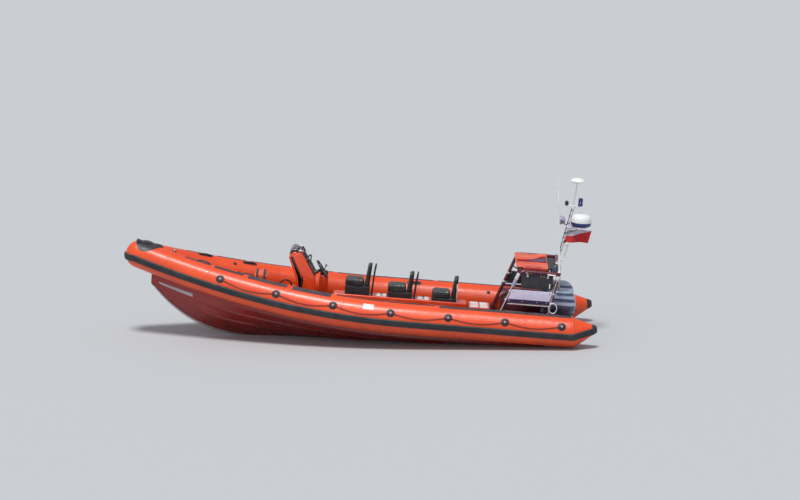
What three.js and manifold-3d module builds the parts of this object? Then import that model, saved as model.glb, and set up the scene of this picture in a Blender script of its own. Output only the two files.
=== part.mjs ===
// Inshore rescue boat: a rigid inflatable with a deep-V hull, twin outboards and a gantry.
// Millimetres. +X points to the bow, +Y to port, +Z up. The origin is on the centreline,
// at the static waterline, at the aft face of the transom.
import * as THREE from 'three';
import { mergeVertices } from 'three/addons/utils/BufferGeometryUtils.js';
import Module from 'manifold-3d';

const wasm = await Module();
wasm.setup();

// Driving dimensions
const gap = 0.3; // between pieces that touch
const deckZ = 120; // top of the cockpit floor
const sponson = {
  radius: 275, bowRadius: 245, halfBeam: 1126, height: 235, sides: 20,
  taperStart: 2200, noseX: 7280, closeX: 7300, riseStart: 2600, rise: 565,
  coneStart: -450, coneEnd: -880, coneRadius: 55, coneRise: 85, fadeStart: 4500,
  breaks: [2950, 5200], // stations where the tube's chambers part
};
const keel = { depth: -530, riseStart: 5000, stemX: 7040, stemRise: 820, power: 2.8 };
const chine = { halfWidth: 980, closeX: 7080, drop: 370 };
const strake = { angle: -9, halfHeight: 60, stand: 30, aftX: -830 };
const lifeline = {
  angle: 28, sag: 15, patchRadius: 75, ropeRadius: 8, pitch: 1000, first: -250, count: 7,
};
const transom = { thickness: 60, top: 230, halfWidth: 860 };
const liftingPads = { radius: 75, rise: 10, places: [[1200, 560], [4200, 450]] }; // x and y to port
const pod = { aftX: 1400, foreX: 3800, halfWidth: 170, top: 400 };
const gantry = {
  y: 815, tube: 30, top: 1185, frontFootX: 940, frontTopX: 540, rearFootX: 28, rearTopX: -150,
  midBarZ: 600, bearerY: 300, trayHalf: 500,
};
// The folded righting bag: a roll on a wide ledge whose outer folds hang beyond the tray's edges
const bag = {
  aftX: 20, foreX: 630, rollHalf: 275, rollTop: 1325, ledgeHalf: 660, ledgeTop: 1250,
  foldFoot: 1152, foldForeX: 505,
};
const engine = {
  y: 350, tiltX: -10, tiltZ: 285, steerX: -200, shaftZ: -600, propX: -610, plateZ: -390,
  cowlBottom: 420, cowlTop: 835, apronBottom: 360, swivelFoot: -100, swivelHead: 262,
  pinRadius: 22, hubAftX: -550,
};
const mastLine = { footX: -128, footZ: 1215, topX: -340, topZ: 2290, radius: 23 };
const wheel = { x: 4020, z: 790, radius: 165, rake: 35 };

const rad = THREE.MathUtils.degToRad;
const v3 = (x, y, z) => new THREE.Vector3(x, y, z);

// A closed mesh as a solid, its shared vertices merged
function solidOf(geometry) {
  const bare = geometry.index ? geometry.toNonIndexed() : geometry.clone();
  bare.deleteAttribute('normal');
  bare.deleteAttribute('uv');
  const merged = mergeVertices(bare, 1e-3);
  return new wasm.Manifold(new wasm.Mesh({
    numProp: 3,
    vertProperties: new Float32Array(merged.attributes.position.array),
    triVerts: new Uint32Array(merged.index.array),
  }));
}

function geometryOf(solid) {
  const mesh = solid.getMesh();
  const geometry = new THREE.BufferGeometry();
  geometry.setAttribute('position', new THREE.BufferAttribute(new Float32Array(mesh.vertProperties), 3));
  geometry.setIndex(new THREE.BufferAttribute(new Uint32Array(mesh.triVerts), 1));
  return geometry;
}

const join = (...parts) => geometryOf(parts.map(solidOf).reduce((a, b) => a.add(b)));
const cut = (body, ...tools) => (
  geometryOf(tools.reduce((rest, tool) => rest.subtract(solidOf(tool)), solidOf(body))));
const common = (a, b) => geometryOf(solidOf(a).intersect(solidOf(b)));

// The starboard copy of a port geometry: y changes sign
const mirrored = (geometry) => geometryOf(solidOf(geometry).mirror([0, 1, 0]));

// Triangles across a ring that is flat in X, wound as the ring is
function flatCap(ring) {
  const outline = ring.map((p) => new THREE.Vector2(p.y, p.z));
  const faces = THREE.ShapeUtils.triangulateShape(outline, []);
  return THREE.ShapeUtils.isClockWise(outline) ? faces.map(([a, b, c]) => [a, c, b]) : faces;
}

// Rings of points joined into one closed skin, with a fan or a flat cap at each end
function loft(rings, flatEnds = false) {
  const count = rings[0].length;
  const points = rings.flat();
  const faces = [];
  for (let i = 0; i + 1 < rings.length; i += 1) {
    for (let j = 0; j < count; j += 1) {
      const k = (j + 1) % count;
      const [a, b, c, d] = [i * count + j, i * count + k, (i + 1) * count + k, (i + 1) * count + j];
      faces.push(a, b, c, a, c, d);
    }
  }
  for (const [ring, start, turn] of [[rings[0], 0, true], [rings.at(-1), points.length - count, false]]) {
    if (flatEnds) {
      const cap = flatCap(ring).flatMap(([a, b, c]) => (turn ? [c, b, a] : [a, b, c]));
      faces.push(...cap.map((n) => n + start));
      continue;
    }
    const centre = ring.reduce((sum, p) => sum.add(p), v3(0, 0, 0)).divideScalar(count);
    const tip = points.push(centre) - 1;
    for (let j = 0; j < count; j += 1) {
      const k = (j + 1) % count;
      faces.push(...(turn ? [tip, start + k, start + j] : [tip, start + j, start + k]));
    }
  }
  const geometry = new THREE.BufferGeometry().setFromPoints(points);
  geometry.setIndex(faces);
  return solidOf(geometry).volume() > 0 ? geometry : flipped(geometry);
}

function flipped(geometry) {
  const index = Array.from(geometry.index.array);
  for (let i = 0; i < index.length; i += 3) {
    [index[i], index[i + 1]] = [index[i + 1], index[i]];
  }
  geometry.setIndex(index);
  return geometry;
}

// A round bar from one point to another, its end radius free
function rod(from, to, radius, endRadius = radius, sides = 12) {
  const along = to.clone().sub(from);
  const bar = new THREE.CylinderGeometry(endRadius, radius, along.length(), sides);
  bar.translate(0, along.length() / 2, 0);
  bar.applyQuaternion(new THREE.Quaternion().setFromUnitVectors(v3(0, 1, 0), along.normalize()));
  return bar.translate(from.x, from.y, from.z);
}

function block([x0, y0, z0], [x1, y1, z1]) {
  const box = new THREE.BoxGeometry(x1 - x0, y1 - y0, z1 - z0);
  return box.translate((x0 + x1) / 2, (y0 + y1) / 2, (z0 + z1) / 2);
}

// A side profile in X and Z carried across from y0 to y1, with its edges rounded over
function sidePiece(profile, y0, y1, bevel = 0, segments = 2) {
  const shape = new THREE.Shape(profile.map(([x, z]) => new THREE.Vector2(x, z)));
  const piece = new THREE.ExtrudeGeometry(shape, {
    depth: y1 - y0 - 2 * bevel, bevelEnabled: bevel > 0, bevelThickness: bevel, bevelSize: bevel,
    bevelOffset: -bevel, bevelSegments: segments, curveSegments: 8,
  });
  return piece.rotateX(Math.PI / 2).translate(0, y1 - bevel, 0);
}

// A rectangle with its corners cut as arcs, as a profile
function roundedOutline(x0, z0, x1, z1, radius, steps = 2) {
  const corners = [[x1 - radius, z0 + radius, -90], [x1 - radius, z1 - radius, 0],
    [x0 + radius, z1 - radius, 90], [x0 + radius, z0 + radius, 180]];
  return corners.flatMap(([cx, cz, start]) => Array.from({ length: steps + 1 }, (_, i) => {
    const turn = rad(start + 90 * i / steps);
    return [cx + radius * Math.cos(turn), cz + radius * Math.sin(turn)];
  }));
}

function circleShape(radius, sides) {
  const points = Array.from({ length: sides }, (_, i) => new THREE.Vector2(
    radius * Math.cos(2 * Math.PI * i / sides), radius * Math.sin(2 * Math.PI * i / sides)));
  return new THREE.Shape(points);
}

// A bent round tube through the given points
function bentTube(points, radius, sides = 10, steps = 24) {
  const path = new THREE.CatmullRomCurve3(points, false, 'centripetal');
  return new THREE.ExtrudeGeometry(circleShape(radius, sides), { steps, extrudePath: path });
}

// A turned form: radius and height pairs that start and end on the axis
function turned(profile, x, y, z, sides = 20) {
  const lathe = new THREE.LatheGeometry(profile.map(([r, h]) => new THREE.Vector2(r, h)), sides);
  const upright = lathe.rotateX(Math.PI / 2).translate(x, y, z);
  if (solidOf(upright).volume() > 0) return upright;
  upright.deleteAttribute('normal');
  upright.deleteAttribute('uv');
  return flipped(mergeVertices(upright, 1e-3));
}

const object = new THREE.Group();
const finishes = {
  orange: ['#ff5a1e', 0.45, 0], red: ['#8f120c', 0.4, 0], black: ['#15171a', 0.6, 0],
  gloss: ['#08090b', 0.2, 0], frame: ['#4a1420', 0.4, 0.3], white: ['#f1f1ee', 0.35, 0],
  steel: ['#b9bec4', 0.3, 0.9], blue: ['#3a4a68', 0.3, 0.2], grey: ['#5d6166', 0.6, 0],
  cushion: ['#22272a', 0.7, 0], board: ['#d5d3e6', 0.4, 0], cloth: ['#f0563a', 0.9, 0],
  navy: ['#161d4a', 0.3, 0], flag: ['#c31320', 0.9, 0],
};

function add(name, geometry, finish) {
  const [color, roughness, metalness] = finishes[finish];
  const mesh = new THREE.Mesh(geometry, new THREE.MeshStandardMaterial({ color, roughness, metalness }));
  mesh.name = name;
  object.add(mesh);
}

// Sponson: the centreline of the port tube is level and straight aft, then closes on the
// centreline as a cosine and rises as a square towards the bow
function sponsonCentre(x) {
  const closing = Math.max(0, (x - sponson.taperStart) / (sponson.closeX - sponson.taperStart));
  const rising = Math.max(0, (x - sponson.riseStart) / (sponson.closeX - sponson.riseStart));
  const cone = Math.max(0, (sponson.coneStart - x) / (sponson.coneStart - sponson.coneEnd));
  const z = sponson.height + sponson.rise * rising ** 2 + sponson.coneRise * cone;
  return v3(x, sponson.halfBeam * Math.cos(Math.PI / 2 * closing), z);
}

function sponsonRadius(x) {
  const cone = Math.max(0, (sponson.coneStart - x) / (sponson.coneStart - sponson.coneEnd));
  const bow = Math.max(0, (x - sponson.fadeStart) / (sponson.noseX - sponson.fadeStart));
  const radius = sponson.radius + (sponson.bowRadius - sponson.radius) * bow;
  return radius + (sponson.coneRadius - radius) * cone;
}

// A frame on the tube: its centre, the outward direction, the upward one and the radius
function tubeFrame(x) {
  const centre = sponsonCentre(x);
  const ahead = sponsonCentre(x + 1).sub(sponsonCentre(x - 1)).normalize();
  const out = v3(-ahead.y, ahead.x, 0).normalize();
  return { centre, out, up: ahead.clone().cross(out), radius: sponsonRadius(x) };
}

function onTube(frame, angle, distance) {
  const { centre, out, up } = frame;
  const turn = rad(angle);
  const [across, rise] = [distance * Math.cos(turn), distance * Math.sin(turn)];
  return centre.clone().addScaledVector(out, across).addScaledVector(up, rise);
}

const coneStations = [sponson.coneEnd, -760, -600, sponson.coneStart];
const bowStations = Array.from({ length: 21 }, (_, i) => (
  sponson.taperStart + (sponson.noseX - sponson.taperStart) * i / 20));
const tubeStations = [...coneStations, 800, ...bowStations];

function sponsonSolid(grow) {
  const tube = loft(tubeStations.map((x, at) => {
    const end = at === 0 ? -grow : grow;
    const frame = tubeFrame(at % (tubeStations.length - 1) === 0 ? x + end : x);
    return Array.from({ length: sponson.sides }, (_, i) => (
      onTube(frame, 360 * i / sponson.sides, frame.radius + grow)));
  }));
  const nose = new THREE.SphereGeometry(sponson.bowRadius + grow, sponson.sides, 10);
  const { z } = sponsonCentre(sponson.noseX);
  return join(tube, mirrored(tube), nose.rotateX(Math.PI / 2).translate(sponson.noseX, 0, z));
}

// The sponson is five chambers: two along each side and one round the bow
const sponsonShape = sponsonSolid(0);
const sponsonClear = sponsonSolid(gap);
const [aftBreak, foreBreak] = sponson.breaks;
for (const [name, low, high] of [['aft', -1000, aftBreak], ['fore', aftBreak + gap, foreBreak]]) {
  const chamber = common(sponsonShape, block([low, 0, -500], [high, 2000, 1500]));
  add(`port_${name}_tube`, chamber, 'orange');
  add(`starboard_${name}_tube`, mirrored(chamber), 'orange');
}
add('bow_tube', common(sponsonShape, block([foreBreak + gap, -2000, -500], [8000, 2000, 1500])), 'orange');

// Rubbing strake: a D section that runs from one cone round the nose to the other
function strakeFrames() {
  const port = [strake.aftX, ...tubeStations.slice(1, -1)].map(tubeFrame);
  const last = tubeFrame(sponson.noseX);
  const lead = Math.atan2(last.out.y, last.out.x);
  const nose = Array.from({ length: 9 }, (_, i) => {
    const turn = lead * (1 - i / 4);
    const { z } = sponsonCentre(sponson.noseX);
    return {
      centre: v3(sponson.noseX, 0, z), out: v3(Math.cos(turn), Math.sin(turn), 0), up: v3(0, 0, 1),
      radius: sponson.bowRadius,
    };
  });
  const acrossTo = (v) => v3(v.x, -v.y, v.z);
  const starboard = port.map(({ centre, out, up, radius }) => (
    { centre: acrossTo(centre), out: acrossTo(out), up: acrossTo(up), radius })).reverse();
  return [...port, ...nose, ...starboard];
}

function strakeSolid() {
  const { halfHeight: h, stand } = strake;
  const section = [[-25, -h], [stand * 0.5, -h], [stand * 0.95, -h * 0.5], [stand * 0.95, h * 0.5],
    [stand * 0.5, h], [-25, h]];
  return loft(strakeFrames().map((frame) => {
    const turn = rad(strake.angle);
    const out = frame.out.clone().multiplyScalar(Math.cos(turn)).addScaledVector(frame.up, Math.sin(turn));
    const up = frame.up.clone().multiplyScalar(Math.cos(turn)).addScaledVector(frame.out, -Math.sin(turn));
    return section.map(([a, b]) => (
      frame.centre.clone().addScaledVector(out, frame.radius + a).addScaledVector(up, b)));
  }));
}
add('rubbing_strake', cut(strakeSolid(), sponsonClear), 'black');

// Hull: deep-V sections from the transom to the stem, each with two spray rails
const hullStations = [0, 1500, 3000, 4000, 4700, 5300, 5800, 6200, 6500, 6750, 6920, 7040];
const deckDrop = 310; // the foredeck's floor below the tube's centreline
// Spray rails: share of the way from keel to chine, drop below the bottom
const railSteps = [[0.42, 0], [0.485, 26], [0.5, 0], [0.72, 0], [0.785, 26], [0.8, 0]];
// The side rises into the tube as a bulwark: shares of the chine's half width at its inner head and foot
const bulwark = { flare: 25, head: 0.97, foot: 0.88, headDrop: 100 };
const foredeckInset = 20; // from the bulwark to the foredeck's sides

const deckTop = (x) => Math.max(deckZ, sponsonCentre(x).z - deckDrop);

function chineReach(x) {
  const closing = Math.max(0, (x - sponson.taperStart) / (chine.closeX - sponson.taperStart));
  return chine.halfWidth * Math.cos(Math.PI / 2 * closing);
}

function hullSection(x) {
  const { z } = sponsonCentre(x);
  const rise = Math.max(0, (x - keel.riseStart) / (keel.stemX - keel.riseStart));
  const keelZ = keel.depth + keel.stemRise * rise ** keel.power;
  const chineY = chineReach(x);
  const chineZ = z - chine.drop;
  const fade = Math.min(1, chineY / 500);
  const half = [
    [6, keelZ],
    ...railSteps.map(([share, drop]) => [chineY * share, keelZ + (chineZ - keelZ) * share - drop * fade]),
    [chineY, chineZ],
    [chineY + bulwark.flare, z - bulwark.headDrop],
    [chineY * bulwark.head, z - bulwark.headDrop],
    [chineY * bulwark.foot, deckTop(x)],
  ];
  const port = half.map(([y, h]) => v3(x, y, h));
  const starboard = half.map(([y, h]) => v3(x, -y, h)).reverse();
  return [...port, ...starboard];
}

// The hull moulding has flat pads on its floor for the lifting strops
function hullSolid() {
  const { radius, rise, places } = liftingPads;
  const pads = places.flatMap(([x, y]) => [y, -y].map((at) => (
    rod(v3(x, at, deckZ - 20), v3(x, at, deckZ + rise), radius, radius, 20))));
  return cut(join(loft(hullStations.map(hullSection), true), ...pads), sponsonClear);
}
add('hull', hullSolid(), 'red');

// Transom: a thick board on the deck's aft edge that carries the engines and the rear legs
const { thickness: boardDepth, halfWidth: boardReach, top: boardTop } = transom;
const board = block([0, -boardReach, deckZ + gap], [boardDepth, boardReach, boardTop]);
add('transom', cut(board, sponsonClear), 'red');

// Foredeck: the crowned cover between the tubes, from the well to the bow
function foredeckSolid() {
  return loft(hullStations.filter((x) => x > 5200).map((x) => {
    const { y, z } = sponsonCentre(x);
    const width = y - 60;
    const crown = z + 105;
    const half = [
      [Math.max(4, chineReach(x) * bulwark.foot - foredeckInset), deckTop(x) + gap],
      [Math.max(4, chineReach(x) * bulwark.head - foredeckInset), z - bulwark.headDrop],
      [width, z + 60],
      [width * 0.5, crown],
    ];
    const port = half.map(([across, h]) => v3(x, across, h));
    const starboard = half.map(([across, h]) => v3(x, -across, h)).reverse();
    return [...port, v3(x, 0, crown + 15), ...starboard];
  }));
}
add('foredeck', cut(foredeckSolid(), sponsonClear), 'orange');

// Bow cap: a moulded dome over the meeting of the tubes
function bowCapSolid() {
  const dome = new THREE.SphereGeometry(1, 20, 12);
  dome.scale(215, 190, 150).translate(7185, 0, 905);
  const upper = block([6900, -300, 880], [7500, 300, 1200]);
  return cut(common(dome, upper), sponsonClear, foredeckSolid());
}
add('bow_cap', bowCapSolid(), 'gloss');

// Lifelines: round patches along each tube with a rope that sags between them
function lifelineSolid() {
  const xs = Array.from({ length: lifeline.count }, (_, i) => lifeline.first + lifeline.pitch * i);
  const patches = xs.map((x) => {
    const frame = tubeFrame(x);
    const from = onTube(frame, lifeline.angle, frame.radius - 20);
    const to = onTube(frame, lifeline.angle, frame.radius + 16);
    return rod(from, to, lifeline.patchRadius, lifeline.patchRadius * 0.8, 12);
  });
  const points = [];
  for (let i = 0; i + 1 < xs.length; i += 1) {
    for (const share of [0, 0.25, 0.5, 0.75]) {
      points.push([xs[i] + lifeline.pitch * share, Math.sin(Math.PI * share)]);
    }
  }
  points.push([xs.at(-1), 0]);
  const route = points.map(([x, dip]) => {
    const frame = tubeFrame(x);
    return onTube(frame, lifeline.angle - lifeline.sag * dip, frame.radius + 16);
  });
  return cut(join(...patches, bentTube(route, lifeline.ropeRadius, 5, 48)), sponsonClear);
}
const portLifeline = lifelineSolid();
add('port_lifeline', portLifeline, 'black');
add('starboard_lifeline', mirrored(portLifeline), 'black');

// Console: a raked pod whose top leans forward, with a hood over the dash
const floor = deckZ + gap;
const consoleProfile = [[4110, floor], [4450, floor], [4460, 600], [4630, 1010], [4560, 1105], [4400, 1118],
  [4130, 680]];
const consoleClear = join(...[-gap, gap].map((shift) => (
  sidePiece(consoleProfile.map(([x, z]) => [x + shift, z + gap]), -300, 300, 0))));
const helmAxis = v3(-Math.cos(rad(wheel.rake)), 0, Math.sin(rad(wheel.rake)));
const hub = v3(wheel.x, 0, wheel.z);
const bossDepth = 34;
const columnFoot = hub.clone().addScaledVector(helmAxis, -320);
const columnTop = hub.clone().addScaledVector(helmAxis, -bossDepth / 2 - gap);
const column = rod(columnFoot, columnTop, 32, 26, 14);
add('console', join(sidePiece(consoleProfile, -290, 290, 18), column), 'orange');
const screenProfile = [[4440, 1090], [4600, 1050], [4612, 1098], [4560, 1150], [4480, 1156]];
add('windscreen', cut(sidePiece(screenProfile, -270, 270, 12), consoleClear), 'gloss');
const railPoints = [[4310, 250, 920], [4246, 245, 970], [4232, 200, 980], [4232, 0, 980]];
const railRoute = [...railPoints, ...railPoints.slice(0, 3).reverse().map(([x, y, z]) => [x, -y, z])];
const railTube = bentTube(railRoute.map(([x, y, z]) => v3(x, y, z)), 14, 8, 24);
add('console_grab_rail', cut(railTube, consoleClear), 'black');
const podProfile = [[4455, floor], [4960, floor], [4900, 330], [4700, 420], [4460.6, 440]];
add('forward_pod', sidePiece(podProfile, -200, 200, 15), 'orange');
const hoopPoints = [[4800, 300], [4760, 470], [4660, 540], [4560, 500], [4540, 380]];
add('forward_hoop', cut(bentTube(hoopPoints.map(([x, z]) => v3(x, 0, z)), 16, 8, 20),
  sidePiece([[4440, 100], [4970, 100], [4900, 331], [4700, 421], [4440, 442]], -200, 200, 0)), 'black');
add('gear_bag', sidePiece(roundedOutline(4985, floor, 5215, 690, 60), -240, 240, 30), 'cloth');

// Helm: the wheel turns on the raked column that comes out of the dash
function steeringWheelSolid() {
  const rim = new THREE.TorusGeometry(wheel.radius, 14, 8, 28);
  const boss = new THREE.CylinderGeometry(38, 38, bossDepth, 16).rotateX(Math.PI / 2);
  const spokes = [90, 210, 330].map((turn) => {
    const reach = v3(Math.cos(rad(turn)), Math.sin(rad(turn)), 0).multiplyScalar(wheel.radius);
    return rod(v3(0, 0, 0), reach, 12, 10, 8);
  });
  const whole = join(rim, boss, ...spokes);
  whole.applyQuaternion(new THREE.Quaternion().setFromUnitVectors(v3(0, 0, 1), helmAxis));
  return whole.translate(hub.x, hub.y, hub.z);
}
add('steering_wheel', steeringWheelSolid(), 'black');
const throttle = { aftX: 3900, foreX: 4060, podTop: 640, boxTop: 720 };
const podOutline = roundedOutline(throttle.aftX, floor, throttle.foreX, throttle.podTop, 30);
add('throttle_pod', sidePiece(podOutline, -285, -185, 12), 'orange');
const boxFoot = throttle.podTop + gap;
const boxOutline = roundedOutline(throttle.aftX + 10, boxFoot, throttle.foreX - 10, throttle.boxTop, 20);
const [pivotX, pivotZ] = [throttle.aftX + 80, throttle.boxTop - 20];
const levers = [-215, -255].map((y) => (
  rod(v3(pivotX, y, pivotZ), v3(pivotX - 30, y, pivotZ + 130), 9, 9, 8)));
add('throttle_box', join(sidePiece(boxOutline, -280, -190, 8), ...levers), 'black');

// Seats in line on the centre pod: name, x of the backrest's foot, cushion top, backrest top
const seats = [
  { name: 'helm', x: 3150, top: 690, back: 960 },
  { name: 'middle', x: 2390, top: 640, back: 870 },
  { name: 'aft', x: 1600, top: 590, back: 845 },
];
const seatThickness = 130;
const seatRake = 0.12; // how far each backrest leans aft for its height
add('centre_pod', join(
  sidePiece(roundedOutline(pod.aftX, floor, pod.foreX, pod.top, 40), -pod.halfWidth, pod.halfWidth, 20),
  ...seats.map(({ x, top }) => (
    sidePiece(roundedOutline(x, pod.top - 60, x + 440, top - seatThickness, 15), -150, 150, 12))),
), 'orange');
for (const { name, x, top, back } of seats) {
  const base = top - seatThickness;
  const squab = sidePiece(roundedOutline(x + 105, base + gap, x + 450, top, 45), -175, 175, 35);
  add(`${name}_seat_cushion`, squab, 'cushion');
  const rake = (back - base) * seatRake;
  const rest = [[x + 10, base + gap], [x + 100, base + gap], [x + 100 - rake, back], [x + 25 - rake, back]];
  add(`${name}_backrest`, sidePiece(rest, -165, 165, 20), 'cushion');
}
for (const { name, x, back } of seats.slice(0, 2)) {
  const points = [[x - 40, 110, pod.top - 6], [x - 70, 110, back - 120], [x - 85, 60, back - 10],
    [x - 85, -60, back - 10], [x - 70, -110, back - 120], [x - 40, -110, pod.top - 6]];
  add(`${name}_grab_rail`, cut(bentTube(points.map(([px, py, pz]) => v3(px, py, pz)), 13, 8, 30),
    block([x - 200, -200, 0], [x + 200, 200, pod.top + gap])), 'black');
}

// Stowage box behind the aft seat, with a lid hinged along its aft edge
const stowage = { aftX: 1000, foreX: 1370, halfWidth: 260, wall: 15, rim: 320, lid: 40 };
function stowageSolid() {
  const { aftX, foreX, halfWidth, wall, rim } = stowage;
  const outer = block([aftX, -halfWidth, floor], [foreX, halfWidth, rim]);
  const [innerHalf, innerTop] = [halfWidth - wall, rim + 10];
  return cut(outer, block([aftX + wall, -innerHalf, floor + wall], [foreX - wall, innerHalf, innerTop]));
}
add('stowage_box', stowageSolid(), 'orange');
add('stowage_lid', sidePiece(roundedOutline(stowage.aftX - 6, stowage.rim + gap, stowage.foreX + 6,
  stowage.rim + gap + stowage.lid, 12), -stowage.halfWidth - 6, stowage.halfWidth + 6, 10), 'orange');

// Gantry: a side frame on each side of the engine well and a top frame across them
function gantrySide() {
  const { y, tube, top, frontFootX, frontTopX, rearFootX, rearTopX, midBarZ } = gantry;
  const rearFootZ = transom.top + gap;
  const frontAt = (z) => frontFootX + (frontTopX - frontFootX) * (z - floor) / (top - floor);
  const rearAt = (z) => rearFootX + (rearTopX - rearFootX) * (z - rearFootZ) / (top - rearFootZ);
  const sunk = 40;
  const frame = join(
    rod(v3(frontAt(floor - sunk), y, floor - sunk), v3(frontTopX, y, top), tube),
    rod(v3(rearAt(rearFootZ - sunk), y, rearFootZ - sunk), v3(rearTopX, y, top), tube),
    rod(v3(frontTopX, y, top), v3(rearTopX, y, top), tube),
    rod(v3(frontAt(midBarZ), y, midBarZ), v3(rearAt(midBarZ), y, midBarZ), tube * 0.7),
    new THREE.SphereGeometry(tube, 12, 8).translate(frontTopX, y, top),
    new THREE.SphereGeometry(tube, 12, 8).translate(rearTopX, y, top),
    block([frontFootX - 80, y - 34, floor], [frontFootX + 80, y + 30, floor + 14]),
    block([1, y - 34, rearFootZ], [transom.thickness - 1, y + 30, rearFootZ + 14]),
    block([rearTopX - 29, y - 29, top], [rearTopX + 29, y + 29, top + tube]),
  );
  return cut(frame, block([300, y - 100, -100], [1200, y + 100, floor]),
    block([-300, y - 100, -100], [200, y + 100, rearFootZ]), sponsonClear);
}
const portGantry = gantrySide();
const grabLoop = new THREE.TorusGeometry(1, 0.12, 8, 24).scale(70, 100, 90).rotateX(Math.PI / 2);
grabLoop.translate(-90, gantry.y + gantry.tube + 5, 570);
add('port_gantry_leg_frame', join(portGantry, grabLoop), 'frame');
add('starboard_gantry_leg_frame', mirrored(portGantry), 'frame');
function gantryTop() {
  const { y, tube, top, frontTopX, rearTopX, bearerY, trayHalf } = gantry;
  const frame = join(
    rod(v3(frontTopX, -y, top), v3(frontTopX, y, top), tube),
    rod(v3(rearTopX, -y, top), v3(rearTopX, y, top), tube),
    ...[-bearerY, bearerY].map((at) => rod(v3(rearTopX, at, top), v3(frontTopX, at, top), tube * 0.8)),
    block([-92, -trayHalf, top + tube - 12], [515, trayHalf, top + tube]),
    block([-200, -62, top], [-108, 62, top + tube]),
  );
  const between = block([-500, -y + tube + gap, top - 90], [900, y - tube - gap, top + 90]);
  return common(frame, between);
}
add('gantry_top_frame', gantryTop(), 'frame');

// Blank side boards outside the legs and shallow equipment boxes under the top rails
const boardProfile = [[-15, 630], [738, 630], [650, 860], [-60, 860]];
const boxProfile = roundedOutline(-55, 885, 500, gantry.top - gantry.tube - gap, 20);
for (const [name, side] of [['port', 1], ['starboard', -1]]) {
  const legFace = gantry.y + gantry.tube;
  const sideBoard = sidePiece(boardProfile, legFace + gap, legFace + 12, 2, 1);
  const gearBox = sidePiece(boxProfile, 750, 835, 8);
  add(`${name}_side_board`, side > 0 ? sideBoard : mirrored(sideBoard), 'board');
  add(`${name}_equipment_box`, side > 0 ? gearBox : mirrored(gearBox), 'black');
}

// Righting bag: the folded bag on the top frame's tray
function rightingBagSolid() {
  const { aftX, foreX, rollHalf, rollTop, ledgeHalf, ledgeTop, foldFoot, foldForeX } = bag;
  const foot = gantry.top + gantry.tube + gap;
  const foldInner = gantry.trayHalf + 3;
  const foldProfile = roundedOutline(aftX + 4, foldFoot, foldForeX, ledgeTop - 12, 30);
  return join(
    sidePiece(roundedOutline(aftX + 15, ledgeTop - 30, foreX - 6, rollTop, 40), -rollHalf, rollHalf, 25),
    sidePiece(roundedOutline(aftX, foot, foreX, ledgeTop, 12), -ledgeHalf, ledgeHalf, 8),
    sidePiece(foldProfile, foldInner, ledgeHalf - 3, 15),
    sidePiece(foldProfile, 3 - ledgeHalf, -foldInner, 15),
  );
}
add('righting_bag', rightingBagSolid(), 'cloth');

// Mast with its radar, stern light, masthead lights and satellite dome
const mastLean = (mastLine.topX - mastLine.footX) / (mastLine.topZ - mastLine.footZ);
const mastAt = (z) => mastLine.footX + mastLean * (z - mastLine.footZ);
const radar = { x: -500, z: 1915 };
function mastSolid() {
  const { footX, footZ, topX, topZ, radius } = mastLine;
  const foot = footZ + gap;
  return join(
    rod(v3(footX, 0, foot + 8), v3(topX, 0, topZ), radius),
    block([footX - 70, -60, foot], [footX + 18, 60, foot + 14]),
    block([mastAt(radar.z) - 330, -70, radar.z - 14], [mastAt(radar.z) + 20, 70, radar.z]),
    rod(v3(mastAt(1868), 0, 1868), v3(radar.x + 100, 0, radar.z - 12), 9, 9, 8),
    rod(v3(-200, 0, topZ - 12), v3(-480, 0, topZ - 12), 12, 12, 8),
    rod(v3(topX, 0, topZ - 20), v3(-375, 0, 2682), 11, 9, 8),
    rod(v3(-375, 0, 2672), v3(-375, 0, 2690), 16, 16, 10),
    rod(v3(mastAt(2010), 0, 2010), v3(-215, 0, 2010), 12, 12, 8),
    block([-315, -30, 1348], [mastAt(1355) + 10, 30, 1360]),
    turned([[0, 0], [40, 0], [40, 200], [22, 205], [22, 250], [0, 250]], -280, 0, 1359, 16),
  );
}
add('mast', mastSolid(), 'white');

const radomeProfile = [[0, gap], [120, gap], [176, 30], [184, 120], [168, 185], [120, 225], [0, 240]];
add('radome', turned(radomeProfile, radar.x, 0, radar.z, 28), 'white');
const domeProfile = [[0, gap], [60, gap], [130, 40], [128, 55], [80, 88], [0, 100]];
add('satellite_dome', turned(domeProfile, -375, 0, 2690, 24), 'white');
const strobeProfile = [[0, gap], [44, gap], [44, 20], [40, 120], [25, 140], [0, 145]];
add('strobe_light', turned(strobeProfile, -460, 0, mastLine.topZ, 16), 'navy');
const mastheadProfile = [[0, gap], [32, gap], [32, 60], [20, 75], [0, 78]];
add('masthead_light', turned(mastheadProfile, -215, 0, mastLine.topZ, 14), 'black');
const lampDrum = turned([[0, 0], [60, 0], [78, 60], [78, 110], [0, 110]], 0, 0, 0, 20).rotateY(Math.PI / 2);
add('searchlight', lampDrum.translate(-215 + gap, 0, 2010), 'grey');

function flagSolid() {
  const stations = Array.from({ length: 9 }, (_, i) => i / 8);
  return loft(stations.map((s) => {
    const y = 28 * Math.sin(2.2 * Math.PI * s);
    const z = 1618 + 20 * s;
    const x = mastAt(z) - mastLine.radius - 0.1 - 420 * s;
    return [[-4, 0], [4, 0], [4, 230], [-4, 230]].map(([side, h]) => v3(x + mastLean * h, y + side, z + h));
  }));
}
add('flag', flagSolid(), 'flag');
const aerialFoot = v3(gantry.rearTopX, gantry.y, gantry.top + gantry.tube + gap);
add('whip_aerial', join(
  rod(aerialFoot, aerialFoot.clone().add(v3(0, 0, 40)), 28, 24, 12),
  rod(aerialFoot.clone().add(v3(0, 0, 20)), v3(-25, gantry.y, 2560), 17, 13, 10),
  rod(v3(-25, gantry.y, 2540), v3(0, gantry.y, 2885), 7, 5, 8),
), 'white');

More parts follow.
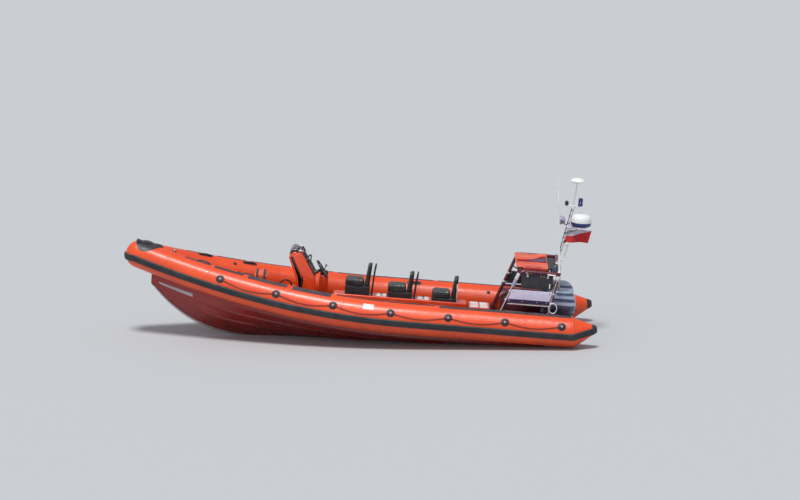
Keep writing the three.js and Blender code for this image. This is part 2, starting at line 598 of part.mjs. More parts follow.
// Outboards: for each side a clamp bracket on the transom, a swivel bracket that tilts in
// it, a leg that steers in the swivel bracket, a cowl with the engine block, and a propeller
function clampBracket(y) {
  const cheek = [[-gap, -60], [-gap, transom.top + gap], [62, transom.top + gap], [62, 262], [36, 318],
    [-40, 322], [-95, 230], [-70, 0], [-40, -60]];
  const cheeks = [-150, 118].map((side) => sidePiece(cheek, y + side, y + side + 32, 3, 1));
  const saddle = block([36, y - 150, transom.top + gap], [60, y + 150, transom.top + 12]);
  const { tiltX, tiltZ, pinRadius } = engine;
  const bore = rod(v3(tiltX, y - 200, tiltZ), v3(tiltX, y + 200, tiltZ), pinRadius + 0.5, undefined, 20);
  return cut(join(...cheeks, saddle), bore);
}
function swivelBracket(y) {
  const { tiltX, tiltZ, steerX } = engine;
  const arm = [[tiltX + 14, tiltZ - 22], [tiltX + 20, tiltZ + 14], [tiltX - 10, tiltZ + 24], [-110, 262],
    [steerX, 258], [steerX - 20, 150], [tiltX - 90, 170]];
  return join(
    rod(v3(tiltX, y - 158, tiltZ), v3(tiltX, y + 158, tiltZ), engine.pinRadius, engine.pinRadius, 20),
    sidePiece(arm, y - 105, y + 105, 4, 1),
    rod(v3(steerX, y, engine.swivelFoot), v3(steerX, y, engine.swivelHead), 55, 55, 20),
  );
}
function motorLeg(y) {
  const { steerX, shaftZ, plateZ, apronBottom, cowlBottom, swivelFoot, swivelHead, hubAftX } = engine;
  // A section across the shank at a height, from x0 aft to x1 forward
  const shankRing = (x0, x1, half, z) => {
    const [fore, aft] = [x1 - (x1 - x0) * 0.2, x0 + (x1 - x0) * 0.35];
    return [[x1, 0], [fore, half], [aft, half], [x0, 0], [aft, -half], [fore, -half]]
      .map(([x, across]) => v3(x, y + across, z));
  };
  const shank = loft([shankRing(-430, -268, 75, apronBottom + 20), shankRing(-455, -268, 62, 0),
    shankRing(-450, -262, 48, -330), shankRing(-450, -200, 34, -480), shankRing(-450, -190, 30, shaftZ)]);
  const pan = (x0, x1, half, z) => roundedOutline(x0, -half, x1, half, 90, 4)
    .map(([x, across]) => v3(x, y + across, z));
  const apron = loft([pan(-445, 20, 130, apronBottom), pan(-480, 70, 180, apronBottom + 35),
    pan(-490, 85, 205, cowlBottom)]);
  const halfPlate = [[-180, 0], [-230, 70], [-400, 105], [-600, 95], [-640, 40]]; // x and half width
  const plateOutline = [...halfPlate, ...halfPlate.slice(1).reverse().map(([x, across]) => [x, -across])];
  const plate = loft([plateZ - 8, plateZ + 8].map((z) => (
    plateOutline.map(([x, across]) => v3(x, y + across, z)))));
  const casing = [[0, 0], [30, 20], [50, 70], [58, 150], [58, 330], [46, 415], [0, 415]]; // radius, way aft
  const torpedo = turned(casing, 0, 0, 0, 18).rotateY(-Math.PI / 2).translate(hubAftX + 415, y, shaftZ);
  const skegProfile = [[-300, shaftZ - 40], [-540, shaftZ - 40], [-520, -700], [-500, -812], [-440, -812],
    [-380, -720]];
  const skeg = sidePiece(skegProfile, y - 9, y + 9, 3, 1);
  const upperProfile = [[-140, swivelHead + gap], [-140, 330], [-300, apronBottom + 20],
    [-400, apronBottom + 20], [-400, swivelHead + gap]];
  const upperMount = sidePiece(upperProfile, y - 60, y + 60, 4, 1);
  const lowerProfile = [[-150, swivelFoot - 70], [-150, swivelFoot - gap], [-330, swivelFoot - gap],
    [-330, swivelFoot - 70]];
  const lowerMount = sidePiece(lowerProfile, y - 55, y + 55, 4, 1);
  const housing = rod(v3(steerX, y, swivelFoot - gap), v3(steerX, y, swivelHead + gap), 61, 61, 20);
  return cut(join(shank, apron, plate, torpedo, skeg, upperMount, lowerMount), housing);
}
// Cowl: height, aft x, fore x and half width of each level, and the grooves pressed round it
const cowlLevels = [[engine.cowlBottom, -490, 85, 205], [520, -510, 95, 218], [640, -505, 90, 214],
  [750, -475, 55, 195], [810, -420, 0, 160], [engine.cowlTop, -365, -70, 105]];
const cowlGrooves = [[650, 690], [758, 796]];
const cowlWall = 20;
const grooveDepth = 12;

function cowlRing(y, z, inset) {
  const above = Math.max(1, cowlLevels.findIndex(([level]) => level >= z));
  const [low, high] = [cowlLevels[above - 1], cowlLevels[above]];
  const share = (z - low[0]) / (high[0] - low[0]);
  const [, x0, x1, half] = low.map((value, i) => value + (high[i] - value) * share);
  const radius = Math.min(130, half - 10) - inset;
  return roundedOutline(x0 + inset, inset - half, x1 - inset, half - inset, radius, 4)
    .map(([x, across]) => v3(x, y + across, z));
}

function cowlSolid(y) {
  const { cowlBottom, cowlTop } = engine;
  const grooves = cowlGrooves.flatMap(([low, high]) => (
    [[low, 0], [low + 7, grooveDepth], [high - 7, grooveDepth], [high, 0]]));
  const skin = [[cowlBottom + gap, 0], [520, 0], ...grooves, [810, 0], [cowlTop, 0]];
  const inner = [[640, cowlWall], [750, cowlWall], [cowlTop - cowlWall, cowlWall]];
  const mouth = cowlRing(y, cowlBottom, cowlWall).map((p) => v3(p.x, p.y, cowlBottom - cowlWall));
  return cut(loft(skin.map(([z, inset]) => cowlRing(y, z, inset))),
    loft([mouth, ...inner.map(([z, inset]) => cowlRing(y, z, inset))]));
}

function propeller(y) {
  const { propX, shaftZ, hubAftX } = engine;
  const hubBody = rod(v3(hubAftX - gap, y, shaftZ), v3(hubAftX - 130, y, shaftZ), 46, 42, 16);
  const blades = [0, 120, 240].map((turn) => {
    // Reach from the shaft, chord and pitch angle
    const sections = [[30, 70, 62], [90, 105, 52], [140, 95, 38], [178, 45, 26]];
    const blade = loft(sections.map(([reach, chord, pitch]) => {
      const [c, s] = [Math.cos(rad(pitch)) * chord / 2, Math.sin(rad(pitch)) * chord / 2];
      return [[c, s, 4], [-c, -s, 4], [-c, -s, -4], [c, s, -4]].map(([across, along, thick]) => (
        v3(along + thick * Math.cos(rad(pitch)), across - thick * Math.sin(rad(pitch)), reach)));
    }));
    return blade.rotateX(rad(turn)).translate(propX, y, shaftZ);
  });
  return join(hubBody, ...blades);
}
for (const [name, y] of [['port', engine.y], ['starboard', -engine.y]]) {
  add(`${name}_clamp_bracket`, clampBracket(y), 'blue');
  add(`${name}_swivel_bracket`, swivelBracket(y), 'blue');
  add(`${name}_motor_leg`, motorLeg(y), 'blue');
  add(`${name}_cowl`, cowlSolid(y), 'blue');
  add(`${name}_engine_block`, block([-430, y - 130, engine.cowlBottom + gap], [0, y + 130, 700]), 'steel');
  add(`${name}_propeller`, propeller(y), 'steel');
}

export default object;
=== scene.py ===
import math
import bpy
import numpy as np
from mathutils import Matrix, Vector


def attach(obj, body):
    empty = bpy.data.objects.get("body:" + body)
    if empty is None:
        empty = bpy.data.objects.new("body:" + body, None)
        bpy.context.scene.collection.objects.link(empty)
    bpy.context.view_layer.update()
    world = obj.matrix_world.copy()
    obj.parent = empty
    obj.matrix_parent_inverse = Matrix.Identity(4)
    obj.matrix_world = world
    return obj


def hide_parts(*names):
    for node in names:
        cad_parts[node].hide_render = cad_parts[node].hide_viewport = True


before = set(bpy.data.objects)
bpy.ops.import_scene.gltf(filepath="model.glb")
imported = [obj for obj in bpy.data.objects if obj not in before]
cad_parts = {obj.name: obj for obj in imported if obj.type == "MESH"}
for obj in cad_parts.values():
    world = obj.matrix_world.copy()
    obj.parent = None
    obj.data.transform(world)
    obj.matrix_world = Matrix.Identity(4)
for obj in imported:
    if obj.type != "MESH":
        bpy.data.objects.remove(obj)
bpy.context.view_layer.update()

# Inshore rescue boat, in metres: +X to the bow, +Y to port, +Z up.
# The origin is on the centreline at the waterline, at the transom's aft face.
print("frame loaded:", len(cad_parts), "nodes")

# Camera, floor and light. The boat planes bow up, so the water's plane is tipped in the boat's frame
studio = {
    "target": (2.667, 0.0, 1.240),
    "towards": (0.0153, 0.9816, 0.1902),
    "waterUp": (0.0802, 0.0, 0.9968),
    "distance": 80.0,
    "frameWidth": 14.235,        # metres across the picture at the boat
    "sensor": 36.0,
    "clipEnd": 2000.0,
    "waterDepth": -0.09,
    "floorSize": 700.0,
    "floorColour": (0.5, 0.51, 0.52),
    "floorRough": 0.7,
    "worldColour": (0.86, 0.9, 1.0),
    "worldStrength": 0.42,
    "keyTowards": (0.16, 0.34, 0.93),
    "keyStrength": 2.7,
    "keyAngle": 14.0,
    "fillTowards": (0.5, 0.8, 0.25),
    "fillStrength": 0.35,
    "fillAngle": 60.0,
}


# Turns an object so that its own +Z looks along the first direction and its +Y leans to the second
def facing(direction, up):
    z = Vector(direction).normalized()
    x = Vector(up).cross(z).normalized()
    return Matrix((x, z.cross(x), z)).transposed().to_4x4()


# A sun that shines from the given direction
def addSun(name, towards, strength, angle):
    lamp = bpy.data.lights.new(name, "SUN")
    lamp.energy = strength
    lamp.angle = math.radians(angle)
    holder = bpy.data.objects.new(name, lamp)
    holder.matrix_world = facing(towards, (1, 0, 0))
    bpy.context.scene.collection.objects.link(holder)


# The camera stands far off on its line through the target, and the floor is a square in the water's plane:
# its two ways are x less its part along the plane's normal, and the normal crossed with that
def makeStudio():
    scene = bpy.context.scene
    camera = bpy.data.objects.new("camera", bpy.data.cameras.new("camera"))
    camera.data.sensor_width = studio["sensor"]
    camera.data.lens = studio["sensor"] * studio["distance"] / studio["frameWidth"]
    camera.data.clip_end = studio["clipEnd"]
    turned = facing(studio["towards"], studio["waterUp"])
    place = Vector(studio["target"]) + Vector(studio["towards"]).normalized() * studio["distance"]
    camera.matrix_world = Matrix.Translation(place) @ turned
    scene.collection.objects.link(camera)
    scene.camera = camera
    up = Vector(studio["waterUp"]).normalized()
    middle = up * studio["waterDepth"]
    along = Vector((1, 0, 0)) - up * up.x
    along.normalize()
    across = up.cross(along)
    half = studio["floorSize"] / 2
    corners = [middle + along * sx * half + across * sy * half
               for sx, sy in ((-1, -1), (1, -1), (1, 1), (-1, 1))]
    mesh = bpy.data.meshes.new("floor")
    mesh.from_pydata([tuple(c) for c in corners], [], [(0, 1, 2, 3)])
    floor = bpy.data.objects.new("floor", mesh)
    scene.collection.objects.link(floor)
    paint = bpy.data.materials.new("floorPaint")
    paint.use_nodes = True
    shader = paint.node_tree.nodes["Principled BSDF"]
    shader.inputs["Base Color"].default_value = (*studio["floorColour"], 1)
    shader.inputs["Roughness"].default_value = studio["floorRough"]
    mesh.materials.append(paint)
    world = bpy.data.worlds.new("studioSky")
    world.use_nodes = True
    sky = world.node_tree.nodes["Background"]
    sky.inputs["Color"].default_value = (*studio["worldColour"], 1)
    sky.inputs["Strength"].default_value = studio["worldStrength"]
    scene.world = world
    addSun("keyLight", studio["keyTowards"], studio["keyStrength"], studio["keyAngle"])
    addSun("fillLight", studio["fillTowards"], studio["fillStrength"], studio["fillAngle"])
    scene.view_settings.view_transform = "Standard"


makeStudio()
print("studio set")


# Shapes. A part is (points, list of face arrays), and a piece is several parts in one mesh.

# Unit vector of each row
def unit(rows):
    return rows / np.maximum(np.linalg.norm(rows, axis=-1, keepdims=True), 1e-12)


# Angles of a whole turn in even steps
def fullTurn(count):
    return np.linspace(0, 2 * np.pi, count, endpoint=False)


# Four-sided faces of a grid of rows and columns; a wrapped side joins its last line to its first
def gridFaces(rows, cols, wrapRows=False, wrapCols=False):
    rowEnd = rows if wrapRows else rows - 1
    colEnd = cols if wrapCols else cols - 1
    r, c = np.meshgrid(np.arange(rowEnd), np.arange(colEnd), indexing="ij")
    nextR, nextC = (r + 1) % rows, (c + 1) % cols
    quads = [r * cols + c, r * cols + nextC, nextR * cols + nextC, nextR * cols + c]
    return np.stack(quads, -1).reshape(-1, 4)


# Turns the faces over where the sum of a . (b x c) over their triangles, six times the volume, is negative
def outward(points, faceSets):
    volume = 0.0
    for faces in faceSets:
        for k in range(1, faces.shape[1] - 1):
            a, b, c = points[faces[:, 0]], points[faces[:, k]], points[faces[:, k + 1]]
            volume += np.einsum("ij,ij->", a, np.cross(b, c))
    if volume < 0:
        faceSets = [faces[:, ::-1] for faces in faceSets]
    return points, faceSets


# Rings of points as one skin, closed at each end by a fan to the ring's mean
def ringPart(grid, wrapRows=False):
    rows, cols = grid.shape[:2]
    points = grid.reshape(-1, 3)
    faceSets = [gridFaces(rows, cols, wrapRows, True)]
    if not wrapRows:
        points = np.concatenate([points, [grid[0].mean(0), grid[-1].mean(0)]])
        here = np.arange(cols)
        ahead = (here + 1) % cols
        tip = np.full(cols, rows * cols)
        last = (rows - 1) * cols
        faceSets.append(np.stack([tip, ahead, here], -1))
        faceSets.append(np.stack([tip + 1, last + here, last + ahead], -1))
    return outward(points, faceSets)


# Two grids of one size, a top and a bottom, joined round their edges into a closed plate
def platePart(top, bottom):
    rows, cols = top.shape[:2]
    size = rows * cols
    points = np.concatenate([top.reshape(-1, 3), bottom.reshape(-1, 3)])
    index = np.arange(size).reshape(rows, cols)
    rim = np.concatenate([index[0, :-1], index[:-1, -1], index[-1, :0:-1], index[:0:-1, 0]])
    ahead = np.roll(rim, -1)
    upper = gridFaces(rows, cols)
    sides = np.stack([ahead, rim, rim + size, ahead + size], -1)
    return outward(points, [upper, upper[:, ::-1] + size, sides])


# A smooth line through a few points: the uniform Catmull-Rom cubic, some steps to each stretch
def smoothLine(points, steps):
    p = np.asarray(points, float)
    p = np.concatenate([2 * p[:1] - p[1:2], p, 2 * p[-1:] - p[-2:-1]])
    t = np.linspace(0, 1, steps, endpoint=False)[None, :, None]
    a, b, c, d = (p[i:len(p) - 3 + i, None] for i in range(4))
    cubic = 2 * b + (c - a) * t + (2 * a - 5 * b + 4 * c - d) * t ** 2 + (3 * b - 3 * c + d - a) * t ** 3
    return np.concatenate([0.5 * cubic.reshape(-1, p.shape[1]), p[-2:-1]])


# A circle of the given radius carried along a path: centre + r (side cos t + up sin t).
# lobes and twist give it the strands of a rope: r (1 + 0.12 cos(lobes t - twist s))
def tubePart(path, radius, sides, closed=False, guide=(0.13, 0.31, 0.94), flat=1.0, lobes=0, twist=0.0):
    path = np.asarray(path, float)
    ahead = np.roll(path, -1, 0) - np.roll(path, 1, 0) if closed else np.gradient(path, axis=0)
    ahead = unit(ahead)
    side = unit(np.cross(ahead, np.asarray(guide, float)))[:, None]
    up = np.cross(side, ahead[:, None])
    turn = fullTurn(sides)[None, :, None]
    r = np.broadcast_to(np.asarray(radius, float), (len(path),))[:, None, None]
    if lobes:
        run = np.concatenate([[0], np.cumsum(np.linalg.norm(np.diff(path, axis=0), axis=1))])
        r = r * (1 + 0.12 * np.cos(lobes * turn - twist * run[:, None, None]))
    return ringPart(path[:, None] + r * (np.cos(turn) * side + np.sin(turn) * up * flat), wrapRows=closed)


# A straight bar between two points with small rounded ends
def barPart(start, end, radius, endRadius=None, sides=24, edge=0.15):
    start, end = np.asarray(start, float), np.asarray(end, float)
    endRadius = radius if endRadius is None else endRadius
    share = np.array([0, 0.002, 0.01, 0.99, 0.998, 1.0])
    shrink = np.array([1 - edge, 1 - edge / 3, 1, 1, 1 - edge / 3, 1 - edge])
    path = start + (end - start) * share[:, None]
    return tubePart(path, (radius + (endRadius - radius) * share) * shrink, sides)


# A profile with both its ends brought in, level, to a small radius about the axis
def capped(profile, tip=0.001):
    return [(tip, profile[0][1]), *profile, (tip, profile[-1][1])]


# A profile of (radius, height) turned about an axis: centre + axis h + r (first cos t + second sin t)
def turnedPart(profile, centre, axis=(0, 0, 1), sides=48):
    profile = np.asarray(profile, float)
    axis = unit(np.asarray(axis, float))
    first = unit(np.cross(axis, (0.31, 0.87, 0.12)))
    second = np.cross(axis, first)
    turn = fullTurn(sides)[:, None]
    ring = np.cos(turn) * first + np.sin(turn) * second
    height = profile[:, 1, None, None] * axis
    return ringPart(np.asarray(centre, float) + height + profile[:, 0, None, None] * ring)


# A box with rounded edges: each unit direction n goes to radius n + sign(n) (half size - radius)
def roundBoxPart(low, high, radius):
    steps = 5
    low, high = np.asarray(low, float), np.asarray(high, float)
    half, centre = (high - low) / 2, (high + low) / 2
    radius = min(radius, *(half * 0.999))
    quarter = np.linspace(0, np.pi / 2, steps)
    across = (quarter + np.arange(4)[:, None] * np.pi / 2).ravel()
    up = np.concatenate([quarter - np.pi / 2, quarter])[:, None]
    signX, signY = (np.repeat(s, steps) for s in ([1, -1, -1, 1], [1, 1, -1, -1]))
    signZ = np.repeat([-1, 1], steps)[:, None]
    shape = (len(up), len(across))
    n = np.stack([np.cos(up) * np.cos(across), np.cos(up) * np.sin(across), np.sin(up) + 0 * across], -1)
    sign = np.stack([np.broadcast_to(s, shape) for s in (signX, signY, signZ)], -1)
    return ringPart(centre + n * radius + sign * (half - radius))


# An outline with each corner swapped for a short parabola from the edge before to the edge after
def roundOutline(corners, radius, steps):
    corners = np.asarray(corners, float)
    before, after = np.roll(corners, 1, 0), np.roll(corners, -1, 0)
    toBefore, toAfter = unit(before - corners), unit(after - corners)
    half = np.arccos(np.clip((toBefore * toAfter).sum(1), -1, 1)) / 2
    shorter = np.minimum(np.linalg.norm(before - corners, axis=1), np.linalg.norm(after - corners, axis=1))
    cutBack = np.minimum(np.asarray(radius, float) / np.tan(half), 0.49 * shorter)[:, None]
    start, end = (corners + toBefore * cutBack)[:, None], (corners + toAfter * cutBack)[:, None]
    t = np.linspace(0, 1, steps)[None, :, None]
    return ((1 - t) ** 2 * start + 2 * t * (1 - t) * corners[:, None] + t ** 2 * end).reshape(-1, 2)


# Corners of a rectangle, and the same with its corners rounded
def rectangle(x0, y0, x1, y1):
    return [(x0, y0), (x1, y0), (x1, y1), (x0, y1)]


# The outline of a rectangle between two corners, its own corners rounded by arcs of the radius
def roundRectangle(x0, y0, x1, y1, radius, steps):
    return roundOutline(rectangle(x0, y0, x1, y1), radius, steps)


# A closed outline moved inwards by a distance, along the normal at each of its points
def insetOutline(outline, distance):
    x, y = outline.T
    ahead = np.roll(outline, -1, 0) - np.roll(outline, 1, 0)
    area = (x * np.roll(y, -1) - np.roll(x, -1) * y).sum()
    return outline + unit(np.stack([-ahead[:, 1], ahead[:, 0]], -1)) * np.sign(area) * distance


# An outline carried from one face to the other; at each face a quarter circle rounds its edge
def slabPart(outline, low, high, edge, plane="xz", steps=4):
    turn = np.linspace(0, np.pi / 2, steps)
    inset = np.concatenate([edge * (1 - np.sin(turn)), edge * (1 - np.cos(turn))])
    height = np.concatenate([low + edge * (1 - np.cos(turn)), high - edge * (1 - np.sin(turn))])
    rings = np.stack([insetOutline(np.asarray(outline, float), distance) for distance in inset])
    first, second = rings[..., 0], rings[..., 1]
    h = np.broadcast_to(height[:, None], first.shape)
    axes = {"xz": (first, h, second), "xy": (first, second, h), "yz": (h, first, second)}[plane]
    return ringPart(np.stack(axes, -1))


# A part turned about the origin and then moved
def placed(part, shift, axis=(0, 0, 1), angle=0.0):
    points, faceSets = part
    turn = np.array(Matrix.Rotation(math.radians(angle), 3, Vector(axis)))
    return points @ turn.T + shift, faceSets


# The other side of the boat: y becomes -y and the faces are turned over
def mirrored(part):
    points, faceSets = part
    return points * (1, -1, 1), [faces[:, ::-1] for faces in faceSets]


# Port parts and their mirror images
def bothSides(parts):
    return list(parts) + [mirrored(part) for part in parts]


# Joins a port half to its mirror image along y = 0: faces that lie in that plane go, and points that
# meet there become one
def wholeFromHalf(part):
    points, faceSets = part
    points = points.copy()
    points[:, 1] = np.where(points[:, 1] < 1e-5, 0.0, points[:, 1])
    kept = [faces[(points[faces][..., 1] > 0).any(1)] for faces in faceSets]
    both = np.concatenate([points, points * (1, -1, 1)])
    places, index = np.unique(np.round(both, 6), axis=0, return_inverse=True)
    index = index.ravel()
    sets = kept + [faces[:, ::-1] + len(points) for faces in kept]
    return places, [index[faces] for faces in sets]


# One mesh from several parts
def meshFrom(name, parts):
    points, corners, totals, offset = [], [], [], 0
    for partPoints, faceSets in parts:
        points.append(partPoints)
        for faces in faceSets:
            corners.append((faces + offset).ravel())
            totals.append(np.full(len(faces), faces.shape[1]))
        offset += len(partPoints)
    points, corners, totals = (np.concatenate(rows) for rows in (points, corners, totals))
    mesh = bpy.data.meshes.new(name)
    mesh.vertices.add(len(points))
    mesh.vertices.foreach_set("co", points.astype(np.float32).ravel())
    mesh.loops.add(len(corners))
    mesh.loops.foreach_set("vertex_index", corners.astype(np.int32))
    mesh.polygons.add(len(totals))
    mesh.polygons.foreach_set("loop_start", (np.cumsum(totals) - totals).astype(np.int32))
    mesh.polygons.foreach_set("loop_total", totals.astype(np.int32))
    mesh.update(calc_edges=True)
    mesh.validate()
    return mesh


# One object from several parts, shaded smooth with a break at sharp edges
def makePiece(name, parts, finish, body="root", replaces=(), sharp=38.0):
    mesh = meshFrom(name, parts)
    mesh.polygons.foreach_set("use_smooth", np.ones(len(mesh.polygons), bool))
    mesh.set_sharp_from_angle(angle=math.radians(sharp))
    mesh.materials.append(finishes[finish])
    piece = bpy.data.objects.new(name, mesh)
    bpy.context.scene.collection.objects.link(piece)
    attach(piece, body)
    if replaces:
        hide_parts(*replaces)
    return piece


# A port piece and its mirror image, each in place of its own side's solid
def makePair(name, parts, finish, solid):
    makePiece("port_" + name, parts, finish, replaces=["port_" + solid])
    makePiece("starboard_" + name, [mirrored(part) for part in parts], finish,
              replaces=["starboard_" + solid])


